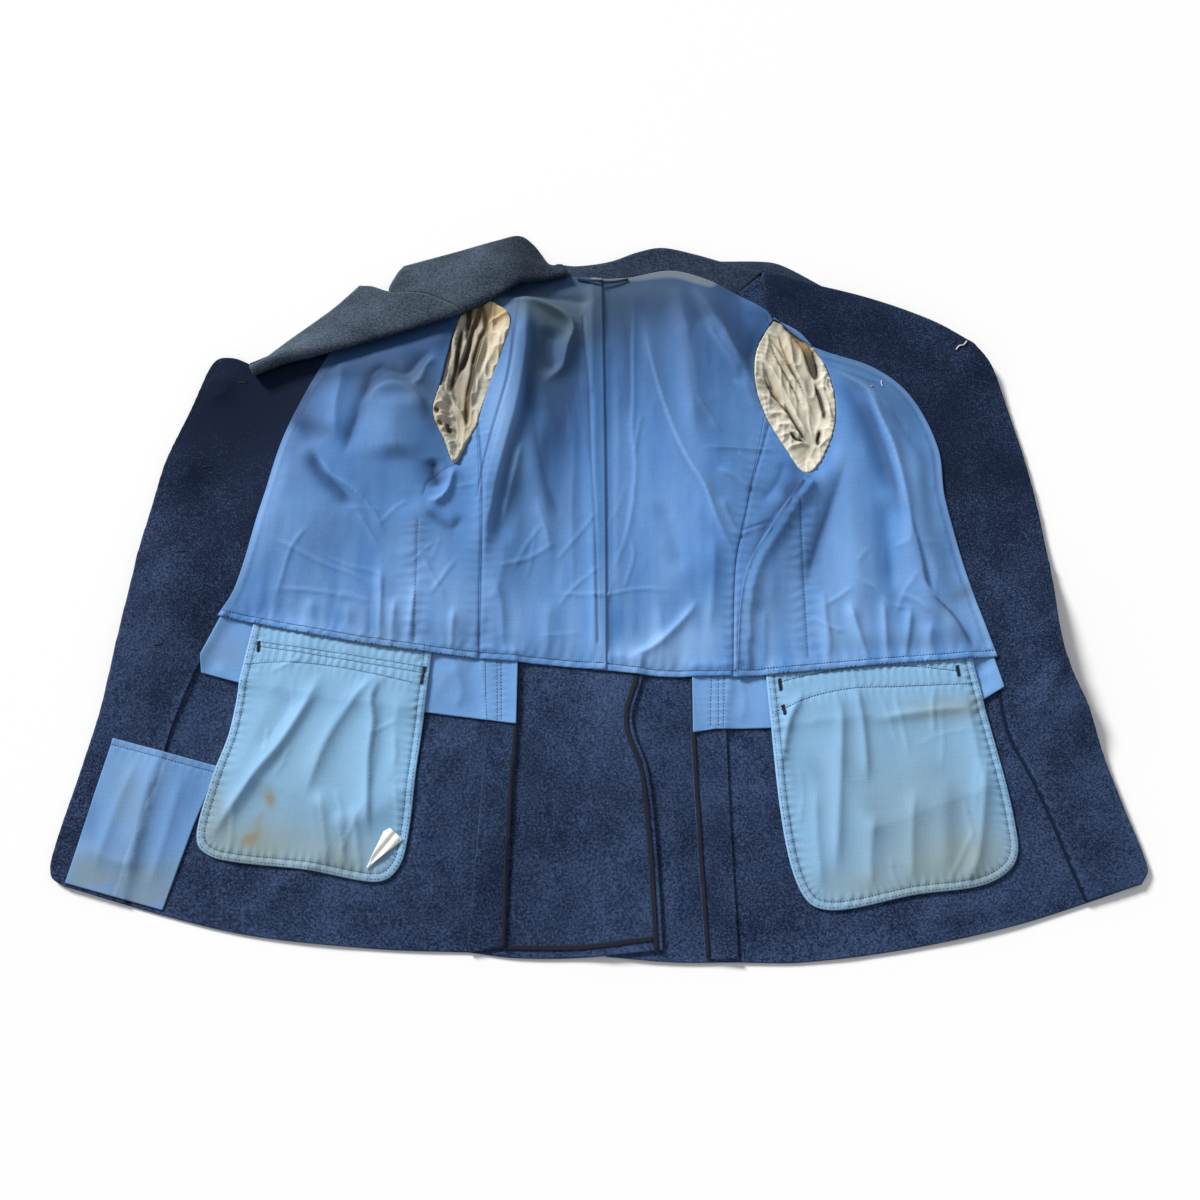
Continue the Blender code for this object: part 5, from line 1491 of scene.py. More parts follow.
def build_buttons():
    """Four plain domed buttons below the left front, as turned profiles."""
    turns = np.linspace(0, 2 * math.pi, 40, endpoint=False)
    profile = np.array([(0.0, 4.4), (3.0, 4.4), (7.2, 4.3), (10.6, 3.9), (12.0, 3.5),
                        (12.45, 3.0), (12.3, 2.5), (11.3, 1.9), (8.6, 0.9), (5.2, 0.25),
                        (0.0, 0.0)]) * MM
    metal = brass_finish()
    for name, (x, y) in BUTTONS.items():
        reach, height = profile[1:-1, 0], profile[1:-1, 1]
        ring = np.stack([reach[:, None] * np.cos(turns), reach[:, None] * np.sin(turns),
                         np.repeat(height[:, None], len(turns), axis=1)], axis=2)
        points = np.vstack([ring.reshape(-1, 3), (0, 0, profile[0, 1]), (0, 0, 0)])
        points = points + np.array([x * MM, y * MM, 0.0]) + OFFSET
        number = np.arange(len(reach) * len(turns)).reshape(len(reach), len(turns))
        ahead = np.roll(number, -1, axis=1)
        quads = np.column_stack([number[:-1].ravel(), number[1:].ravel(),
                                 ahead[1:].ravel(), ahead[:-1].ravel()])
        top, bottom = number.size, number.size + 1
        caps = np.vstack([
            np.column_stack([np.full(len(turns), top), number[0], ahead[0]]),
            np.column_stack([np.full(len(turns), bottom), ahead[-1], number[-1]])])
        mesh = mesh_of(name, points, quads, caps)
        put(name + "_domed", mesh, metal, "brass", [name])
        rim = np.column_stack([np.cos(turns), np.sin(turns)]) * 0.0125
        reserve(rim + np.array([x, y]) * MM, 0.0045)


def build_tucked_end():
    """End of the right collar, and room for the collar and lapel tucked under."""
    sizes = bpy.context.scene.tunic_sizes
    collar, lapel = curve(FOLD_COLLAR, RAW_STEP), curve(FOLD_LAPEL, RAW_STEP)
    whole = np.vstack([collar, lapel[1:]])
    near = whole[(whole[:, 0] > 0.138) & (whole[:, 0] < 0.262)]
    near = even(beside(near, 3 * GAP), EDGE_STEP)
    loop = joined(curve(COLLAR_END_RIGHT), near[::-1])
    lay(sizes.wool, wool(half=True), "wool_faded", {"collar_end_right": loop}, floor=True)
    reserve(strip(collar, -0.061, -0.004), sizes.lapel)
    reserve(strip(lapel, -0.066, -0.004), sizes.lapel)


def sleeve_outline(rows, below=None):
    """Plan outline of a flattened sleeve: its axis, half a width to each side."""
    axis = curve(rows, 0.01)
    marks = np.array([row[:2] for row in rows], float) * MM
    widths = np.array([row[2] for row in rows]) * MM
    key = np.argmin(np.linalg.norm(axis[:, None] - marks[None], axis=2), axis=0)
    half = np.interp(np.arange(len(axis)), key, widths)[:, None]
    left, right = beside(axis, half), beside(axis, -half)
    if below is not None:
        left, right = left[left[:, 1] < below], right[right[:, 1] < below]
    ring = joined(left, right[::-1])
    return even(np.vstack([ring, ring[:1]]), 0.004)[:-1]


def armhole_loops():
    """Outlines of the two armholes."""
    left = joined(curve(ARMHOLE_LEFT_FRONT), curve(ARMHOLE_LEFT_BACK)[::-1])
    right = joined(curve(ARMHOLE_RIGHT_FRONT), curve(ARMHOLE_RIGHT_BACK)[::-1])
    return left, right


def build_sleeves():
    """Under and top sleeves of plain wool, pressed flat below the body."""
    sizes = bpy.context.scene.tunic_sizes
    lay(sizes.wool, wool(), "wool", {
        "sleeve_left_under": sleeve_outline(SLEEVE_LEFT),
        "sleeve_right_under": sleeve_outline(SLEEVE_RIGHT),
    }, floor=True, step=0.006)
    room = SURFACE.top.copy()
    for loop in armhole_loops():
        reserve(grown(loop, 0.009), sizes.lining)
    SURFACE.sleeve_floor = room
    lay(sizes.wool, wool(), "wool", {
        "sleeve_left_top": sleeve_outline(SLEEVE_LEFT, below=0.088),
        "sleeve_right_top": sleeve_outline(SLEEVE_RIGHT, below=0.074),
    }, floor=True, step=0.006)


def build_shell():
    """Wool body: two backs that lap at the vent, and two fronts."""
    sizes = bpy.context.scene.tunic_sizes
    seam_left, seam_right = curve(SIDE_SEAM_LEFT), curve(SIDE_SEAM_RIGHT)
    centre = curve(CENTRE_BACK)
    half = GAP / 2
    inner_fold = beside(curve(FOLD_LAPEL), -0.010)
    shoulder_right = even(np.array([[0.196, 0.281], inner_fold[0]]), EDGE_STEP)
    lay(sizes.wool, wool(), "wool", {
        "back_right": joined(
            beside(seam_right, half), curve(ARMHOLE_RIGHT_BACK), beside(shoulder_right, half),
            curve(NECK_RIGHT)[::-1], centre, curve(VENT_UNDERLAP), curve(HEM_BACK_RIGHT)),
        "front_right": joined(
            beside(seam_right, -half), curve(ARMHOLE_RIGHT_FRONT),
            beside(shoulder_right, -half), inner_fold, curve(FRONT_EDGE_RIGHT),
            curve(HEM_FRONT_RIGHT)[::-1]),
    }, relief=wool_relief, softness=90, step=0.0038)
    right_low = SURFACE.low.copy()
    shoulder_left = curve([ARMHOLE_LEFT_FRONT[-1], NECK_LEFT[0]])
    lay(sizes.wool, wool(), "wool", {
        "back_left": joined(
            beside(seam_left, -half), curve(ARMHOLE_LEFT_BACK), beside(shoulder_left, -half),
            curve(NECK_LEFT), beside(centre, -half), curve(VENT_EDGE),
            curve(HEM_BACK_LEFT)[::-1]),
        "front_left": joined(
            beside(seam_left, half), curve(ARMHOLE_LEFT_FRONT), beside(shoulder_left, half),
            curve(UNDER_LAPEL_LEFT), curve(FRONT_EDGE_LEFT), curve(HEM_FRONT_LEFT)),
    }, relief=wool_relief, softness=90, step=0.0038)
    split = SURFACE.points[:, 0].reshape(SURFACE.shape) > 0.02
    SURFACE.shell_low = np.where(split, right_low, SURFACE.low)


def build_tucked_rolls():
    """Collar stand at the back neck and the right lapel, which turn under at their folds."""
    sizes = bpy.context.scene.tunic_sizes
    half = sizes.lapel / 2
    neck = beside(curve(NECK_LEFT[2:] + NECK_RIGHT[1:]), 5 * GAP)
    for name, fold, upper, width, finish_used, slot in (
            ("collar_back", curve(FOLD_COLLAR, 0.003), neck, 0.055, wool(half=True), "wool"),
            ("lapel_right", curve(FOLD_LAPEL, 0.003)[1:], None, 0.060, wool(), "wool")):
        if upper is None:
            upper = beside(fold, -0.010 + 3 * GAP)
        upper = spaced(upper, len(fold))
        over = SURFACE.over(beside(upper, -0.004))
        for _ in range(60):
            over[1:-1] = (over[:-2] + 2 * over[1:-1] + over[2:]) / 4
        height = np.maximum(over - half, 0.0072)
        rows = np.array(tucked_rows(fold, upper, width, height, half))
        wave = noise(rows[..., :2].reshape(-1, 2), 0.04, 0.03, 12).reshape(rows.shape[:2])
        rows[..., 2] += np.where(rows[..., 2] > half * 1.2, 0.0005 * wave, 0)
        grid_sheet(name, rows, sizes.lapel, finish_used, slot, [name], "folded",
                   ["back_left"])
        loop = joined(fold, upper[::-1])
        mask = SURFACE.mask(loop)
        crest = np.interp(SURFACE.points[:, 0], fold[:, 0], height).reshape(SURFACE.shape)
        away = nearest(SURFACE.points[mask.ravel()], fold)[0]
        drop = np.zeros(SURFACE.shape)
        radius = (crest[mask] - half) / 2 + half
        inside_roll = np.clip(1 - away / radius, 0, 1)
        drop[mask] = radius * (1 - np.sqrt(1 - inside_roll**2))
        SURFACE.top = np.where(mask, crest + half - drop, SURFACE.top)


def facing_shade_fields(points):
    """Painted shade on the facings: darkest at the upper left, below the lapel, and still dark at
    the upper right, with a dark line along the right one's inner edge."""
    # Painted shade: darker towards the top of the facings, most on the left.
    up = smoothstep((points[:, 1] + 0.22) / 0.42)
    cloud = noise(points, 0.03, 0.05, 45)
    left = np.where(points[:, 0] < 0, 1.0, 0.55)
    # Painted shadow below the lapel.
    under = patches(points, [(-370, 180, 60, 60, 0, 0.25)])
    away = nearest(points, curve(FACING_RIGHT_INNER[6:], MIDDLE_STEP))[0]
    edge = 1.6 * np.exp(-(away / 0.0016) ** 2) - 0.25 * np.exp(-((away - 0.004) / 0.002) ** 2)
    return {"deep": up * left * 0.62 + 2.4 * under + 0.06 + 0.12 * cloud + edge}


def build_facings():
    """Wool facings along both fronts, and the side seam allowances of the skirt."""
    sizes = bpy.context.scene.tunic_sizes
    near_fold = beside(curve(FOLD_LAPEL), -0.0022)
    left = joined(
        curve(FRONT_EDGE_LEFT), curve([HEM_FRONT_LEFT[0], (-452, -358)]),
        curve(FACING_LEFT_INNER)[::-1], curve([(-290, 258), (-349, 241), (-388, 224)]))
    right = joined(
        curve(FACING_RIGHT_INNER[1:]), curve([(462, -356), (518, -340)]),
        curve(FRONT_EDGE_RIGHT)[::-1], near_fold[::-1],
        curve([(188, 344), (189, 290)]))
    seam_left, seam_right = curve(SIDE_SEAM_LEFT), curve(SIDE_SEAM_RIGHT)
    skirt_left = beside(seam_left[seam_left[:, 1] < -0.105], -GAP)
    skirt_right = beside(seam_right[seam_right[:, 1] < -0.120], GAP)
    edge_left = beside(curve(FRONT_EDGE_LEFT[2:-1], FINE_STEP), 0.005)
    edge_right = beside(curve(FRONT_EDGE_RIGHT[:-1], FINE_STEP), -0.005)

    def relief(points):
        fine = 0.5 + 0.5 * noise(points, 0.035, 0.05, 6)
        lines = groove(points, edge_left, 0.0003, 0.0016, 0.0001, 0.009)
        lines += groove(points, edge_right, 0.0003, 0.0016, 0.0001, 0.009)
        return 0.0004 + 0.0007 * fine + lines

    lay(sizes.facing, wool(), "wool", {
        "facing_left": left, "facing_right": right,
        "seam_allowance_left": joined(skirt_left, curve(BOUND_LEFT)),
        "seam_allowance_right": joined(skirt_right, curve(BOUND_RIGHT)),
    }, relief=relief, seams=[edge_left, edge_right], softness=10, fields=facing_shade_fields)


def build_bindings():
    """Bias tape over the raw edges of the allowances, the vent and its hem."""
    sizes = bpy.context.scene.tunic_sizes
    tape = wool_like_tape()
    width = sizes.binding_width
    vent = curve(VENT_EDGE)
    vent = vent[vent[:, 1] < -0.125]
    lay(sizes.binding, tape, "binding", {
        "binding_left": strip(curve(BOUND_LEFT), -width, -GAP),
        "binding_right": strip(curve(BOUND_RIGHT), GAP, width),
        "binding_vent": strip(vent, -width - 0.004, -0.004),
    }, softness=3, step=0.0025)
    lay(sizes.binding, tape, "binding", {
        "binding_hem": strip(curve(HEM_BINDING), -width, 0.0)}, softness=3, step=0.0025)


def wool_like_tape():
    """Near-black bias tape with a fine twill."""
    colours = bpy.context.scene.tunic_colours
    lighter = tuple(2.4 * part for part in colours.binding)
    return finish("bias tape", wool_group(),
                  {"Dark": rgba(colours.binding), "Light": rgba(lighter), "Twill": 0.8,
                   "Edge wear": 0.3, "Share": 0.35}, 0.0003, specular=0.3)


def bag_relief(loop, table, seed, lines):
    """Height of a pocket bag: raised along its turned edge, furrowed where it is
    stitched, with puckers, folds and soft unevenness."""
    ring = np.vstack([loop, loop[:1]])[::3]

    def relief(points):
        away, _, run = nearest(points, ring)
        border = 0.0007 * np.exp(-((away - 0.0035) / 0.003) ** 2)
        sway = noise(points, 0.018, 0.018, seed)
        pucker = np.sin(2 * math.pi * run * length_of(ring) / 0.0085 + 3 * sway)
        pucker *= 0.0007 * np.exp(-np.abs(away - 0.008) / 0.005)
        stitched = -0.0004 * np.exp(-((away - 0.0075) / 0.0013) ** 2)
        soft = 0.5 + 0.5 * noise(points, 0.022, 0.05, seed + 1)
        inner = smoothstep(away / 0.02)
        height = 0.0008 + border + pucker + stitched + 0.0012 * soft * inner
        crumple = folds(points, creases(seed + 3, 12, loop.min(axis=0) / MM + 20,
                                        loop.max(axis=0) / MM - 20, 84))
        height += np.maximum(1.7 * folds(points, table), -0.0006) * smoothstep(away / 0.012)
        height += crumple * smoothstep(away / 0.016)
        for line in lines:
            height += groove(points, curve(line, MIDDLE_STEP), 0.0004, 0.0014, 0.0003, 0.008)
        return height
    return relief


def bag_fields(points):
    """Wear and painted light of the pocket bags: painted highlight on crests, a worn pale rim,
    painted shade along the stitched line and beside the folds, soil at the lower edges and grey
    smudges.
    """
    rise = folds(points, BAG_LEFT_FOLDS + BAG_RIGHT_FOLDS)
    fine = noise(points, 0.012, 0.03, 41)
    rim, low = np.zeros(len(points)), np.zeros(len(points))
    for sides in (BAG_LEFT_SIDES, BAG_RIGHT_SIDES):
        away = nearest(points, curve(sides, MIDDLE_STEP))[0]
        rim += 0.45 * np.exp(-((away - 0.0018) / 0.0026) ** 2)
        # Painted shade along the stitched line inside the edge.
        low += 0.35 * np.exp(-((away - 0.0080) / 0.0018) ** 2)
    # Pale: painted highlight on the fold crests, and the worn rim.
    return {"pale": 0.16 + 60 * np.clip(rise, -0.001, 0.004) + 0.12 * fine + rim,
            "deep": (low + folds(points, BAG_SHADES) / MM + 0.05 * fine
                     + 0.55 * patches(points, BAG_SMUDGE) * (0.8 + 0.4 * fine)),
            "grey": 0.8 * patches(points, BAG_DRAB),
            "soil": patches(points, BAG_SOIL) * (0.85 + 0.5 * noise(points, 0.006, 0.006, 42))}


def build_pockets():
    """Waist stays, the corner pocket, the pocket bags and the torn tag."""
    sizes = bpy.context.scene.tunic_sizes
    colours = bpy.context.scene.tunic_colours
    twill = cotton("light blue twill", colours.stay, streaks=0.4, creases=0.15,
                   grey=(0.185, 0.245, 0.250))
    bag = cotton("pale bag twill", colours.pocketing, streaks=0.4, creases=0.15,
                 grey=(0.215, 0.265, 0.240))
    stay_lines = [curve(line, FINE_STEP) for line in STAY_LINES_LEFT + STAY_LINES_RIGHT]
    pocket_top = beside(curve([CORNER_POCKET[0], CORNER_POCKET[-1]], FINE_STEP), -0.006)
    pocket_seam = curve([(-428, -212), (-465, -352)], FINE_STEP)

    def stay_relief(points):
        soft = 0.5 + 0.5 * noise(points, 0.02, 0.03, 21)
        height = 0.0004 + 0.0007 * soft + np.maximum(folds(points, STAY_FOLDS), 0)
        for line in stay_lines:
            height += groove(points, line, 0.0003, 0.0013, 0.0002, 0.007)
        height += groove(points, pocket_top, 0.0004, 0.0015, 0.0002, 0.009)
        return height + groove(points, pocket_seam, 0.0005, 0.0022)

    def stay_fields(points):
        away, side, _ = nearest(points, pocket_seam)
        # Painted shade: darker on one side of the pressed seam, and in patches at the pocket's
        # right side, left edge and top.
        dark = np.where(side > 0, 0.40, 0.08) * np.exp(-away / 0.011)
        dark += patches(points, [(-400, -250, 14, 60, -12, 0.3), (-497, -270, 8, 60, 10, 0.2),
                                 (-440, -205, 50, 6, -15, 0.25)])
        grey = patches(points, [(-462, -262, 26, 46, 10, 0.40), (-492, -325, 30, 20, 0, 0.65),
                                (-430, -338, 36, 20, 15, 0.65), (-385, -110, 30, 12, 0, 0.2)])
        # A pale line along the pressed seam is painted highlight.
        return {"pale": 0.2 + 0.15 * noise(points, 0.02, 0.03, 22)
                + 0.55 * np.exp(-(away / 0.0026) ** 2),
                "grey": grey, "deep": dark + 0.06 * noise(points, 0.012, 0.03, 23),
                "soil": patches(points, [(-430, -354, 44, 7, 15, 0.35),
                                         (-490, -338, 30, 6, 12, 0.3)])}

    lay(sizes.pocketing, twill, "stay", {
        "stay_left": straight(STAY_LEFT), "stay_right": straight(STAY_RIGHT),
        "corner_pocket": straight(CORNER_POCKET),
    }, relief=stay_relief, fields=stay_fields, seams=stay_lines + [pocket_top, pocket_seam],
        softness=8)
    left = joined(curve(BAG_LEFT_SIDES), curve(BAG_LEFT_TOP))
    right = joined(curve(BAG_RIGHT_SIDES), curve(BAG_RIGHT_TOP))
    lay(sizes.pocketing, bag, "pocketing", {
        "pocket_bag_left_under": grown(left, -0.002),
        "pocket_bag_right_under": grown(right, -0.002),
    }, softness=10, step=0.005, fields=plain_fields)
    for name, loop, table, seed, lines in (
            ("pocket_bag_left", left, BAG_LEFT_FOLDS, 51, MOUTH_LEFT),
            ("pocket_bag_right", right, BAG_RIGHT_FOLDS, 61, MOUTH_RIGHT)):
        seams = [curve(line, MIDDLE_STEP) for line in lines]
        inner = grown(loop[::3], -0.0075)
        seams.append(inner[inner[:, 1] < -0.13])
        lay(sizes.pocketing, bag, "pocketing", {name: loop},
            relief=bag_relief(loop, table, seed, lines), fields=bag_fields,
            seams=seams, step=0.0026, softness=8)
    tag = cotton("white woven tag", colours.tag, streaks=0.15, creases=0.2)
    middle = curve([(-224, -326), (-198, -294)], 0.003)

    def tag_relief(points):
        away = nearest(points, middle)[0]
        return 0.0004 + 0.0018 * np.exp(-((away - 0.0042) / 0.0028) ** 2)

    lay(0.0005, tag, "tag", {"torn_tag": straight(TORN_TAG)}, relief=tag_relief,
        seams=[middle], step=0.0018, softness=4, fields=plain_fields)


# Thin creases of the lining: the ones seen, then a few random ones in each part
LINING_CREASES = [
    ([(-304, 107), (-287, 85), (-264, 69), (-252, 58), (-243, 47), (-232, 30), (-226, 14)],
     1.6, 3.0, 2.6),
    ([(-258, 44), (-250, 33), (-238, 12), (-227, -3)], 1.5, 2.5, 1.6),
    ([(-352, 16), (-320, 0), (-290, -15), (-255, -28), (-236, -42)], 1.6, 2.2, 1.3),
    ([(-348, -42), (-300, -45), (-260, -52), (-236, -62)], 1.6, 2.2, 1.2),
    ([(-304, 28), (-322, 0), (-330, -30), (-337, -58)], 1.8, 2.4, 1.4),
    ([(-292, -4), (-262, -18), (-236, -24), (-212, -38)], 1.5, 2.0, 1.1),
    ([(-188, -4), (-172, -33), (-158, -55)], 1.8, 2.2, 1.6),
    ([(-148, -6), (-166, -34), (-178, -53)], 1.8, 2.2, 1.2),
    ([(-97, 304), (-92, 262), (-94, 230), (-99, 195), (-106, 165), (-114, 135), (-122, 98),
      (-128, 62), (-133, 26)], 3.5, 1.4, 3.2),
    ([(-150, 132), (-132, 134), (-114, 132)], 1.4, 2.0, 1.3),
    ([(-155, 72), (-140, 74), (-128, 72)], 1.4, 2.0, 1.3),
    ([(-2, 46), (-15, 28), (-32, 6), (-48, -14)], 1.4, 1.8, 1.2),
    ([(-58, 34), (-76, 8), (-92, -24)], 1.4, 1.8, 1.1),
    ([(-56, -46), (0, -49), (42, -42), (84, -46)], 1.4, 1.8, 1.3),
    ([(4, -16), (-24, -38), (-46, -65)], 1.4, 1.8, 1.1),
    ([(38, 330), (38, 290), (37, 240), (37, 190), (35, 140), (38, 105), (37, 80), (33, 45),
      (27, 15), (17, -12), (4, -46)], 3.0, 1.4, 1.8),
    ([(47, 166), (40, 130), (38, 108)], 1.4, 2.0, 1.2),
    ([(31, 18), (36, 0), (30, -28), (23, -46)], 1.5, 2.0, 1.3),
    ([(49, 275), (58, 222), (68, 178), (82, 132), (97, 95), (110, 72), (120, 38), (131, 12),
      (149, -28)], 3.5, 1.5, 2.2),
    ([(116, 280), (130, 252), (144, 228), (160, 202)], 4.0, 1.6, 2.2),
    ([(146, 206), (160, 186), (175, 161)], 3.0, 1.6, 2.0),
    ([(137, 266), (150, 236), (159, 210)], 1.4, 2.0, 1.4),
    ([(103, 181), (118, 158), (133, 131)], 1.6, 2.4, 1.4),
    ([(148, 114), (160, 104), (170, 97)], 1.4, 2.0, 1.2),
    ([(142, 14), (162, 22), (184, 28)], 1.6, 3.0, 1.8),
    ([(262, 222), (274, 203), (291, 183), (302, 149), (313, 115), (318, 87), (321, 57),
      (324, 30), (327, -4), (332, -37), (340, -52), (360, -73), (371, -95), (382, -112)],
     5.0, 1.6, 2.6),
    ([(256, 224), (280, 207), (300, 199), (322, 196)], 2.6, 1.6, 1.6),
    ([(304, 179), (324, 146), (341, 116), (354, 89)], 2.6, 1.6, 1.3),
    ([(266, -34), (286, -44), (300, -60), (326, -66)], 1.6, 2.4, 1.4),
    ([(308, -48), (326, -58), (340, -72)], 1.6, 2.4, 1.8),
    ([(230, -62), (250, -50), (262, -40)], 1.6, 2.4, 1.2),
    ([(215, -70), (232, -84), (254, -90)], 1.6, 2.2, 1.3),
]
LINING_CREASES += creases(7, 6, (-350, -100), (-140, 60), 60)
LINING_CREASES += creases(8, 10, (-100, -110), (130, 180), 82)
LINING_CREASES += creases(9, 8, (200, -110), (370, 100), 70)


def lining_relief(hem, seams, flat_lines=()):
    """Height of the lining: it stands off between its seams, dips at them, and carries
    its folds, gathers above the hem and small creases."""
    pinned = [curve(ROLL_LEFT + ROLL_COLLAR[1:], COARSE_STEP),
              curve(LINING_LEFT_EDGE, COARSE_STEP), curve(LINING_RIGHT_EDGE, COARSE_STEP),
              hem, curve(NECK_LEFT + NECK_RIGHT[1:], COARSE_STEP)]
    arm = [loop[::4] for loop in armhole_loops()]

    def relief(points):
        loft = bpy.context.scene.tunic_sizes.loft
        stand = np.ones(len(points))
        for line in pinned:
            away = nearest(points, line)[0]
            stand *= 1 - 0.82 * np.exp(-(away / 0.018) ** 2)
        for line in flat_lines:
            stand *= 1 - 0.9 * np.exp(-(nearest(points, line)[0] / 0.012) ** 2)
        for line in arm:
            stand *= 1 - 0.5 * np.exp(-(nearest(points, line)[0] / 0.01) ** 2)
        height = loft * stand
        shape = 1.6 * folds(points, LINING_FOLDS) + folds(points, LINING_CREASES)
        shape = np.minimum(shape, 0.0085)
        away, _, run = nearest(points, hem)
        gather = np.sin(2 * math.pi * run * HEM_RUN / 0.017 + 2.2 * noise(points, 0.03, 0.08, 71))
        shape += 0.0007 * gather * np.exp(-away / 0.022) * smoothstep(away / 0.006)
        creased = 1 - np.abs(noise(points, 0.012, 0.034, 72))
        shape += 0.0005 * (creased - 0.5) * (0.5 + 0.5 * noise(points, 0.05, 0.05, 73))
        shape += 0.0009 * noise(points, 0.045, 0.11, 74)
        height += np.where(shape > 0, shape * (0.2 + 0.8 * stand), shape * stand)
        for line, depth, width, pucker in seams:
            height += groove(points, line, depth, width, pucker, 0.011)
        lip = 0.0005 * np.exp(-((away - 0.003) / 0.0026) ** 2)
        return np.maximum(height + lip, 0.0001)
    return relief


# Dark lines along the lining's seams, and painted shade along the pleat's edge, beside the ridge
# by the left armhole and at the right fold's edge: places and strength
LINING_LINES = [(curve(places, MIDDLE_STEP), strength) for places, strength in (
    (SEAM_LEFT_LINING, 0.7), (SEAM_RIGHT_LINING, 0.4), (PLEAT_LINE, 0.4), (DART_LEFT, 0.35),
    (DART_RIGHT, 0.45), (DART_CURVE_LEFT, 0.3), ([(8, 334), (11, 100), (12, -129)], 0.2),
    ([(-90, 318), (-96, 263), (-103, 199), (-112, 162), (-121, 120), (-131, 60)], 0.5),
    ([(222, 82), (187, 31), (151, -33), (139, -132)], 0.7))]


def lining_fields(points):
    """Wear and painted light of the lining: pale in worn patches and as painted highlight on
    crests, greyed near the neck, and painted shade in patches, beside folds, in hollows and
    towards the neck.
    """
    broad = folds(points, LINING_FOLDS)
    rise = broad + 1.3 * folds(points, LINING_CREASES)
    streak = noise(points, 0.009, 0.06, 81)
    cloud = noise(points, 0.05, 0.07, 82)
    # Pale: worn patches, and painted highlight on the crests of folds and creases.
    pale = 0.10 + patches(points, LINING_PALE) * 0.75 + 60 * np.clip(rise, -0.003, 0.006)
    # Painted shade: patches, shades beside folds, darker towards the neck, and in the hollows of
    # broad folds.
    deep = patches(points, LINING_SHADE_PATCHES) * (0.85 + 0.3 * cloud)
    deep += 1.05 * folds(points, LINING_SHADES) / MM
    deep += 0.34 * smoothstep((points[:, 1] - 0.12) / 0.17)
    deep += 90 * np.clip(-broad - 0.0004, 0, 0.004)
    for line, strength in LINING_LINES:
        deep += strength * np.exp(-(nearest(points, line)[0] / 0.0011) ** 2)
    # A pale stripe along the lining's edges, and painted shade in the crease beside it.
    for line in (curve(LINING_LEFT_EDGE, COARSE_STEP), curve(LINING_RIGHT_EDGE, COARSE_STEP)):
        away = nearest(points, line)[0]
        pale += 0.4 * np.exp(-((away - 0.003) / 0.0028) ** 2)
        deep += 0.25 * np.exp(-((away - 0.0085) / 0.0016) ** 2)
    neck = nearest(points, curve(NECK_LEFT[3:] + NECK_RIGHT[1:4], COARSE_STEP))[0]
    strip_wide = 0.0035 + 0.0065 * smoothstep((points[:, 0] - 0.01) / 0.07)
    bare = 0.5 * np.exp(-(neck / strip_wide) ** 8) * (points[:, 0] > -0.01)
    low = smoothstep((0.02 - points[:, 1]) / 0.12)
    pale += 0.20 * streak * (0.4 + low) + 0.12 * cloud + 0.12 * low
    grey = patches(points, LINING_GREY) * (0.9 + 0.25 * cloud)
    return {"pale": pale, "grey": grey * 0.8, "deep": deep, "bare": bare,
            "soil": 0.1 * np.clip(grey - 0.3, 0, 1)}


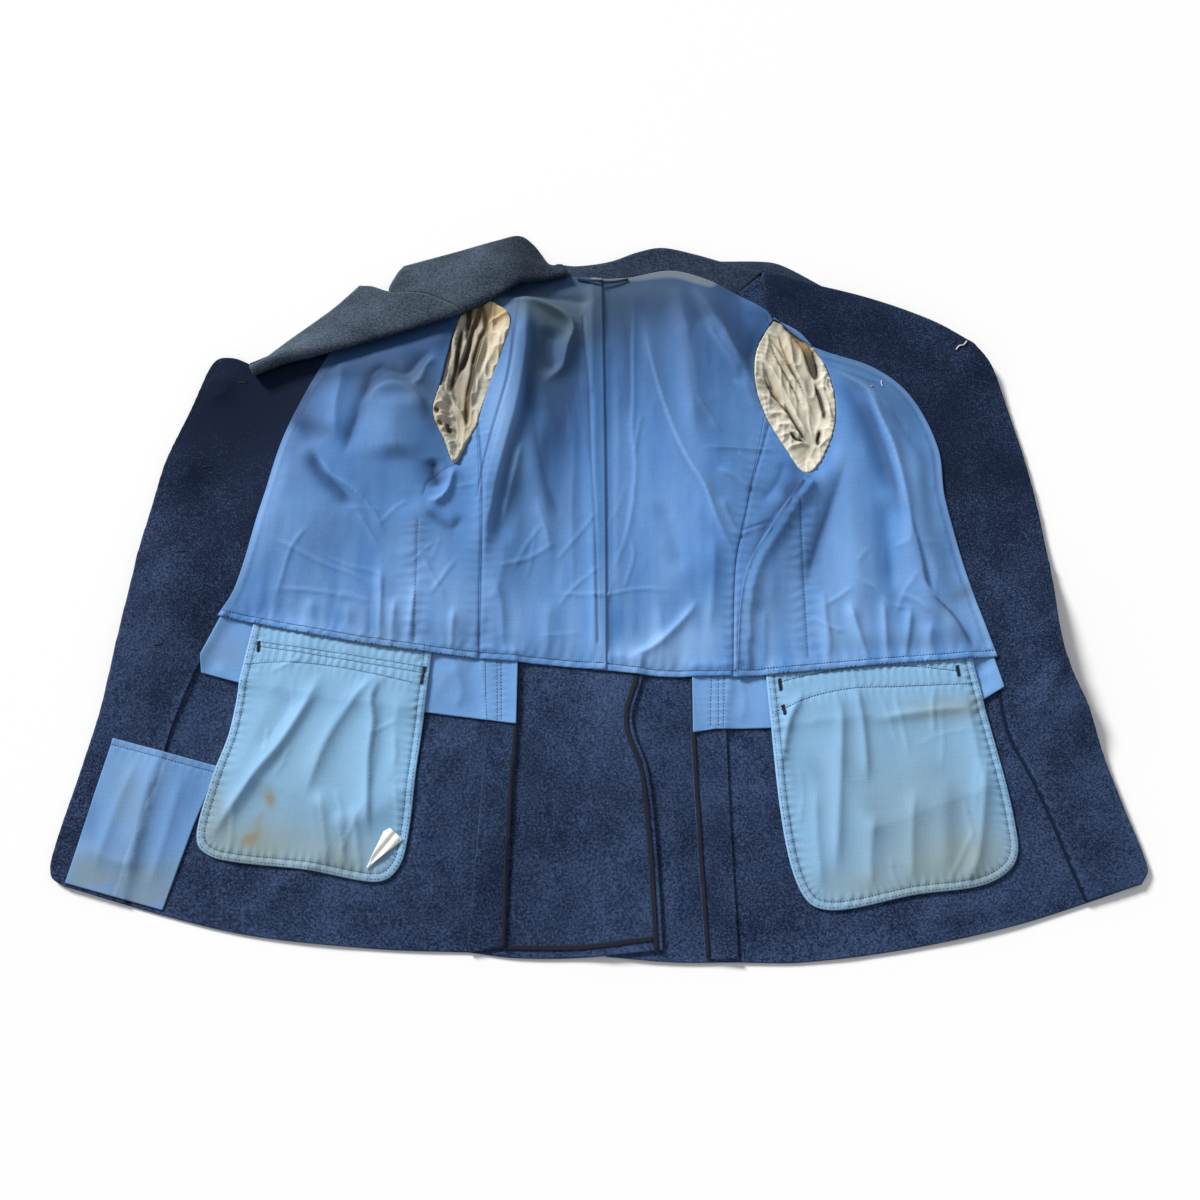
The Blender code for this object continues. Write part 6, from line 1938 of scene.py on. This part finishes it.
def build_lining():
    """Half lining: the right back, then the left back over its pleat, then the fronts."""
    sizes = bpy.context.scene.tunic_sizes
    colours = bpy.context.scene.tunic_colours
    sateen = cotton("blue sateen", colours.lining, streaks=0.24, creases=0.10)
    seam_left, seam_right = curve(SIDE_SEAM_LEFT), curve(SIDE_SEAM_RIGHT)
    seam_left = seam_left[seam_left[:, 1] > -0.117]
    seam_right = seam_right[seam_right[:, 1] > -0.136]
    half = GAP / 2
    centre = curve([(2, 334), (5, 100), (6, -129)])
    fold = curve(LINING_RIGHT_FOLD)
    hem = curve(LINING_HEM, MIDDLE_STEP)
    dart_left, dart_right = curve(DART_LEFT, MIDDLE_STEP), curve(DART_RIGHT, MIDDLE_STEP)
    bend_left = curve(DART_CURVE_LEFT, MIDDLE_STEP)
    pleat = curve(PLEAT_LINE, MIDDLE_STEP)
    side_left = curve(SEAM_LEFT_LINING, MIDDLE_STEP)
    side_right = curve(SEAM_RIGHT_LINING, MIDDLE_STEP)
    hem_line = beside(hem, HEM_INSET)
    seams = [(side_left, 0.0014, 0.0018, 0.0002), (side_right, 0.0010, 0.0016, 0.0003),
             (dart_left, 0.0005, 0.0018, 0.0003), (dart_right, 0.0006, 0.0018, 0.0003),
             (bend_left, 0.0004, 0.0016, 0.0002), (pleat, 0.0010, 0.0016, 0.0),
             (hem_line, 0.0004, 0.0014, 0.0003)]
    relief = lining_relief(hem, seams)
    relief_over = lining_relief(hem, seams, [centre])
    lines = [line for line, _, _, _ in seams]
    lay(sizes.lining, sateen, "lining", {
        "lining_back_right": joined(
            beside(seam_right, half), curve(ARMHOLE_RIGHT_BACK),
            curve(FACING_RIGHT_INNER[:2])[::-1], curve(NECK_RIGHT)[::-1],
            beside(centre, -0.013), curve(LINING_HEM_RIGHT_BACK)),
        "lining_side_right": joined(
            beside(seam_right, -half), curve([(181, 160), (199, 124), (221, 86)]),
            beside(fold, 0.012)[4:]),
    }, relief=relief, fields=lining_fields, seams=lines, step=0.0024, softness=12)
    shoulder_left = curve([ARMHOLE_LEFT_FRONT[-1], NECK_LEFT[0]])
    lay(sizes.lining, sateen, "lining", {
        "lining_front_right": joined(
            fold[::-1], curve(ARMHOLE_RIGHT_FRONT[2:]), curve(LINING_RIGHT_EDGE),
            curve(LINING_HEM_RIGHT_FRONT)[::-1]),
        "lining_back_left": joined(
            beside(seam_left, -half), curve(ARMHOLE_LEFT_BACK), beside(shoulder_left, -half),
            curve(NECK_LEFT), centre, curve(LINING_HEM_LEFT_BACK)[::-1]),
        "lining_front_left": joined(
            beside(seam_left, half), curve(ARMHOLE_LEFT_FRONT), beside(shoulder_left, half),
            curve(UNDER_LAPEL_LEFT[:5]), curve(LINING_LEFT_EDGE),
            curve(LINING_HEM_LEFT_FRONT)),
    }, relief=relief_over, fields=lining_fields, seams=lines, step=0.0024, softness=12)


# Folds of the sleeve linings, and the sunken slits between them, which also carry painted shade
SLEEVE_FOLDS_LEFT = [
    ([(-126, 280), (-132, 244), (-138, 219), (-141, 188), (-142, 150)], 2.5, 7, 6.0),
    ([(-158, 290), (-165, 256), (-162, 237), (-168, 212)], 5, 4, 4.5),
    ([(-140, 312), (-142, 283), (-150, 250), (-156, 225), (-163, 200)], 3, 3.5, 4.0),
    ([(-163, 205), (-164, 186), (-159, 170), (-149, 155), (-145, 132)], 2.5, 3.5, 4.5),
    ([(-104, 290), (-113, 253), (-132, 209), (-142, 171)], 5, 5, 3.0),
    ([(-128, 276), (-121, 281), (-100, 288)], 2, 3, 2.6),
    ([(-186, 165), (-174, 173), (-166, 170)], 2, 2.5, 3.2),
    ([(-182, 152), (-170, 157), (-158, 156)], 2, 2.5, 3.0),
    ([(-174, 137), (-165, 145), (-156, 140)], 2, 2.5, 2.8),
    ([(-167, 120), (-157, 127), (-150, 120)], 2, 2.5, 2.6),
    ([(-180, 198), (-172, 186), (-166, 174)], 2, 2.5, 2.8),
    ([(-172, 176), (-164, 166), (-160, 150)], 2, 2.2, 2.4),
    ([(-176, 160), (-168, 164), (-162, 160)], 1.6, 1.8, 2.0),
]
SLEEVE_SLITS_LEFT = [
    ([(-136, 312), (-129, 270), (-134, 259), (-136, 250), (-141, 226), (-142, 209),
      (-145, 191), (-147, 170), (-146, 130)], 2.6, 1.6, 1000),
    ([(-150, 314), (-149, 301), (-148, 266), (-150, 250)], 1.6, 2.2, 800),
    ([(-155, 275), (-158, 242), (-160, 219), (-166, 180)], 1.6, 1.6, 800),
    ([(-134, 314), (-138, 283), (-144, 264), (-149, 231), (-158, 209), (-160, 196)],
     1.5, 2.2, 700),
    ([(-177, 150), (-174, 147), (-171, 148)], 2.2, 2.2, 900),
    ([(-181, 165), (-178, 163), (-176, 164)], 1.6, 1.6, 900),
    ([(-168, 149), (-164, 139), (-161, 142)], 1.8, 1.8, 900),
]
SLEEVE_FOLDS_RIGHT = [
    ([(180, 240), (183, 228), (192, 215), (206, 182), (218, 151), (237, 118)], 5, 3, 5.5),
    ([(205, 272), (212, 250), (214, 228), (223, 197), (229, 166), (240, 145)], 6, 3, 4.6),
    ([(228, 258), (238, 231), (240, 206), (240, 194)], 2.2, 5, 6.0),
    ([(250, 214), (246, 190), (250, 170), (250, 145)], 3, 4, 4.4),
    ([(238, 197), (248, 206), (256, 220)], 1.8, 2.5, 2.4),
    ([(239, 194), (250, 191), (260, 176)], 1.8, 2.5, 2.8),
    ([(246, 166), (250, 157), (258, 146)], 1.8, 2.5, 2.4),
    ([(184, 160), (200, 163), (209, 156)], 2, 2.6, 2.6),
    ([(190, 147), (207, 149), (217, 141)], 2, 2.6, 2.6),
    ([(196, 133), (212, 140), (222, 132)], 2, 2.6, 2.6),
    ([(203, 119), (219, 126), (230, 122)], 2, 2.6, 2.6),
    ([(173, 206), (184, 201), (190, 194)], 2, 2.6, 2.2),
    ([(176, 186), (190, 179), (206, 168)], 2, 2.6, 3.0),
    ([(240, 130), (232, 118), (226, 104)], 2, 2.6, 2.2),
    ([(250, 132), (242, 124), (234, 116)], 2, 2.4, 2.2),
]
SLEEVE_SLITS_RIGHT = [
    ([(199, 286), (212, 270), (226, 254), (233, 238), (238, 215), (240, 198)], 2.0, 3.0, 1000),
    ([(222, 264), (231, 246), (236, 226), (239, 200)], 2.6, 2.2, 1600),
    ([(238, 200), (243, 180), (245, 166), (246, 150)], 1.2, 1.4, 800),
    ([(203, 175), (209, 159), (217, 142), (226, 126)], 1.2, 1.2, 700),
    ([(206, 142), (214, 132), (224, 127)], 0.9, 1.3, 700),
    ([(184, 222), (187, 206), (193, 185), (204, 172)], 3.2, 3.2, 300),
    ([(186, 266), (202, 239), (221, 198), (225, 182), (226, 166)], 0.8, 0.8, 350),
    ([(241, 142), (237, 130), (236, 120)], 1.4, 1.4, 800),
    ([(200, 268), (206, 240), (214, 215), (220, 196)], 0.8, 0.8, 300),
    ([(190, 262), (196, 236), (206, 212), (216, 188), (224, 160)], 0.9, 0.9, 400),
    ([(180, 215), (188, 192), (200, 172), (214, 150)], 0.9, 0.9, 400),
]


def build_sleeve_linings():
    """Cream sleeve linings seen in the armholes: sewn up at the armhole edge, sunk and crumpled
    inside it, with painted shade in their slits, valleys and shaded patches and under the body's
    edge, and painted highlight on their fold crests."""
    sizes = bpy.context.scene.tunic_sizes
    colours = bpy.context.scene.tunic_colours
    # Its grey colour is a dark brown used for painted shade.
    cream = cotton("striped sleeve cotton", colours.sleeve, streaks=0.35, creases=0.3,
                   bump=0.0006, grey=(0.016, 0.010, 0.006), soil=(0.420, 0.285, 0.120))
    for name, hole, table, slits, seed in (
            ("sleeve_lining_left", armhole_loops()[0], SLEEVE_FOLDS_LEFT,
             SLEEVE_SLITS_LEFT, 91),
            ("sleeve_lining_right", armhole_loops()[1], SLEEVE_FOLDS_RIGHT,
             SLEEVE_SLITS_RIGHT, 95)):
        loop = grown(hole[::3], 0.006)
        ring = np.vstack([hole, hole[:1]])[::2]
        plan, triangles = cut(loop, 0.0014, [])
        away, _, run = nearest(plan, ring)
        within = inside(hole, plan)
        rim = SURFACE.at(SURFACE.shell_low, ring) - sizes.lining - GAP
        for _ in range(30):
            rim = (np.roll(rim, 1) + 2 * rim + np.roll(rim, -1)) / 4
        level = np.interp(run, np.linspace(0, 1, len(rim)), rim)
        bottom = SURFACE.at(SURFACE.sleeve_floor, plan) + GAP
        lowest = SURFACE.at(SURFACE.shell_low, plan) - sizes.lining - GAP
        lowest = np.maximum(np.minimum(lowest, level), bottom)
        sink = smoothstep(away / 0.02)
        slit = np.clip(1.9 * folds(plan, slits), 0, 1)
        shape = folds(plan, table) + 0.0035 * slit * -1
        valley = np.abs(noise(plan, 0.007, 0.02, seed))
        crumple = (1 - valley) ** 3 * 0.0018
        sway = noise(plan, 0.016, 0.016, seed + 1)
        gather = np.sin(2 * math.pi * run * length_of(ring) / 0.0075 + 4 * sway)
        top = SURFACE.over(np.vstack([grown(hole, 0.003), grown(hole, 0.003)[:1]])[::2])
        for _ in range(6):
            top = (np.roll(top, 1) + 2 * top + np.roll(top, -1)) / 4
        brim = np.interp(run, np.linspace(0, 1, len(top)), top) - 0.0012
        inner = brim * (1 - sink) + (bottom + 0.0055) * sink
        inner = inner + shape * smoothstep(away / 0.005) + crumple
        calm = np.clip(1 - patches(plan, SLEEVE_CALM), 0, 1)
        calm *= 0.3 + 0.7 * np.abs(noise(plan, 0.02, 0.02, seed + 2))
        inner = inner + 0.0008 * calm * gather * np.exp(-away / 0.009)
        height = np.where(within, np.maximum(inner, bottom), lowest)
        tucked = smoothstep(away / 0.0010)
        height = np.where(within, height * tucked + lowest * (1 - tucked), height)
        hidden = np.where(within, 0.0, smoothstep(away / 0.006))
        shade = patches(plan, SLEEVE_SHADE)
        # Grey here is painted shade: slits, valleys, shaded patches and under the body's edge;
        # pale adds painted highlight on fold crests.
        fields = {"edge": away,
                  "pale": 0.45 + 60 * np.clip(folds(plan, table), -0.004, 0.006),
                  "grey": np.clip(1.2 * slit + hidden + 0.22 * valley + shade, 0, 1.5),
                  "soil": 0.8 * patches(plan, SLEEVE_SOIL)}
        mesh = sheet_mesh(name, plan, triangles, height, sizes.lining, fields)
        piece = put(name + "_cloth", mesh, cream, "sleeve_lining", [name])
        flat, area = flat_cut(loop)
        min(area, flat[0] * flat[1])


def roll_shade(rows):
    """Painted shade on the wool of a roll: darker below its crest, where it turns under, and
    towards the back neck.
    """
    places = np.array(rows)
    share = np.linspace(0, 1, len(places))[:, None]
    low = 0.9 * smoothstep((0.38 - share) / 0.3)
    right = 0.75 * smoothstep((places[..., 0] + 0.16) / 0.10)
    return low + right + 0.12 * noise(places[..., :2].reshape(-1, 2), 0.03, 0.03,
                                      13).reshape(places.shape[:2])


def build_rolls():
    """The left lapel and collar, which stand in a soft roll on the lining."""
    sizes = bpy.context.scene.tunic_sizes
    half = sizes.lapel / 2
    fine = 0.003
    lapel = standing_rows(
        curve(ROLL_LEFT, fine), curve(LAPEL_EDGE, fine),
        np.array([[-0.386, 0.214], [-0.391, 0.221]]), curve(GORGE_LEFT, fine)[::-1], 26,
        sizes.crest, half)
    grid_sheet("lapel_left", lapel, sizes.lapel, wool(worn=True), "wool_faded",
               ["lapel_left"], "folded", ["facing_left", "lining_front_left"],
               deep=roll_shade(lapel))
    step = 0.0014
    gorge = beside(curve(COLLAR_FRONT_LEFT, fine), -step)
    roll = curve(ROLL_COLLAR + [(-40, 337)], fine) + np.array([step, 0.0])
    fall = smoothstep((roll[:, 0] + 0.115) / 0.07)
    collar = standing_rows(
        roll, curve(COLLAR_EDGE_LEFT + [(-45, 358)], fine), gorge,
        np.array([[-0.0386, 0.337], [-0.045, 0.358]]), 30,
        sizes.crest * (1 - fall) + 0.013 * fall, half)
    grid_sheet("collar_left", collar, sizes.lapel, wool(worn=True), "wool_faded",
               ["collar_left"], "folded", ["lining_back_left"], deep=roll_shade(collar))


def build_hanger():
    """Cloth loop below the collar, sagging a little between its two ends."""
    t = np.linspace(0, 1, 40)
    x = (-0.026 + 0.058 * t)
    rows = []
    for edge in np.linspace(-0.5, 0.5, 5):
        y = 0.333 - 0.006 * np.sin(math.pi * t) + edge * 0.0028
        z = SURFACE.over(np.column_stack([x, y])) + 0.0012 + 0.002 * np.sin(math.pi * t)
        rows.append(np.column_stack([x, y, z]))
    grid_sheet("hanger_loop", rows, 0.0008, wool_like_tape(), "wool", ["hanger_loop"], "laid",
               ["lining_back_left"])


def build_stitching():
    """Machine stitches, whip stitches, bar tacks, buttonholes and loose threads."""
    sizes = bpy.context.scene.tunic_sizes
    colours = bpy.context.scene.tunic_colours
    dark = thread_finish("dark thread", colours.thread)
    blue = thread_finish("blue thread", tuple(0.6 * part for part in colours.lining))
    white = thread_finish("white thread", colours.tag)
    length, radius = sizes.stitch, sizes.thread
    hem = curve(LINING_HEM, FINE_STEP)
    hem_line = beside(hem, HEM_INSET)
    machine = [(hem_line, length, 0.0006, radius * 1.3, 0)]
    for line in STAY_LINES_LEFT + STAY_LINES_RIGHT:
        machine.append((curve(line, FINE_STEP), length, 0.001, radius, 0))
    for line in MOUTH_LEFT + MOUTH_RIGHT:
        machine.append((curve(line, FINE_STEP), length, 0.0006, radius * 1.15, 0))
    for sides in (BAG_LEFT_SIDES, BAG_RIGHT_SIDES):
        side = curve(sides, FINE_STEP)
        turn = -1 if area_of(side) < 0 else 1
        machine.append((beside(side, turn * 0.0075), length, 0.0007, radius, 0))
        machine.append((beside(side, turn * 0.0022), length, 0.0012, radius * 0.8, 0))
    pocket_top = beside(curve([CORNER_POCKET[0], CORNER_POCKET[-1]], FINE_STEP), -0.006)
    machine.append((pocket_top, length, 0.0008, radius, 0))
    stitch_rows("machine_stitches", dark, "wool", machine)
    stitch_rows("seam_stitches", blue, "lining", [
        (curve(DART_LEFT), 0.0018, 0.0022, radius * 0.8, 0),
        (curve(DART_RIGHT), 0.0018, 0.0022, radius * 0.8, 0),
        (curve(DART_CURVE_LEFT), 0.0018, 0.0014, radius * 0.8, 0)])
    front = hem[hem[:, 0] < -0.125]
    front_right = hem[hem[:, 0] > 0.14]
    whip = [(beside(front, 0.0006), 0.0036, 0.0006, radius * 1.5, 62),
            (beside(front_right, 0.0006), 0.0034, 0.0012, radius * 1.3, 62)]
    for x0, y0, x1, y1 in BAR_TACKS:
        line = np.array([(x0, y0), (x1, y1)]) * MM
        whip.append((line, 0.0036, -0.0029, radius * 1.5, 80))
        whip.append((line + 0.0008, 0.0042, -0.0030, radius * 1.4, 100))
    for x, y in BUTTON_MARKS:
        spot = np.array([(x - 4, y), (x + 4, y + 1)]) * MM
        whip.append((spot, 0.0045, -0.0035, radius * 1.5, 35))
        whip.append((spot, 0.0040, -0.0030, radius * 1.4, 140))
    for x0, y0, x1, y1 in BUTTONHOLES:
        line = np.array([(x0, y0), (x1, y1)]) * MM
        middle, run = line.mean(axis=0), line[1] - line[0]
        run = run / np.linalg.norm(run) * min(np.linalg.norm(run), 0.024)
        across = np.array([-run[1], run[0]]) / np.linalg.norm(run) * 0.0009
        for sign in (-1, 1):
            side = np.array([middle - run / 2, middle + run / 2]) + sign * across
            whip.append((side, 0.0022, -0.0009, radius * 0.9, 90))
    stitch_rows("hand_stitches", dark, "wool", whip)
    cream = thread_finish("cream thread", colours.sleeve)
    armholes = []
    for hole in armhole_loops():
        ring = grown(hole[::3], -0.0012)
        ring = np.vstack([ring, ring[:1]])
        armholes.append((ring, 0.0030, 0.0004, radius * 1.3, 70))
    stitch_rows("armhole_stitches", cream, "sleeve_lining", armholes)
    paths = []
    plan = even(curve([(411, 251), (407, 246), (402, 245), (398, 240)], 0.002), 0.002)
    paths.append((np.column_stack([plan, SURFACE.over(plan) + 0.0009]), 0.0008))
    bits = [[(-366, 240), (-363, 237), (-361, 233)], [(311, 200), (310, 196), (311, 192)],
            [(300, 191), (297, 189)]]
    for bit in bits:
        plan = curve(bit, 0.001)
        paths.append((np.column_stack([plan, SURFACE.over(plan) + 0.0008]), 0.0005))
    threads("white_threads", white, "tag", paths)


def build_stage():
    """Pale floor, plain soft light, and a camera at the photograph's view."""
    studio = bpy.context.scene.tunic_studio
    scene = bpy.context.scene
    span = 4.0
    corners = np.array([(-span, -span, 0), (span, -span, 0), (span, span, 0), (-span, span, 0)])
    floor = bpy.data.objects.new("floor", mesh_of("floor", corners, np.array([(0, 1, 2, 3)])))
    scene.collection.objects.link(floor)
    pale = bpy.data.materials.new("pale floor")
    pale.use_nodes = True
    shader = pale.node_tree.nodes["Principled BSDF"]
    shader.inputs["Base Color"].default_value = (0.86, 0.86, 0.86, 1.0)
    shader.inputs["Roughness"].default_value = 0.9
    floor.data.materials.append(pale)
    world = bpy.data.worlds.new("studio")
    scene.world = world
    world.use_nodes = True
    back = world.node_tree.nodes["Background"]
    back.inputs[0].default_value = (0.93, 0.96, 1.0, 1.0)
    back.inputs[1].default_value = studio.sky
    data = bpy.data.lights.new("key", "SUN")
    data.energy = studio.key
    data.angle = math.radians(14.0)
    data.color = (1.0, 0.985, 0.955)
    lamp = bpy.data.objects.new("key", data)
    scene.collection.objects.link(lamp)
    lamp.location = (0.0, 0.0, 2.0)
    lamp.rotation_euler = (-(math.pi / 2 - studio.height), 0.0, studio.turn)
    scene.view_settings.view_transform = "Standard"
    view = bpy.data.cameras.new("photo view")
    view.lens = studio.lens
    view.sensor_width = 36.0
    view.clip_start = 0.02
    camera = bpy.data.objects.new("photo view", view)
    scene.collection.objects.link(camera)
    camera.location = (OFFSET[0], OFFSET[1] - studio.back, studio.away * math.sin(studio.tilt))
    camera.rotation_euler = (math.pi / 2 - studio.tilt, 0.0, 0.0)
    scene.camera = camera


class TUNIC_OT_buttons(bpy.types.Operator):
    """Add the plain buttons below the left front"""

    bl_idname = "tunic.buttons"
    bl_label = "Buttons"

    def execute(self, context):
        build_buttons()
        return {"FINISHED"}


class TUNIC_OT_sleeves(bpy.types.Operator):
    """Lay the tucked collar end and the sleeves on the surface"""

    bl_idname = "tunic.sleeves"
    bl_label = "Sleeves"

    def execute(self, context):
        build_tucked_end()
        build_sleeves()
        return {"FINISHED"}


class TUNIC_OT_shell(bpy.types.Operator):
    """Lay the wool backs and fronts, with the collar and lapel that turn under"""

    bl_idname = "tunic.shell"
    bl_label = "Wool body"

    def execute(self, context):
        build_shell()
        build_tucked_rolls()
        return {"FINISHED"}


class TUNIC_OT_facings(bpy.types.Operator):
    """Lay the facings, the seam allowances and their bindings"""

    bl_idname = "tunic.facings"
    bl_label = "Facings and bindings"

    def execute(self, context):
        build_facings()
        build_bindings()
        return {"FINISHED"}


class TUNIC_OT_pockets(bpy.types.Operator):
    """Lay the stays, the pocket bags and the torn tag"""

    bl_idname = "tunic.pockets"
    bl_label = "Stays and pocket bags"

    def execute(self, context):
        build_pockets()
        return {"FINISHED"}


class TUNIC_OT_lining(bpy.types.Operator):
    """Lay the half lining with its folds"""

    bl_idname = "tunic.lining"
    bl_label = "Lining"

    def execute(self, context):
        build_lining()
        return {"FINISHED"}


class TUNIC_OT_sleeve_linings(bpy.types.Operator):
    """Add the crumpled sleeve linings in the armholes"""

    bl_idname = "tunic.sleeve_linings"
    bl_label = "Sleeve linings"

    def execute(self, context):
        build_sleeve_linings()
        return {"FINISHED"}


class TUNIC_OT_rolls(bpy.types.Operator):
    """Add the standing lapel and collar, and the hanger loop"""

    bl_idname = "tunic.rolls"
    bl_label = "Lapel and collar"

    def execute(self, context):
        build_hanger()
        build_rolls()
        return {"FINISHED"}


class TUNIC_OT_stitching(bpy.types.Operator):
    """Add stitches, bar tacks, buttonholes and threads"""

    bl_idname = "tunic.stitching"
    bl_label = "Stitching"

    def execute(self, context):
        build_stitching()
        return {"FINISHED"}


class TUNIC_OT_stage(bpy.types.Operator):
    """Add the floor, the light and the camera"""

    bl_idname = "tunic.stage"
    bl_label = "Stage"

    def execute(self, context):
        build_stage()
        return {"FINISHED"}


STEPS = (TUNIC_OT_stage, TUNIC_OT_buttons, TUNIC_OT_sleeves, TUNIC_OT_shell,
         TUNIC_OT_facings, TUNIC_OT_pockets, TUNIC_OT_lining, TUNIC_OT_sleeve_linings,
         TUNIC_OT_rolls, TUNIC_OT_stitching)


class TUNIC_PT_panel(bpy.types.Panel):
    """Steps and settings of the tunic"""

    bl_idname = "TUNIC_PT_panel"
    bl_label = "Service tunic"
    bl_space_type = "VIEW_3D"
    bl_region_type = "UI"
    bl_category = "Tunic"

    def draw(self, context):
        for group in (context.scene.tunic_sizes, context.scene.tunic_colours,
                      context.scene.tunic_studio):
            box = self.layout.box()
            for key in group.bl_rna.properties.keys():
                if key not in ("rna_type", "name"):
                    box.prop(group, key)
        for step in STEPS:
            self.layout.operator(step.bl_idname)


CLASSES = (ClothColours, ClothSizes, StudioSizes, *STEPS, TUNIC_PT_panel)


def register():
    """Register the classes and hang the settings on the scene."""
    for kind in CLASSES:
        bpy.utils.register_class(kind)
    bpy.types.Scene.tunic_colours = PointerProperty(type=ClothColours)
    bpy.types.Scene.tunic_sizes = PointerProperty(type=ClothSizes)
    bpy.types.Scene.tunic_studio = PointerProperty(type=StudioSizes)


def unregister():
    """Remove the settings and the classes."""
    del bpy.types.Scene.tunic_studio
    del bpy.types.Scene.tunic_sizes
    del bpy.types.Scene.tunic_colours
    for kind in reversed(CLASSES):
        bpy.utils.unregister_class(kind)


def main():
    """Build everything in order."""
    register()
    bpy.ops.tunic.stage()
    bpy.ops.tunic.buttons()
    bpy.ops.tunic.sleeves()
    bpy.ops.tunic.shell()
    bpy.ops.tunic.facings()
    bpy.ops.tunic.pockets()
    bpy.ops.tunic.lining()
    bpy.ops.tunic.sleeve_linings()
    bpy.ops.tunic.rolls()
    bpy.ops.tunic.stitching()
    bpy.context.view_layer.update()


if __name__ == "__main__":
    main()
